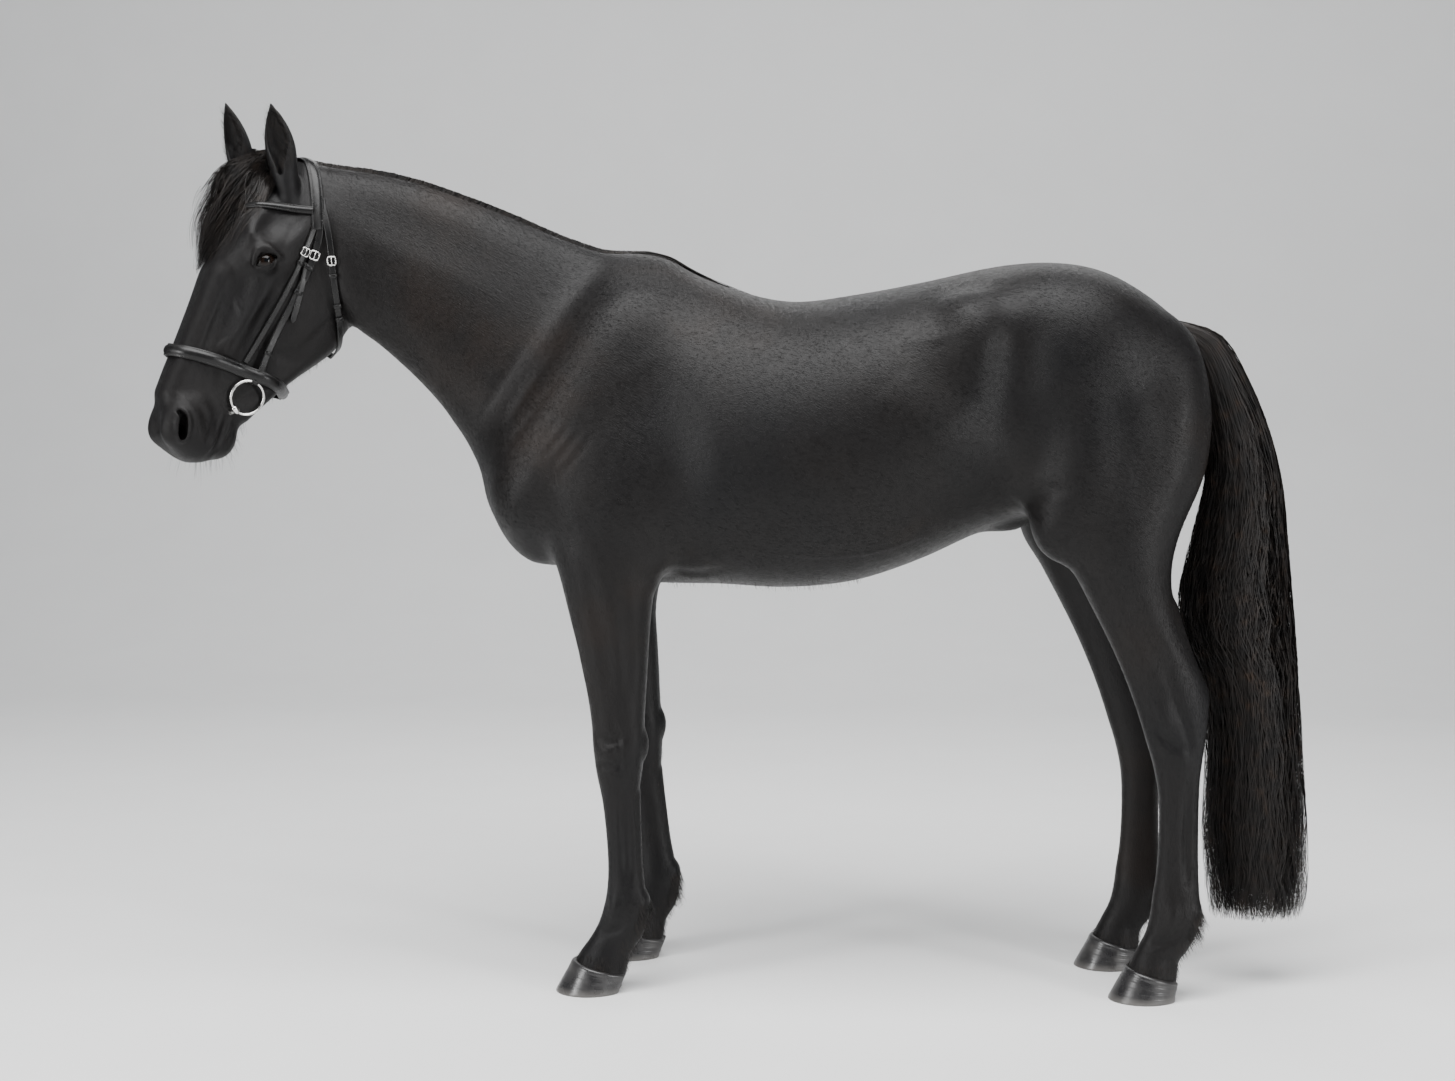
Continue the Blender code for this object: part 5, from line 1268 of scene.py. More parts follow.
def strand_map(roots, steps, spread=PATCH):
    """A small patch of the unwrap for each strand, at its root's place."""
    t = np.linspace(0, 1, steps)
    corner = np.stack([np.stack([0 * t, t], 1), np.stack([0 * t + 1, t], 1)], 1).reshape(-1, 2)
    return np.repeat(roots, 2 * steps, 0) + np.tile(corner * spread, (len(roots), 1))


TAIL = [  # front edge, back edge, half width
    (0.934, 1.408, 0.952, 1.446, 0.016),
    (0.985, 1.360, 1.058, 1.412, 0.036),
    (1.015, 1.270, 1.116, 1.310, 0.044),
    (1.030, 1.180, 1.160, 1.200, 0.050),
    (1.030, 1.080, 1.187, 1.085, 0.056),
    (1.004, 0.960, 1.200, 0.960, 0.060),
    (0.984, 0.850, 1.211, 0.840, 0.062),
    (0.990, 0.760, 1.220, 0.745, 0.064),
    (1.028, 0.660, 1.229, 0.640, 0.066),
    (1.043, 0.500, 1.241, 0.490, 0.066),
    (1.036, 0.350, 1.252, 0.340, 0.064),
    (1.045, 0.240, 1.255, 0.230, 0.062),
    (1.058, 0.150, 1.246, 0.147, 0.058),
]
TAIL_LOCKS = 230
TAIL_STRANDS = 24  # in each lock
TAIL_STEPS = 34


def tail_at(share, angle, reach):
    """Places in the tail: share of the way down, angle round it, and reach out from its middle."""
    rows = spline(TAIL, 200)
    at = np.clip(share, 0, 1) * (len(rows) - 1)
    low = np.minimum(at.astype(int), len(rows) - 2)
    t = (at - low)[..., None]
    row = rows[low] * (1 - t) + rows[low + 1] * t
    middle = (row[..., 0:2] + row[..., 2:4]) / 2
    half = (row[..., 2:4] - row[..., 0:2]) / 2
    xz = middle + half * (np.cos(angle) * reach)[..., None]
    y = row[..., 4] * np.sin(angle) * reach
    return np.stack([xz[..., 0], y, xz[..., 1]], -1)


def tail_hair(rng):
    """Paths of the tail's strands, gathered into waving locks."""
    locks, strands, steps = TAIL_LOCKS, TAIL_STRANDS, TAIL_STEPS
    t = np.linspace(0, 1, steps)[None, None, :]
    angle = (np.arange(locks) * 2.39996 % (2 * np.pi))[:, None, None]
    reach = np.sqrt(rng.uniform(0.15, 1.0, (locks, 1, 1)))
    start = rng.uniform(0.0, 0.26, (locks, 1, 1)) ** 1.2
    end = 1.0 - rng.uniform(0, 1, (locks, strands, 1)) ** 4 * 0.35
    end = end - np.abs(rng.normal(0, 0.022, (locks, 1, 1)))
    share = start + (end - start) * t
    spread = 0.10 + 0.16 * np.sin(np.pi * np.clip(t * 1.2, 0, 1)) + 0.10 * t
    own_angle = rng.normal(0, 1, (locks, strands, 1))
    own_reach = rng.normal(0, 1, (locks, strands, 1))
    phase = rng.uniform(0, 2 * np.pi, (locks, 1, 1))
    waves = rng.uniform(6, 11, (locks, 1, 1))
    wave = np.sin(waves * 2 * np.pi * share + phase) * ramp(share, 0.08, 0.35)
    crimp_at = rng.uniform(20, 34, (locks, 1, 1)) + rng.normal(0, 1.5, (locks, strands, 1))
    crimp = np.sin(crimp_at * 2 * np.pi * share + phase + rng.normal(0, 0.9, (locks, strands, 1)))
    drift = rng.normal(0, 0.10, (locks, 1, 1)) * t
    turn = angle + drift + own_angle * spread * 0.85 + wave * 0.070
    out = np.clip(reach + own_reach * spread * 0.42 + wave * 0.045, 0.05, 1.06)
    out = out * (0.80 + 0.20 * ramp(t, 0.0, 0.2))
    places = tail_at(share, turn, out)
    places = places + crimp[..., None] * np.array((0.0021, 0.0021, 0.0)) * ramp(share, 0.1, 0.4)[..., None]
    paths = places.reshape(-1, steps, 3)
    width = 0.0018 * (1 - 0.70 * ramp(t, 0.50, 1.0)) * np.ones((locks, strands, 1))
    widths = width.reshape(-1, steps)
    middle = tail_at(share, turn * 0, out * 0).reshape(-1, steps, 3)
    facing = paths - middle
    facing[..., 2] = 0
    facing /= np.maximum(np.linalg.norm(facing, axis=2, keepdims=True), 1e-6)
    root_turn = turn[..., 0] / (2 * np.pi) % 1.0 * 0.99
    roots = np.stack([root_turn, start[..., 0] + 0 * root_turn], -1).reshape(-1, 2)
    return paths, widths, facing, roots


def tail_pieces(rng, finish, core_finish):
    """The tail's strands, in a near and a far piece, and the dark core that fills it."""
    paths, widths, facing, roots = tail_hair(rng)
    half = len(paths) // 2
    order = np.argsort(paths[:, 10, 1])  # from the near side to the far one
    for name, some in (("tail_hair_near", order[:half]), ("tail_hair_far", order[half:])):
        points, faces, soft = ribbons(rng, paths[some], widths[some], facing[some])
        uv = strand_map(roots[some], paths.shape[1])
        mesh = array_mesh(name, points, faces, uv, soft)
        link(name, mesh, finish, "hair", "tail")
    rings = []
    for share in np.linspace(0.0, 0.93, 44):
        shrink = 0.86 - 0.42 * share
        angles = np.linspace(0, 2 * np.pi, 40, endpoint=False)
        ridges = 1 + 0.06 * np.sin(7 * angles + 9 * share) + 0.04 * np.sin(13 * angles - 14 * share)
        rings.append(tail_at(np.full(40, share), angles, shrink * ridges))
    core = solid_mesh("tail_core", *lofted(rings))
    link("tail_core", core, core_finish, "hair")


MANE = [  # crest in (x, z), its offset to the left, how far the hair hangs to the right, thickness
    (-0.912, 1.790, 0.104, 0.050, 0.012),
    (-0.845, 1.788, 0.098, 0.085, 0.018),
    (-0.760, 1.778, 0.088, 0.110, 0.020),
    (-0.660, 1.755, 0.070, 0.125, 0.020),
    (-0.560, 1.722, 0.052, 0.130, 0.020),
    (-0.460, 1.685, 0.034, 0.130, 0.020),
    (-0.370, 1.645, 0.018, 0.120, 0.019),
    (-0.280, 1.608, 0.008, 0.095, 0.018),
    (-0.190, 1.590, 0.0, 0.060, 0.013),
    (-0.110, 1.562, 0.0, 0.035, 0.006),
]
MANE_LOCKS = 130
MANE_STRANDS = 52
MANE_STEPS = 11


def mane_hair(rng, skin):
    """Paths of the mane's strands, combed over the crest to the right side."""
    locks, strands, steps = MANE_LOCKS, MANE_STRANDS, MANE_STEPS
    rows = spline(MANE, 400)
    count = locks * strands
    lock = np.repeat(np.linspace(0.0, 1.0, locks), strands)
    root = np.clip(lock + rng.uniform(-0.012, 0.012, count), 0, 1)
    tip = np.clip(np.repeat(np.linspace(0.0, 1.0, locks) + rng.normal(0, 0.008, locks), strands), 0, 1)
    tip = np.clip(tip + rng.normal(0, 0.0025, count), 0, 1)
    t = np.linspace(0, 1, steps)
    layer = rng.uniform(0.0, 1.0, count)
    long = np.repeat(rng.uniform(0.75, 1.05, locks), strands) * rng.uniform(0.85, 1.05, count)
    side = rng.uniform(-0.017, 0.006, count)
    targets, heights = [], []
    for k in range(steps):
        at = root + (tip - root) * ramp(t[k], 0.1, 0.9)
        row = rows[np.clip((at * 399).astype(int), 0, 399)]
        x, z, left, hang, thick = row.T
        down = np.clip(t[k] * long, 0, 1.05)
        out = side * (1 - ramp(t[k], 0.0, 0.25)) + 0.034 * np.sin(np.pi / 2 * np.clip(t[k] * 2.2, 0, 1))
        out = out + 0.055 * hang * down
        drop = hang * down**1.5 + 0.002
        targets.append(np.stack([x - 0.12 * drop, -left + out, z - drop], 1))
        crest = ramp(t[k], 0.0, 0.16) * (0.42 + 0.25 * layer)
        fall = 0.15 + 0.85 * layer
        share = crest + (fall - crest) * ramp(t[k], 0.15, 0.7)
        heights.append(thick * share * (1 - 0.45 * ramp(t[k], 0.7, 1.0)) + 0.0006)
    targets = np.stack(targets, 1)
    places, normals = skin.near(targets)
    places, normals = places.reshape(targets.shape), normals.reshape(targets.shape)
    heights = np.stack(heights, 1)[:, :, None]
    heights[:, 0] = -0.0012
    paths = places + normals * heights
    paths[:, :, 0] += np.sin(t * 9 + rng.uniform(0, 6.3, (count, 1))) * 0.0018 * t
    widths = 0.0014 * (1 - 0.6 * t[None]) * np.ones((count, 1))
    return paths, widths, normals


def withers_hair(rng, skin):
    """A thin lock at the end of the mane, trailing back along the withers."""
    count, steps = (420), 12
    t = np.linspace(0, 1, steps)[None]
    start = rng.uniform(-0.245, -0.150, (count, 1))
    reach = rng.uniform(0.10, 0.24, (count, 1)) * (1 - 0.4 * rng.random((count, 1)))
    x = start + reach * t
    y = rng.normal(0.0, 0.008, (count, 1)) * (1 - 0.5 * t) + 0.012 * np.sin(2.2 * t + 0.4)
    targets = np.stack([x, y, np.full_like(x, 1.70) + 0 * x], 2)
    targets[..., 2] = np.interp(x, [-0.25, -0.11, 0.03], [1.60, 1.575, 1.51])
    places, normals = skin.near(targets)
    places, normals = places.reshape(targets.shape), normals.reshape(targets.shape)
    height = rng.uniform(0.0015, 0.0075, (count, 1)) * np.sin(np.pi * np.clip(0.06 + 0.9 * t, 0, 1)) - 0.0004
    paths = places + normals * height[..., None]
    widths = 0.0014 * (1 - 0.6 * t) * np.ones((count, 1))
    return paths, widths, normals


FORELOCK = [  # down the face: (v, w) of its near edge, of two places on top, and of its far edge
    (-0.020, 0.020, 0.034, 0.040, 0.005, 0.052, -0.030, 0.020, -0.046),
    (0.020, 0.040, 0.046, 0.064, 0.014, 0.090, -0.038, 0.040, -0.062),
    (0.060, 0.048, 0.056, 0.084, 0.016, 0.120, -0.050, 0.060, -0.084),
    (0.120, 0.050, 0.072, 0.097, 0.014, 0.133, -0.064, 0.070, -0.100),
    (0.185, 0.056, 0.070, 0.106, 0.008, 0.133, -0.072, 0.065, -0.106),
    (0.235, 0.064, 0.058, 0.108, -0.006, 0.117, -0.074, 0.055, -0.100),
    (0.275, 0.078, 0.030, 0.103, -0.024, 0.099, -0.066, 0.050, -0.084),
    (0.300, 0.088, -0.010, 0.098, -0.036, 0.092, -0.052, 0.070, -0.066),
]
FORELOCK_LOCKS = 90
FORELOCK_STRANDS = 60
FORELOCK_STEPS = 16


def forelock_hair(rng, skin):
    """Paths of the forelock's strands, from between the ears down over the forehead."""
    locks, strands, steps = FORELOCK_LOCKS, FORELOCK_STRANDS, FORELOCK_STEPS
    rows = spline(FORELOCK, 200)
    count = locks * strands
    across = np.repeat(rng.permutation(np.linspace(0.01, 0.99, locks)), strands)
    root = np.clip(across + rng.normal(0, 0.10, count), 0, 1)
    tip = np.clip(across + rng.normal(0, 0.060, count), -0.03, 1.03)
    depth = np.repeat(rng.uniform(0.10, 0.95, locks), strands) + rng.normal(0, 0.14, count)
    depth = np.clip(depth, 0.03, 1.16)
    first = rng.uniform(0.0, 0.16, count)
    last = np.repeat(rng.uniform(0.62, 0.98, locks), strands) - np.abs(rng.normal(0, 0.13, count))
    last = np.clip(last - 0.16 * np.abs(across - 0.55), 0.3, 1.0)
    t = np.linspace(0, 1, steps)
    wave_phase = rng.uniform(0, 6.3, (locks, 1)).repeat(strands, 0)
    own_phase = rng.uniform(0, 6.3, (count, 1))
    targets = []
    for k in range(steps):
        down = first + (last - first) * t[k]
        row = rows[np.clip((down * 199).astype(int), 0, 199)]
        f = np.clip(root + (tip - root) * ramp(t[k], 0.0, 0.8), 0, 1) * 3
        f = f + 0.06 * np.sin(7 * t[k] + wave_phase[:, 0]) + 0.05 * np.sin(15 * t[k] + own_phase[:, 0])
        f = np.clip(f, 0, 2.999)
        low = f.astype(int)
        share = f - low
        share = share * share * (3 - 2 * share) * 0.5 + share * 0.5
        each, to = np.arange(count), np.minimum(3 + 2 * low, 7)
        v = row[each, 1 + 2 * low] * (1 - share) + row[each, to] * share
        w = row[each, 2 + 2 * low] * (1 - share) + row[each, to + 1] * share
        targets.append(from_head(np.stack([row[:, 0], v, w], 1)))
    targets = np.stack(targets, 1)
    places, normals = skin.near(targets)
    places, normals = places.reshape(targets.shape), normals.reshape(targets.shape)
    gap = targets - places
    grow = ramp(t, 0.0, 0.22)[None, :, None]
    paths = places + gap * depth[:, None, None] * grow + normals * 0.0018 * grow
    paths[:, 0] -= normals[:, 0] * 0.002
    widths = 0.0010 * (1 - 0.7 * ramp(t, 0.35, 1.0)[None]) * np.ones((count, 1))
    return paths, widths, normals


def hair_piece(name, rng, finish, made, region, *nodes, roll=0.7):
    """A piece of strands, each mapped at its root's place on a region's unwrap."""
    paths, widths, facing = made
    points, faces, soft = ribbons(rng, paths, widths, facing, roll)
    uv = strand_map(root_places(paths[:, 0], region), paths.shape[1])
    mesh = array_mesh(name, points, faces, uv, soft)
    return link(name, mesh, finish, "hair", *nodes)


# ---------------------------------------------------------------- hoofs
HOOFS = {  # toe and heel; the coronet in front and behind; half width at the ground and coronet
    "foreleg": ((-0.362, -0.214), ((-0.324, 0.068), (-0.206, 0.036)), 0.066, 0.052),
    "hindleg": ((0.820, 0.968), ((0.858, 0.070), (0.968, 0.038)), 0.062, 0.050),
}
HOOF_SIDES, HOOF_LEVELS = 72, 40
SOLE_STEPS = ((0.2, 0.010), (0.75, 0.007), (0.90, 0.0005))  # (scale, rise) of the dished sole's rings
CAP_STEPS = ((0.95, 0.002), (0.80, 0.001), (0.4, 0.0))  # and of the rings over the coronet


def drawn_in(ring, steps):
    """Copies of a ring drawn in to its middle and raised."""
    middle = ring.mean(0)
    return [(ring - middle) * scale + middle + np.array((0, 0, rise)) for scale, rise in steps]


def hoof(leg, side, horn, rng):
    """A hoof's wall with growth rings, a rolled coronet and bulbs of the heel, and its sole."""
    (toe, heel), (front, back), ground_half, coronet_half = HOOFS[leg]
    step = step_at((FORE_STEP if leg == "foreleg" else HIND_STEP)[side], 0.0)
    foot_y = (FORE_FOOT_Y if leg == "foreleg" else HIND_FOOT_Y) * SIDES[side]
    phase = rng.uniform(0, 6.3)
    rings = []
    for level in range(HOOF_LEVELS + 1):
        t = level / HOOF_LEVELS
        start, end = toe + (front[0] - toe) * t, heel + (back[0] - heel) * t
        half = ground_half + (coronet_half - ground_half) * t
        ridge = 0.00016 * math.sin(26 * t + phase) * math.sin(math.pi * t) + 0.00012 * math.sin(67 * t)
        ridge += 0.0012 * math.exp(-(((t - 0.93) / 0.06) ** 2)) - 0.0012 * math.exp(-((t / 0.03) ** 2))
        ring = []
        for k in range(HOOF_SIDES):
            angle = 2 * math.pi * k / HOOF_SIDES
            ahead = math.cos(angle)
            x = (start + end) / 2 - ((end - start) / 2 + ridge) * ahead
            y = (half + ridge) * math.sin(angle) * (1 - 0.10 * max(0.0, -ahead))
            x -= 0.014 * math.exp(-((math.pi - angle) / 0.30) ** 2)
            share = min(1.0, max(0.0, (x - front[0]) / (back[0] - front[0])))
            bulb = 0.004 * math.exp(-((abs(math.pi - angle) - 0.55) / 0.30) ** 2) * ramp(t, 0.3, 0.8)
            z = t * (front[1] + (back[1] - front[1]) * share)
            ring.append((x + step + bulb, foot_y + y, z))
        rings.append(np.array(ring))
    rings = drawn_in(rings[0], SOLE_STEPS) + rings + drawn_in(rings[-1], CAP_STEPS)
    mesh = solid_mesh("hoof", *lofted(rings))
    name = f"hoof_{leg[:4]}_{side}"
    return link(f"horn_{leg[:4]}_{side}", mesh, horn, "horn", name)


# ---------------------------------------------------------------- bridle
STITCH_STEP = 0.0034  # from one stitch to the next
STRAP_ROOM = 0.0010  # between a strap and the skin
SNAPPED = 9  # places at which a strap is laid on the skin
BUCKLE_ROOM = 0.0004  # between a buckle's wire and its strap
RING = (0.512, -0.070, 0.060)  # the middle of the bit's ring, in the head's (u, v, w)
RING_FACING = (0.20, -0.05, 1.0)  # the way it faces
RING_OFF_SKIN = 0.009
RING_RADIUS, RING_WIRE = 0.0360, 0.0030


def strap_path(skin, stations, w_sign, pieces):
    """Places, normals and lifts along a strap: laid on the skin at a few places, taut between."""
    rows = spline(stations, SNAPPED)
    places, normals = skin.near(from_head(rows[:, :3] * np.array((1.0, 1.0, w_sign))))
    for _ in range(3):
        inner = slice(1, -1)
        normals[inner] = (normals[:-2] + normals[inner] + normals[2:]) / 3
        places[inner] = (places[:-2] + 6 * places[inner] + places[2:]) / 8
    rows = spline(np.column_stack([places, normals, rows[:, 3]]), pieces)
    places, normals, lifts = rows[:, :3], rows[:, 3:6], rows[:, 6]
    normals = normals / np.linalg.norm(normals, axis=1, keepdims=True)
    found, out = skin.near(places)
    push = np.maximum(0.0, -((places - found) * out).sum(1))
    window = 2 * (pieces // 8) + 1
    padded = np.pad(push, window, mode="edge")
    widest = np.array([padded[i : i + 2 * window + 1].max() for i in range(len(push))])
    eased = np.convolve(np.pad(widest, window // 2, mode="edge"), np.ones(window) / window, "valid")
    return places + normals * eased[:, None], normals, lifts


def joined_path(skin, stations, pieces, last=False):
    """A mirrored strap's path: one side to the middle, then the other side."""
    near = strap_path(skin, stations, 1.0, pieces)
    far = strap_path(skin, stations, -1.0, pieces)
    return [np.concatenate([a, (b[::-1][1:-1] if last else b[::-1][1:])]) for a, b in zip(near, far)]


def strap_frames(places, normals, closed=False):
    """Directions along, out of and across a strap at each of its places."""
    if closed:
        before, after = np.roll(places, 1, 0), np.roll(places, -1, 0)
    else:
        before, after = places[np.r_[0, 0 : len(places) - 1]], places[np.r_[1 : len(places), len(places) - 1]]
    along = after - before
    along /= np.linalg.norm(along, axis=1, keepdims=True)
    across = np.cross(along, normals)
    across /= np.linalg.norm(across, axis=1, keepdims=True)
    return along, np.cross(across, along), across


FLAT_STRAP = [  # across and up, as shares of half the width and of the thickness
    (-0.96, 0.0), (0.96, 0.0), (1.0, 0.35), (0.97, 0.80), (0.86, 1.0), (0.60, 0.98),
    (0.0, 1.02), (-0.60, 0.98), (-0.86, 1.0), (-0.97, 0.80), (-1.0, 0.35),
]
PADDED_STRAP = [
    (-0.94, 0.0), (0.94, 0.0), (1.0, 0.25), (0.96, 0.50), (0.80, 0.56), (0.66, 0.60), (0.50, 0.95),
    (0.25, 1.10), (0.0, 1.15), (-0.25, 1.10), (-0.50, 0.95), (-0.66, 0.60), (-0.80, 0.56), (-0.96, 0.50),
    (-1.0, 0.25),
]


def closing_faces(rings, sides, shift=0):
    """Faces from a closed sweep's last ring back to its first, turned on by some of its sides."""
    last = (len(rings) - 1) * sides
    return [
        (last + k, last + (k + 1) % sides, (k + 1 + shift) % sides, (k + shift) % sides) for k in range(sides)
    ]


def strap(name, path, width, thickness, finish, nodes=(), profile=FLAT_STRAP, closed=False, point=False):
    """A strap with its section swept along a path, with its own map for the stitching."""
    places, normals, lifts = path
    _, normal, across = strap_frames(places, normals, closed)
    travelled = np.r_[0, np.cumsum(np.linalg.norm(np.diff(places, axis=0), axis=1))]
    rings, ring_uv = [], []
    for i in range(len(places)):
        narrow = 1.0
        if point:
            narrow = min(1.0, 0.25 + (travelled[-1] - travelled[i]) / (0.7 * width))
        base = places[i]
        ring = [
            base + normal[i] * (lifts[i] + STRAP_ROOM + up * thickness) + across[i] * (a * narrow * width / 2)
            for a, up in profile
        ]
        rings.append(np.array(ring))
        ring_uv.append([(a * narrow, travelled[i]) for a, up in profile])
    sides = len(profile)
    points, faces = lofted(rings, closed_ends=not closed)
    if closed:
        faces += closing_faces(rings, sides)
    mesh = solid_mesh(name, points, faces)
    layer = mesh.uv_layers.new(name="strap")
    uv = np.array(ring_uv).reshape(-1, 2)
    index = np.zeros(len(mesh.loops), np.int32)
    mesh.loops.foreach_get("vertex_index", index)
    layer.uv.foreach_set("vector", uv[index].astype(np.float32).ravel())
    return link(name, mesh, finish, "leather", *nodes)


def tube(places, radius, sides=12, closed=False):
    """Points and faces of a round wire through places."""
    places = np.asarray(places, float)
    if closed:
        ahead = np.roll(places, -1, 0) - np.roll(places, 1, 0)
    else:
        ahead = np.gradient(places, axis=0)
    ahead /= np.linalg.norm(ahead, axis=1, keepdims=True)
    side = np.cross(ahead[0], (0.31, 0.52, 0.79))
    rings = []
    radii = np.broadcast_to(radius, len(places))
    for place, way, r in zip(places, ahead, radii):
        side = side - way * (side @ way)
        side /= np.linalg.norm(side)
        up = np.cross(way, side)
        angles = np.linspace(0, 2 * np.pi, sides, endpoint=False)[:, None]
        rings.append(place + (side * np.cos(angles) + up * np.sin(angles)) * r)
    points, faces = lofted(rings, closed_ends=not closed)
    if closed:
        gaps = [np.linalg.norm(rings[-1] - np.roll(rings[0], -s, 0)) for s in range(sides)]
        faces += closing_faces(rings, sides, int(np.argmin(gaps)))
    return points, faces


def join_parts(parts):
    """Several shells as one list of points and one of faces."""
    points, faces, start = [], [], 0
    for some, shapes in parts:
        points.append(np.asarray(some))
        faces += [tuple(start + i for i in f) for f in shapes]
        start += len(some)
    return np.concatenate(points), faces


HEADPIECE = [
    (0.132, -0.068, 0.090, 0.0008),
    (0.103, -0.060, 0.085, 0.0),
    (0.072, -0.052, 0.080, 0.0),
    (0.038, -0.038, 0.075, 0.0),
    (0.001, -0.024, 0.060, 0.0),
    (-0.020, -0.018, 0.035, 0.0),
    (-0.032, -0.012, 0.000, 0.0),
]
BROWBAND = [
    (0.100, -0.050, 0.088, 0.001),
    (0.106, -0.021, 0.088, 0.0),
    (0.115, 0.021, 0.084, 0.0),
    (0.130, 0.051, 0.070, 0.0),
    (0.140, 0.070, 0.035, 0.0),
    (0.142, 0.080, 0.000, 0.0),
]
NOSEBAND = [
    (0.478, 0.088, 0.000, 0.0),
    (0.473, 0.069, 0.045, 0.0),
    (0.464, 0.018, 0.055, 0.0),
    (0.464, -0.035, 0.055, 0.0),
    (0.462, -0.073, 0.050, 0.0),
    (0.452, -0.110, 0.040, 0.0),
    (0.446, -0.135, 0.000, 0.0),
]
NOSE_CHEEK = [
    (0.112, -0.058, 0.098, -0.002),
    (0.131, -0.056, 0.106, 0.0),
    (0.158, -0.057, 0.106, 0.0),
    (0.189, -0.055, 0.103, 0.0),
    (0.239, -0.057, 0.090, 0.0),
    (0.303, -0.054, 0.085, 0.0),
    (0.368, -0.048, 0.075, 0.0),
    (0.426, -0.041, 0.062, 0.0),
    (0.447, -0.038, 0.058, 0.0),
]
BIT_CHEEK = [
    (0.112, -0.064, 0.100, -0.001),
    (0.131, -0.071, 0.112, 0.0),
    (0.163, -0.077, 0.110, 0.0),
    (0.184, -0.080, 0.107, 0.0),
    (0.229, -0.082, 0.098, 0.0),
    (0.287, -0.078, 0.086, 0.0),
    (0.346, -0.073, 0.080, 0.0),
    (0.393, -0.070, 0.074, 0.004),
    (0.430, -0.071, 0.068, 0.0125),
    (0.456, -0.072, 0.061, 0.0140),
    (0.477, -0.072, 0.057, 0.0105),
]
THROATLASH = [
    (0.066, -0.056, 0.090, -0.003),
    (0.088, -0.063, 0.098, -0.003),
    (0.110, -0.074, 0.106, -0.001),
    (0.131, -0.090, 0.118, 0.0),
    (0.152, -0.104, 0.118, 0.0),
    (0.181, -0.118, 0.116, 0.0),
    (0.219, -0.139, 0.110, 0.0),
    (0.257, -0.169, 0.100, 0.0),
    (0.288, -0.192, 0.085, 0.0),
    (0.318, -0.214, 0.060, 0.0),
    (0.340, -0.232, 0.030, 0.0),
    (0.345, -0.240, 0.000, 0.0),
]
LOOSE_END = [  # of the cheek strap, hanging over it from its buckle
    (0.205, -0.070, 0.098, 0.0045),
    (0.250, -0.080, 0.092, 0.0048),
    (0.300, -0.088, 0.088, 0.0050),
    (0.332, -0.092, 0.086, 0.0062),
]
STRAPS = {  # points, width, thickness, crosses the middle, pieces, lift off the skin
    "headpiece": (HEADPIECE, 0.027, 0.0048, True, 46, 0.0),
    "browband": (BROWBAND, 0.018, 0.0052, True, 46, 0.0006),
    "nosecheek": (NOSE_CHEEK, 0.012, 0.0042, False, 70, 0.0),
    "cheek": (BIT_CHEEK, 0.015, 0.0042, False, 70, 0.0006),
    "throatlash": (THROATLASH, 0.014, 0.0044, True, 70, 0.0),
}
NOSEBAND_SIZE = (0.027, 0.0068)
BUCKLES = {  # which strap, where along it, width across the strap, length, wire
    "nosecheek": (NOSE_CHEEK, 0.189, 0.016, 0.017, 0.0014),
    "cheek": (BIT_CHEEK, 0.184, 0.019, 0.018, 0.0016),
    "throatlash": (THROATLASH, 0.181, 0.017, 0.018, 0.0015),
}
KEEPERS = {  # along each strap, where keepers go round it
    "nosecheek": (0.212,),
    "cheek": (0.212, 0.268, 0.405),
    "throatlash": (0.212, 0.262, 0.282),
}


BUCKLE_POINTS = 36  # round a buckle's frame
BUCKLE_SQUARE = 0.45  # 1 would make the frame an oval, and 0 a rectangle


def place_on(path, at):
    """Index of the place of a strap nearest to a u down the face."""
    along_u = to_head(path[0])[:, 0]
    return int(np.argmin(np.abs(along_u[1:-1] - at))) + 1


def buckle_parts(path, at, width, length, wire, thickness):
    """A D-shaped frame and its prong."""
    i = place_on(path, at)
    along, normal, across = (a[i] for a in strap_frames(path[0], path[1]))
    middle = path[0][i] + normal * (path[2][i] + STRAP_ROOM + thickness + BUCKLE_ROOM + wire)
    loop = []
    for k in range(BUCKLE_POINTS):
        angle = 2 * math.pi * k / BUCKLE_POINTS
        a, b = math.cos(angle), math.sin(angle)
        x = math.copysign(abs(a) ** BUCKLE_SQUARE, a) * width / 2
        y = math.copysign(abs(b) ** BUCKLE_SQUARE, b) * length / 2
        loop.append(middle + across * x + along * y)
    bend = ((-0.50, 0.0), (-0.1, wire), (0.3, wire), (0.52, wire * 1.2))  # the prong's way over the strap
    prong = [middle + along * (length * s) + normal * up for s, up in bend]
    return [tube(loop, wire, 10, closed=True), tube(prong, wire * 0.7, 8)]


def ring_axes(skin, side):
    """A bit ring's middle, and two directions in its plane."""
    w = -SIDES[side]
    u, v, reach = RING
    place, normal = (a[0] for a in skin.near(from_head([(u, v, reach * w)])))
    facing = HEAD @ np.array((RING_FACING[0], RING_FACING[1], RING_FACING[2] * w))
    facing /= np.linalg.norm(facing)
    middle = place + normal * (RING_OFF_SKIN + RING_WIRE)
    across = np.cross(HEAD[:, 0], facing)
    across /= np.linalg.norm(across)
    return middle, across, np.cross(facing, across)


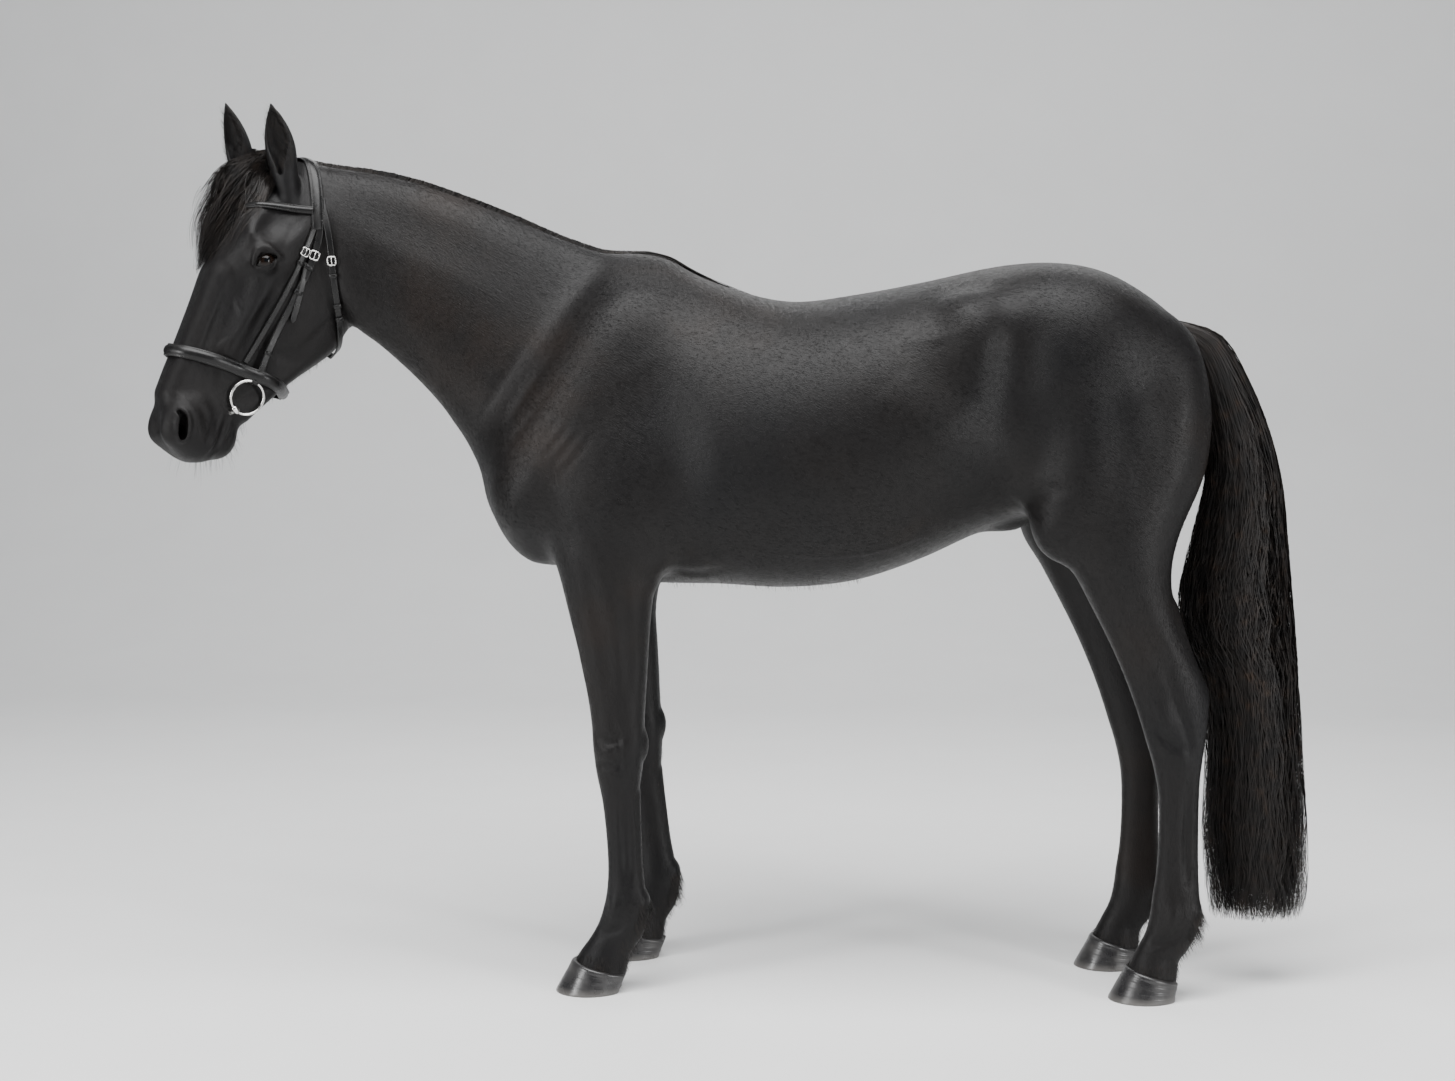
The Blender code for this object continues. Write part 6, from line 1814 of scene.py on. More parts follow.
def bit(skin, side, steel):
    """A loose ring, its thicker ferrule, and the mouthpiece going into the corner of the mouth."""
    middle, across, ahead = ring_axes(skin, side)
    angles = np.linspace(0, 2 * np.pi, 72, endpoint=False)[:, None]
    ring = middle + (ahead * np.cos(angles) + across * np.sin(angles)) * RING_RADIUS
    parts = [tube(ring, RING_WIRE, 14, closed=True)]
    mouth = from_head([(0.556, -0.052, -0.030 * SIDES[side])])[0]
    nearest = ring[np.argmin(np.linalg.norm(ring - mouth, axis=1))]
    way = mouth - nearest
    bar = [nearest - way * 0.06 + way * s for s in np.linspace(0, 1.0, 10)]
    parts.append(tube(bar, np.linspace(0.0058, 0.0075, 10), 16))
    start = int(np.argmin(np.linalg.norm(ring - nearest, axis=1)))
    sleeve = np.array([ring[(start + k) % 72] for k in range(-3, 4)])
    parts.append(tube(sleeve, [0.0034, 0.0064, 0.0070, 0.0070, 0.0070, 0.0064, 0.0034], 14))
    mesh = solid_mesh("bit", *join_parts(parts))
    link(f"steel_bit_{side}", mesh, steel, "steel", f"bit_{side}")
    high = ring[np.argmin(to_head(ring)[:, 0])]
    fold = [high + across * s for s in np.linspace(-0.0075, 0.0075, 8)]
    return tube(fold, [0.0046, 0.0060, 0.0062, 0.0062, 0.0062, 0.0062, 0.0060, 0.0046], 16)


def keeper(path, at, width, thickness):
    """A narrow loop of leather round a strap."""
    i = place_on(path, at)
    along, normal, across = (a[i] for a in strap_frames(path[0], path[1]))
    base = path[0][i] + normal * (path[2][i] + STRAP_ROOM * 0.4)
    half, high = width / 2 + 0.0012, thickness + 0.0016
    left = [(-half, 0.0), (-half, high * 0.8), (-half * 0.8, high)]
    outline = left + [(-a, b) for a, b in reversed(left)]
    rings = []
    for s, swell in ((-0.0042, 0.0), (-0.0036, 0.0005), (0.0036, 0.0005), (0.0042, 0.0)):
        wider = 1 + swell * 60
        ring = [base + along * s + across * (a * wider) + normal * (b + swell) for a, b in outline]
        rings.append(np.array(ring))
    return lofted(rings)


def bridle(skin, leather, steel):
    """Every strap, keeper, buckle and side of the bit."""
    width, thickness = NOSEBAND_SIZE
    path = joined_path(skin, NOSEBAND, 46, last=True)
    strap("noseband", path, width, thickness, leather, ("bridle_noseband",), PADDED_STRAP, closed=True)
    keepers, paths = [], {}
    for name, (stations, width, thickness, crosses, pieces, lift) in STRAPS.items():
        stations = [(u, v, w, more + lift) for u, v, w, more in stations]
        if crosses:
            path = joined_path(skin, stations, pieces)
            profile = PADDED_STRAP if name in ("browband", "headpiece") else FLAT_STRAP
            strap(name, path, width, thickness, leather, (f"bridle_{name}",), profile)
        for side in SIDES:
            own = strap_path(skin, stations, -SIDES[side], pieces)
            paths[name, side] = own
            if not crosses:
                strap(f"{name}_{side}", own, width, thickness, leather, (f"bridle_{name}_{side}",))
            for at in KEEPERS.get(name, ()):
                keepers.append(keeper(own, at, width, thickness + 0.003))
    for side in SIDES:
        keepers.append(bit(skin, side, steel))
        end = strap_path(skin, LOOSE_END, -SIDES[side], 30)
        strap(f"cheek_end_{side}", end, 0.0135, 0.0034, leather, point=True)
        for name, (stations, at, width, length, wire) in BUCKLES.items():
            parts = buckle_parts(paths[name, side], at, width, length, wire, STRAPS[name][2])
            mesh = solid_mesh("buckle", *join_parts(parts))
            link(f"steel_{name}_{side}", mesh, steel, "steel", f"buckle_{name}_{side}")
    mesh = solid_mesh("keepers", *join_parts(keepers))
    link("keepers", mesh, leather, "leather")


# ---------------------------------------------------------------- eyes
EYE_SIDES, EYE_RINGS = 64, 48
CORNEA_HALF, CORNEA_RISE = 0.016, 0.0016  # half its width, and how far it stands out of the ball
CORNEA_IOR = 1.376
PUPIL_HALF = (0.0078, 0.0040)  # half its length and height


def eyeball(side, finish):
    """An eye turned so that its own Z looks out and its own X runs to its inner corner."""
    middle, axes = eye_axes(side)
    angles = np.linspace(0, 2 * np.pi, EYE_SIDES, endpoint=False)
    rings = []
    for fall in np.linspace(0, np.pi, EYE_RINGS + 1)[1:-1]:
        off, up = EYE_SIZE * math.sin(fall), EYE_SIZE * math.cos(fall)
        if up > 0 and off < CORNEA_HALF:
            up += CORNEA_RISE * (1 - (off / CORNEA_HALF) ** 2)
        rings.append(np.stack([off * np.cos(angles), off * np.sin(angles), up + 0 * angles], 1))
    points, faces = lofted(rings, closed_ends=False)
    front, back = len(points), len(points) + 1
    last = len(points) - EYE_SIDES
    for k in range(EYE_SIDES):
        m = (k + 1) % EYE_SIDES
        faces += [(front, k, m), (back, last + m, last + k)]
    poles = [(0.0, 0.0, EYE_SIZE + CORNEA_RISE), (0.0, 0.0, -EYE_SIZE)]
    mesh = solid_mesh("eyeball", np.concatenate([points, poles]), faces)
    mesh.materials.append(finish)
    obj = bpy.data.objects.new(f"eyeball_{side}", mesh)
    bpy.context.collection.objects.link(obj)
    frame_axes = axes if np.linalg.det(axes) > 0 else axes * np.array((1.0, -1.0, 1.0))
    matrix = Matrix(frame_axes.tolist()).to_4x4()
    matrix.translation = Vector(middle) - ORIGIN
    obj.matrix_world = matrix
    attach(obj, "root")
    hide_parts(f"eye_{side}")
    return obj


# ---------------------------------------------------------------- finishes
class Finish:
    """A material built up node by node."""

    def __init__(self, name):
        self.made = bpy.data.materials.new(name)
        self.made.use_nodes = True
        self.tree = self.made.node_tree
        self.shader = self.tree.nodes["Principled BSDF"]

    def node(self, kind, inputs=None, **settings):
        """A shader node with its settings, and its inputs linked or set."""
        node = self.tree.nodes.new(f"ShaderNode{kind}")
        for key, value in settings.items():
            setattr(node, key, value)
        for key, value in (inputs or {}).items():
            if isinstance(value, bpy.types.NodeSocket):
                self.tree.links.new(value, node.inputs[key])
            else:
                node.inputs[key].default_value = value
        return node

    def set(self, **inputs):
        """Link or set inputs of the shader itself."""
        for key, value in inputs.items():
            socket = self.shader.inputs[key.replace("_", " ")]
            if isinstance(value, bpy.types.NodeSocket):
                self.tree.links.new(value, socket)
            else:
                socket.default_value = value

    def place(self, scale=(1, 1, 1)):
        """Places in the object's own units, stretched by a scale."""
        source = self.node("TexCoord").outputs["Object"]
        return self.node("Mapping", {"Vector": source, "Scale": scale}).outputs["Vector"]

    def noise(self, where, scale, detail=3.0):
        """Even noise from 0 to 1."""
        inputs = {"Vector": where, "Scale": scale, "Detail": detail, "Roughness": 0.55}
        return self.node("TexNoise", inputs).outputs["Fac"]

    def rise(self, value, low, high):
        """A rise from 0 at low to 1 at high."""
        return self.node("MapRange", {"Value": value, "From Min": low, "From Max": high}).outputs[0]

    def mix(self, fac, a, b, blend="MIX"):
        """Two colours mixed."""
        inputs = {"Factor": fac, "A": a, "B": b}
        return self.node("Mix", inputs, data_type="RGBA", blend_type=blend).outputs["Result"]

    def mix_values(self, fac, a, b):
        """Two numbers mixed."""
        return self.node("Mix", {"Factor": fac, "A": a, "B": b}, data_type="FLOAT").outputs[0]

    def dot(self, where, way):
        """How far a place lies along a way."""
        return self.node("VectorMath", {0: where, 1: way}, operation="DOT_PRODUCT").outputs["Value"]

    def ramp(self, fac, *stops):
        """Colours or greys at places from 0 to 1."""
        node = self.node("ValToRGB", {"Fac": fac})
        elements = node.color_ramp.elements
        while len(elements) < len(stops):
            elements.new(0.5)
        for element, (at, colour) in zip(elements, stops):
            element.position = at
            element.color = (*((colour,) * 3 if isinstance(colour, float) else colour), 1.0)
        return node.outputs["Color"]

    def bump(self, height, strength, distance, normal=None):
        """A bump, laid over another one where that is given."""
        inputs = {"Height": height, "Strength": strength, "Distance": distance}
        if normal is not None:
            inputs["Normal"] = normal
        return self.node("Bump", inputs).outputs["Normal"]


def across(way):
    """Two directions square to a way and to each other."""
    way = np.asarray(way, float) / np.linalg.norm(way)
    side = np.cross(way, (0.13, 1.0, 0.07))
    side /= np.linalg.norm(side)
    return way, side, np.cross(way, side)


def grain(coat, where, way, along=70.0, fine=620.0):
    """Streaks of noise that run one way."""
    parts = []
    for axis, scale in zip(across(way), (along, fine, fine)):
        parts.append(coat.dot(where, tuple(float(a * scale) for a in axis)))
    place = coat.node("CombineXYZ", dict(zip("XYZ", parts))).outputs["Vector"]
    return coat.noise(place, 1.0, 2.0)


def coat_finish(name):
    """Sleek black hair: streaks along the lie of each part, and a brown tinge where it thins."""
    coat = Finish(name)
    where = coat.place()
    height = coat.node("SeparateXYZ", {"Vector": where}).outputs["Z"]
    point, normal = (np.array(p) for p in JOIN_PLANE)
    normal = normal / np.linalg.norm(normal)
    past = coat.dot(where, tuple(float(n) for n in normal))
    offset = float((point - np.array(ORIGIN)) @ normal)
    behind = coat.rise(past, offset - 0.05, offset + 0.05)
    body = coat.rise(height, 0.84, 0.98)
    down_legs, back = grain(coat, where, (0.10, 0.0, -1.0)), grain(coat, where, (0.86, 0.0, -0.50))
    down_face = grain(coat, where, HEAD[:, 0], 110.0, 900.0)
    streaks = coat.mix_values(behind, down_face, coat.mix_values(body, down_legs, back))
    black, dull, brown = (0.0046, 0.0044, 0.0047), (0.0066, 0.0058, 0.0056), (0.0135, 0.0090, 0.0068)
    colour = coat.ramp(coat.noise(where, 2.4, 4.0), (0.36, black), (0.58, dull), (0.80, brown))
    coat.set(Base_Color=colour, Specular_IOR_Level=0.17)
    coat.set(Roughness=coat.ramp(coat.noise(where, 90.0, 3.0), (0.3, 0.38), (0.7, 0.50)))
    shallow = coat.bump(streaks, 0.50, 0.0013)
    coat.set(Normal=coat.bump(coat.noise(where, 150.0, 3.0), 0.16, 0.0022, shallow))
    return coat.made


def hair_finish(name, brown):
    """Long black hair, some of it bleached brown."""
    hair = Finish(name)
    where = hair.place()
    black, dull = (0.0075, 0.0068, 0.0066), (0.0135, 0.0108, 0.0095)
    colour = hair.ramp(hair.noise(where, 30.0), (0.35, black), (0.60, dull), (0.80, brown))
    hair.set(Base_Color=colour, Roughness=0.54, Specular_IOR_Level=0.20)
    return hair.made


def horn_finish():
    """Slate-grey horn: faint growth rings, fibres running down, and worn paler patches."""
    horn = Finish("horn")
    where = horn.place()
    rings = horn.noise(horn.place(scale=(5.0, 5.0, 190.0)), 1.0, 3.0)
    fibres = horn.noise(horn.place(scale=(380.0, 380.0, 16.0)), 1.0, 2.0)
    worn = horn.noise(where, 26.0, 4.0)
    dark, slate, pale = (0.014, 0.0135, 0.014), (0.024, 0.023, 0.023), (0.046, 0.044, 0.042)
    base = horn.ramp(worn, (0.34, dark), (0.55, slate), (0.78, pale))
    light = horn.ramp(rings, (0.38, (0.88, 0.88, 0.89)), (0.66, (1.12, 1.11, 1.10)))
    height = horn.node("SeparateXYZ", {"Vector": where}).outputs["Z"]
    dust = horn.ramp(height, (0.004, (0.060, 0.057, 0.053)), (0.016, (0.0, 0.0, 0.0)))
    horn.set(Base_Color=horn.mix(1.0, horn.mix(0.55, base, light, "MULTIPLY"), dust, "ADD"))
    horn.set(Roughness=horn.ramp(worn, (0.3, 0.22), (0.7, 0.40)))
    normal = horn.bump(rings, 0.10, 0.0006)
    horn.set(Normal=horn.bump(fibres, 0.16, 0.0005, normal))
    return horn.made


def leather_finish():
    """Black leather with a fine grain, and a line of stitches near each edge of a strap."""
    leather = Finish("leather")
    where = leather.place()
    pores = leather.node("TexVoronoi", {"Vector": where, "Scale": 900.0}).outputs["Distance"]
    black, worn = (0.0028, 0.0028, 0.0030), (0.0062, 0.0058, 0.0056)
    colour = leather.ramp(leather.noise(where, 40.0), (0.3, black), (0.7, worn))
    strap_map = leather.node("UVMap", uv_map="strap").outputs["UV"]
    split = leather.node("SeparateXYZ", {"Vector": strap_map})
    out = leather.node("Math", {0: split.outputs["X"]}, operation="ABSOLUTE").outputs[0]
    band = leather.ramp(out, (0.700, 0.0), (0.735, 1.0), (0.775, 1.0), (0.810, 0.0))
    run = leather.node("Math", {0: split.outputs["Y"], 1: 1 / STITCH_STEP}, operation="MULTIPLY").outputs[0]
    part = leather.node("Math", {0: run}, operation="FRACT").outputs[0]
    dash = leather.ramp(part, (0.08, 0.0), (0.16, 1.0), (0.76, 1.0), (0.84, 0.0))
    thread = leather.node("Math", {0: band, 1: dash}, operation="MULTIPLY").outputs[0]
    leather.set(Base_Color=leather.mix(thread, colour, (0.022, 0.021, 0.020, 1.0)), Specular_IOR_Level=0.28)
    leather.set(Roughness=leather.ramp(leather.noise(where, 60.0), (0.3, 0.24), (0.7, 0.38)))
    normal = leather.bump(pores, 0.18, 0.0004)
    leather.set(Normal=leather.bump(thread, 0.6, 0.0006, normal))
    return leather.made


def steel_finish():
    """Bright steel, a little uneven from wear."""
    steel = Finish("steel")
    where = steel.place()
    colour = steel.ramp(steel.noise(where, 60.0), (0.3, (0.56, 0.55, 0.53)), (0.7, (0.70, 0.69, 0.67)))
    steel.set(Metallic=1.0, Base_Color=colour)
    steel.set(Roughness=steel.ramp(steel.noise(where, 240.0), (0.3, 0.14), (0.7, 0.30)))
    return steel.made


def eye_finish():
    """Dark brown iris round a pupil that lies level, under a wet clear surface."""
    eye = Finish("eye")
    where = eye.place()
    flat = eye.node("VectorMath", {0: where, 1: (1.0, 1.0, 0.0)}, operation="MULTIPLY").outputs[0]
    off = eye.node("VectorMath", {0: flat}, operation="LENGTH").outputs["Value"]
    iris = eye.ramp(
        off,
        (0.0040, (0.0030, 0.0022, 0.0018)),
        (0.0100, (0.0080, 0.0042, 0.0026)),
        (0.0150, (0.0055, 0.0032, 0.0022)),
        (0.0166, (0.003, 0.0024, 0.0022)),
    )
    shares = (1 / PUPIL_HALF[0], 1 / PUPIL_HALF[1], 0.0)
    wide = eye.node("VectorMath", {0: where, 1: shares}, operation="MULTIPLY").outputs[0]
    oval = eye.node("VectorMath", {0: wide}, operation="LENGTH").outputs["Value"]
    pupil = eye.ramp(oval, (0.86, 0.0), (1.0, 1.0))
    colour = eye.mix(pupil, (0.0015, 0.0018, 0.0024, 1.0), iris)
    eye.set(Base_Color=colour, Roughness=0.05, IOR=CORNEA_IOR, Specular_IOR_Level=0.32)
    return eye.made


# ---------------------------------------------------------------- coat pieces
COAT_REGIONS = {  # tufts, length, width, rise
    "head": (18000, 0.0050, 0.0009, 0.0005),
    "neck": (28000, 0.0090, 0.0011, 0.0008),
    "trunk": (60000, 0.0105, 0.0012, 0.0009),
    "forelegs": (18000, 0.0070, 0.0011, 0.0008),
    "hindlegs": (26000, 0.0075, 0.0011, 0.0008),
}


HEAD_REGION, NECK_REGION, TRUNK_REGION, FORE_REGION, HIND_REGION = range(5)  # in the same order
HOOF_TOP = 0.050
LEG_TOP = 1.0
NECK_END = -0.40  # where the neck's tufts give way to the trunk's
FORELEGS_FROM, FORELEGS_TO, HINDLEGS_FROM = -0.5, 0.05, 0.62


def region_of(points):
    """Which region of the coat each point lies in, as an index into COAT_REGIONS."""
    x, y, z = points.T
    away = beyond_join(points)
    legs = z < LEG_TOP
    index = np.full(len(points), TRUNK_REGION)
    index[(x < NECK_END) & (away >= 0)] = NECK_REGION
    index[away < 0] = HEAD_REGION
    index[legs & (x < FORELEGS_TO) & (x > FORELEGS_FROM) & (np.abs(y) > 0.03)] = FORE_REGION
    index[legs & (x > HINDLEGS_FROM)] = HIND_REGION
    return index


def bare(points):
    """Where no tufts grow: the eyes, the nostrils and the hoofs."""
    return near_places(points, BARE_PLACES) | (points[:, 2] < HOOF_TOP)


def coat_pieces(rng, skin, finish):
    """The short coat, one piece of tufts for each region."""
    for index, (region, (count, length, width, rise)) in enumerate(COAT_REGIONS.items()):
        def chance(middles):
            return ((region_of(middles) == index) & ~bare(middles)).astype(float)

        places, normals = skin.scatter(rng, count, chance)
        points, faces, uv, tilt = blades(rng, places, normals, length, width, rise, region)
        mesh = array_mesh(f"coat_{region}", points, faces, uv, tilt)
        link(f"coat_{region}", mesh, finish, "coat")


# ---------------------------------------------------------------- longer hair that breaks the form
def wisps(rng, places, normals, way, length, width, rise, curl, steps=6):
    """Paths of thin hairs that leave the skin, bending as they go."""
    count = len(places)
    t = np.linspace(0, 1, steps)[None, :, None]
    way = way + rng.normal(0, 0.12, (count, 3))
    way /= np.linalg.norm(way, axis=1, keepdims=True)
    long = (length * rng.uniform(0.55, 1.15, count))[:, None, None]
    out = rise * (t - curl * t * t)
    paths = places[:, None] - normals[:, None] * 0.0006 + long * (way[:, None] * t + normals[:, None] * out)
    widths = width * (1 - 0.75 * t[:, :, 0]) * np.ones((count, 1))
    facing = np.repeat(normals[:, None], steps, 1)
    return paths, widths, facing


def behind_leg(points):
    """How far each point lies behind the middle of its own leg."""
    x, y, z = points.T
    fore = x < 0.3
    middle = np.zeros(len(points))
    for leg, rows, path in ((True, FORE_LEG, FORE_STEP), (False, HIND_LEG, HIND_STEP)):
        table = np.array(rows)[::-1]
        heights = (table[:, 1] + table[:, 3]) / 2
        for side, sign in SIDES.items():
            some = (fore == leg) & (np.sign(y) == sign)
            step = np.interp(z[some], *zip(*path[side]))
            middle[some] = np.interp(z[some], heights, (table[:, 0] + table[:, 2]) / 2) + step
    return x - middle


ALL_ROUND = -1.0
FRINGES = (  # hairs, lowest, highest, how far behind the leg, lean back, length, width, rise, curl, flare
    (2200, 0.140, 0.200, 0.028, 0.28, 0.030, 0.0008, 0.16, 0.2, 0.0),  # the tufts of the fetlocks
    (1200, 0.085, 0.140, 0.018, 0.20, 0.014, 0.0008, 0.14, 0.4, 0.30),  # behind the pasterns
    (1500, 0.215, 0.480, 0.022, 0.25, 0.010, 0.0007, 0.22, 0.6, 0.0),  # behind the cannons
    (700, 0.560, 0.900, 0.050, 0.25, 0.012, 0.0007, 0.18, 0.6, 0.0),  # behind the upper legs
    (4200, 0.048, 0.084, ALL_ROUND, 0.0, 0.014, 0.0008, 0.10, 0.3, 0.30),  # over the coronets
)


def leg_fringes(rng, skin, finish):
    """Tufts behind the fetlocks, hair over the coronets, and thin fringes down the backs of the legs."""
    few = 1.0
    made = []
    for count, low, high, reach, back, length, width, rise, curl, flare in FRINGES:

        def chance(points):
            there = (points[:, 2] > low) & (points[:, 2] < high) & (behind_leg(points) > reach)
            return there.astype(float)

        places, normals = skin.scatter(rng, int(count * few), chance)
        way = np.array((back, 0.0, -1.0)) + 0 * places
        way = way - normals * np.minimum(0, (way * normals).sum(1, keepdims=True))
        way = way + normals * np.array((flare, flare, 0.0))
        made.append(wisps(rng, places, normals, way, length, width, rise, curl))
    hair_piece("leg_fringes", rng, finish, joined(made), "legs", roll=0.5)


def joined(made):
    """Several sets of strands as one."""
    return tuple(np.concatenate(parts) for parts in zip(*made))


ANY = math.inf
FEELERS = (  # least and most u, most v, half width, how far past the join; hairs, length, width, rise
    ((0.575, ANY, 0.02, ANY, 0.0), 70, 0.024, 0.00050, 1.6),  # on the muzzle
    ((0.555, 0.66, -0.060, ANY, 0.0), 130, 0.020, 0.00055, 0.9),  # on the chin
    ((0.25, 0.50, -0.10, 0.035, -0.02), 300, 0.010, 0.00060, 0.30),  # between the jaws
)
LASHES = 54
EAR_HAIR_FROM, EAR_HAIR_TO = 0.10, 0.92  # as shares of the ear's length
EAR_HAIR_REACH = 0.045  # from the ear's middle line


def face_hairs(rng, skin, finish):
    """Lashes, feelers round the muzzle, chin hair, hair between the jaws, and the tufts inside the ears."""
    made = []
    down = HEAD @ np.array((1.0, -0.3, 0.0))
    for (least_u, most_u, most_v, half, past), count, length, width, rise in FEELERS:

        def chance(points):
            u, v, w = to_head(points).T
            there = (u > least_u) & (u < most_u) & (v < most_v) & (np.abs(w) < half)
            return (there & (beyond_join(points) < past)).astype(float)

        places, normals = skin.scatter(rng, count, chance)
        made.append(wisps(rng, places, normals, down + 0 * places, length, width, rise, 0.35))
    for side in SIDES:
        middle, axes = eye_axes(side)
        arc = lid_arc(middle, axes, SLIT_UP + 0.0004, SLIT_HALF * 0.92, EYE_SIZE + 0.0030, LASHES)
        out = axes[:, 2] * 0.9 + axes[:, 1] * 0.55
        spread = np.linspace(-1, 1, LASHES)[:, None] * axes[:, 0] * 0.35
        normals = np.repeat([axes[:, 1]], LASHES, 0)
        made.append(wisps(rng, arc, normals, out + spread, 0.011, 0.00055, 0.25, -0.6))
        base, length, ear = ear_axes(side)

        def inside_ear(points):
            q = (points - base) @ ear
            within = (q[:, 0] > EAR_HAIR_FROM * length) & (q[:, 0] < EAR_HAIR_TO * length)
            within = np.flatnonzero(within & (np.linalg.norm(q[:, 1:], axis=1) < EAR_HAIR_REACH))
            _, normals = skin.near(points[within])
            found = np.zeros(len(points))
            found[within] = normals @ ear[:, 1] > 0.25
            return found

        places, normals = skin.scatter(rng, 900, inside_ear)
        q = (places - base) @ ear
        way = ear[:, 0] * 0.9 + ear[:, 1] * 0.45 - ear[:, 2] * (np.sign(q[:, 2:3]) * 0.35)
        made.append(wisps(rng, places, normals, way, 0.017, 0.00070, 0.30, 0.2))
    hair_piece("face_hairs", rng, finish, joined(made), "head", roll=0.5)


CHESTNUT_HALF = (0.0085, 0.0045)
CHESTNUT_REACH = 0.024  # how far each end stands from its middle
CHESTNUT_RINGS, CHESTNUT_SIDES = 8, 20
CHESTNUTS = ((-0.222, 0.640, FORE_STEP, 8.0), (0.985, 0.520, HIND_STEP, -6.0))  # x, z, leg, tilt


def chestnuts(flesh, horn, rng):
    """The small pads of horn inside the legs."""
    parts = []
    angles = np.linspace(0, 2 * np.pi, CHESTNUT_SIDES, endpoint=False)
    for x, z, path, tilt in CHESTNUTS:
        for side, y in SIDES.items():
            start = (x + step_at(path[side], z), 0.02 * y, z)
            met = flesh.meet([start], [(0.0, y, 0.0)], 0.20, 160)[0]
            rings = []
            for k in range(CHESTNUT_RINGS + 1):
                along = math.cos(math.pi * k / CHESTNUT_RINGS)
                wide = max(0.02, math.sin(math.pi * k / CHESTNUT_RINGS) ** 0.8)
                rough = 1 + rng.normal(0, 0.06, CHESTNUT_SIDES)
                ring_x = np.cos(angles) * CHESTNUT_HALF[0] * wide * rough
                ring_y = np.sin(angles) * CHESTNUT_HALF[1] * wide * rough
                ring = np.stack([ring_x, ring_y, 0 * angles + CHESTNUT_REACH * along], 1)
                rings.append(ring @ np.array(turned(pitch=tilt)).T + met)
            parts.append(lofted(rings))
    mesh = solid_mesh("chestnuts", *join_parts(parts))
    link("chestnuts", mesh, horn, "horn")


# ---------------------------------------------------------------- stage and camera
CAMERA_AT = (0.2863, -4.4636, 1.27)
CAMERA_TURN, CAMERA_DROP = math.radians(4.0), math.radians(3.9)
LENS, SENSOR = 50.99, 36.0
FLOOR_FRONT, FLOOR_HALF = -14.0, 16.0
SWEEP_AT, SWEEP_RADIUS, WALL_TOP = 4.0, 3.0, 12.0  # where the floor begins to turn up into a wall
WORLD_COLOUR, WORLD_STRENGTH = (0.80, 0.84, 0.90, 1.0), 0.26
LIGHTS = (  # place, where it points, size, watts
    ("above", (0.0, -1.6, 5.0), (0.0, 0.0, 1.0), (5.0, 3.4), 560.0),
    ("left", (-4.6, -3.9, 1.9), (0.0, 0.0, 0.9), (1.2, 2.8), 230.0),
    ("right", (4.8, -3.2, 1.7), (0.3, 0.0, 0.8), (1.0, 2.8), 190.0),
    ("behind", (0.5, 3.4, 4.6), (0.0, 0.0, 1.2), (5.0, 2.4), 90.0),
)


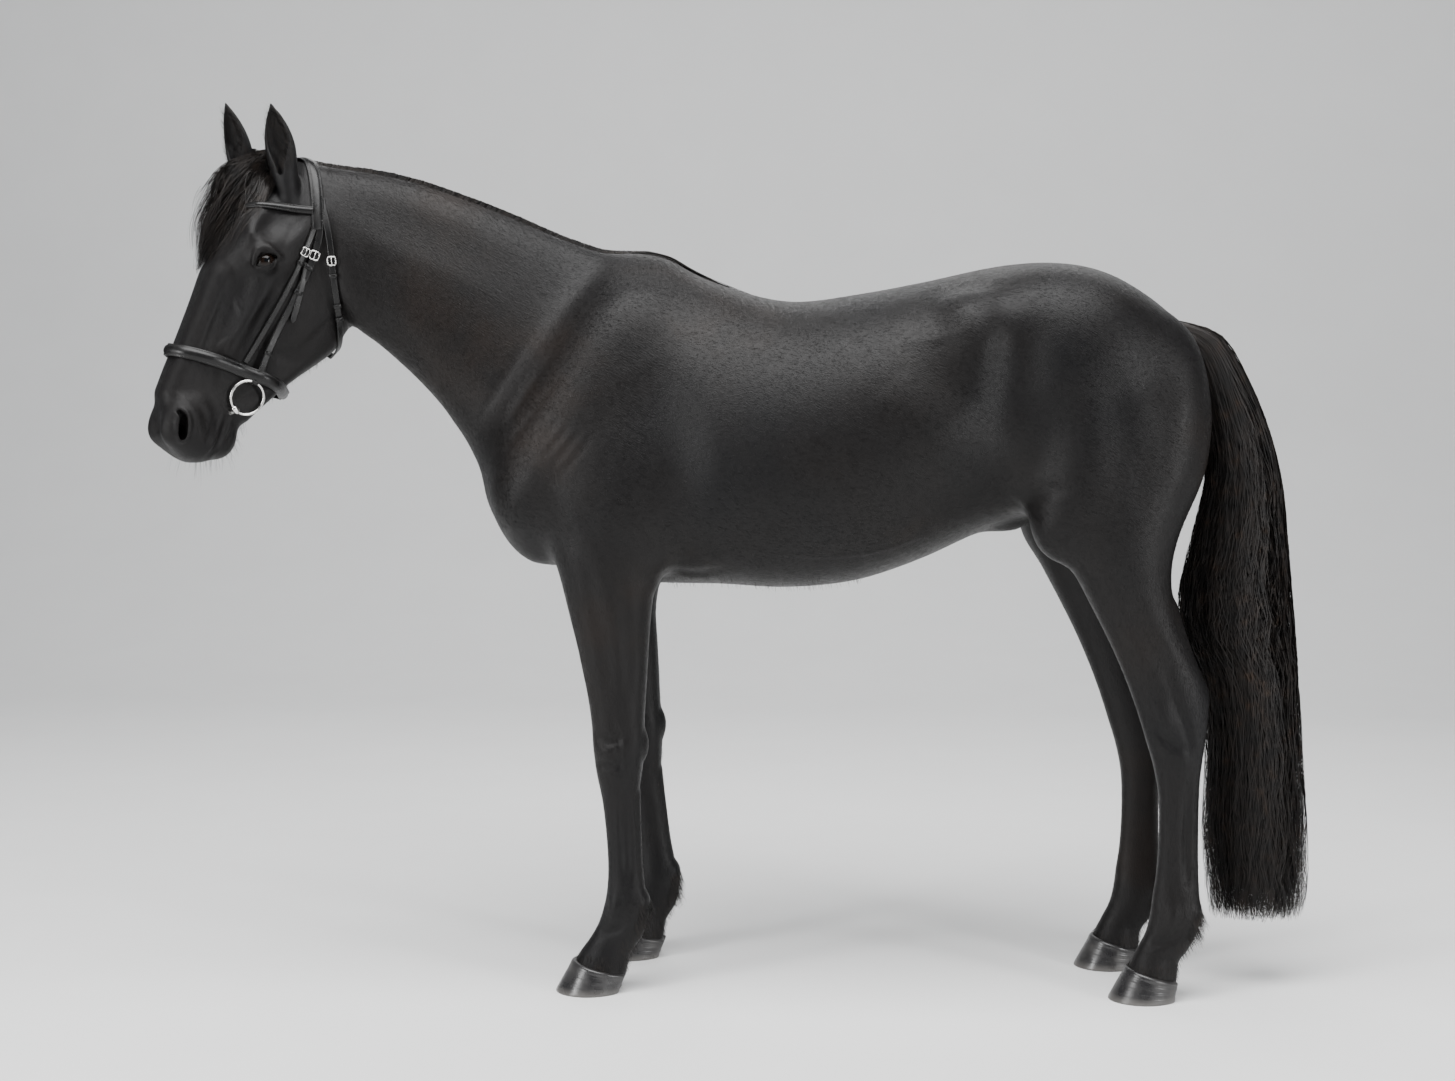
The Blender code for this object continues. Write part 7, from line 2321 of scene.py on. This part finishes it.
def stage():
    """A pale floor that sweeps up into a wall, a dim world and four soft lights."""
    ground = Finish("ground")
    pale, paler = (0.80, 0.80, 0.795), (0.82, 0.82, 0.815)
    colour = ground.ramp(ground.noise(ground.place(), 3.0), (0.3, pale), (0.7, paler))
    ground.set(Base_Color=colour, Roughness=0.75)
    profile = [(FLOOR_FRONT, 0.0), (SWEEP_AT, 0.0)]
    for a in np.linspace(0.1, math.pi / 2, 16):
        profile.append((SWEEP_AT + SWEEP_RADIUS * math.sin(a), SWEEP_RADIUS - SWEEP_RADIUS * math.cos(a)))
    profile.append((SWEEP_AT + SWEEP_RADIUS, WALL_TOP))
    points = [(x, y, z) for x in (-FLOOR_HALF, FLOOR_HALF) for y, z in profile]
    n = len(profile)
    faces = [(k, k + n, k + n + 1, k + 1) for k in range(n - 1)]
    mesh = bpy.data.meshes.new("backdrop")
    mesh.from_pydata(points, [], faces)
    mesh.shade_smooth()
    mesh.materials.append(ground.made)
    floor = bpy.data.objects.new("backdrop", mesh)
    bpy.context.collection.objects.link(floor)
    world = bpy.data.worlds.new("studio")
    bpy.context.scene.world = world
    world.use_nodes = True
    background = world.node_tree.nodes["Background"]
    background.inputs["Color"].default_value = WORLD_COLOUR
    background.inputs["Strength"].default_value = WORLD_STRENGTH
    for name, place, target, size, power in LIGHTS:
        light = bpy.data.lights.new(name, "AREA")
        light.shape = "RECTANGLE"
        light.size, light.size_y = size
        light.energy = power
        obj = bpy.data.objects.new(name, light)
        obj.location = place
        obj.rotation_euler = (Vector(target) - Vector(place)).to_track_quat("-Z", "Y").to_euler()
        bpy.context.collection.objects.link(obj)


def camera():
    """The camera, level with the horse's flank and turned a little towards its head."""
    data = bpy.data.cameras.new("camera")
    data.lens, data.sensor_width = LENS, SENSOR
    obj = bpy.data.objects.new("camera", data)
    obj.location = CAMERA_AT
    obj.rotation_euler = (math.pi / 2 - CAMERA_DROP, 0.0, CAMERA_TURN)
    bpy.context.collection.objects.link(obj)
    bpy.context.scene.camera = obj


def main():
    """Build every piece of the horse, then the stage and the camera."""
    rng = np.random.default_rng(20)
    flesh = Flesh(body_parts())
    extra = [part for side in SIDES for part in face_lines(flesh, side)]
    for side in SIDES:
        extra.append((ear_shape(side), 0.012))
        extra += lids(side) + muzzle(flesh, side)
    flesh.add(extra)
    mesh = skin_mesh(flesh)
    skin = Skin(mesh)
    coat = coat_finish("coat")
    paired = [f"{part}_{side}" for part in ("foreleg", "hindleg", "ear") for side in SIDES]
    link("skin", mesh, coat, "coat", "trunk", "neck", "head", *paired)
    coat_pieces(rng, skin, coat)
    hair, tips = hair_finish("hair", (0.020, 0.014, 0.010)), hair_finish("tail_hair", (0.030, 0.018, 0.011))
    tail_pieces(rng, tips, hair)
    hair_piece("mane_hair", rng, hair, mane_hair(rng, skin), "neck", "mane")
    hair_piece("withers_hair", rng, hair, withers_hair(rng, skin), "trunk")
    hair_piece("forelock_hair", rng, hair, forelock_hair(rng, skin), "head", "forelock")
    leg_fringes(rng, skin, hair)
    face_hairs(rng, skin, hair)
    horn = horn_finish()
    chestnuts(flesh, horn, rng)
    for leg in HOOFS:
        for side in SIDES:
            hoof(leg, side, horn, rng)
    bridle(skin, leather_finish(), steel_finish())
    glass = eye_finish()
    for side in SIDES:
        eyeball(side, glass)
    stage()
    camera()


main()
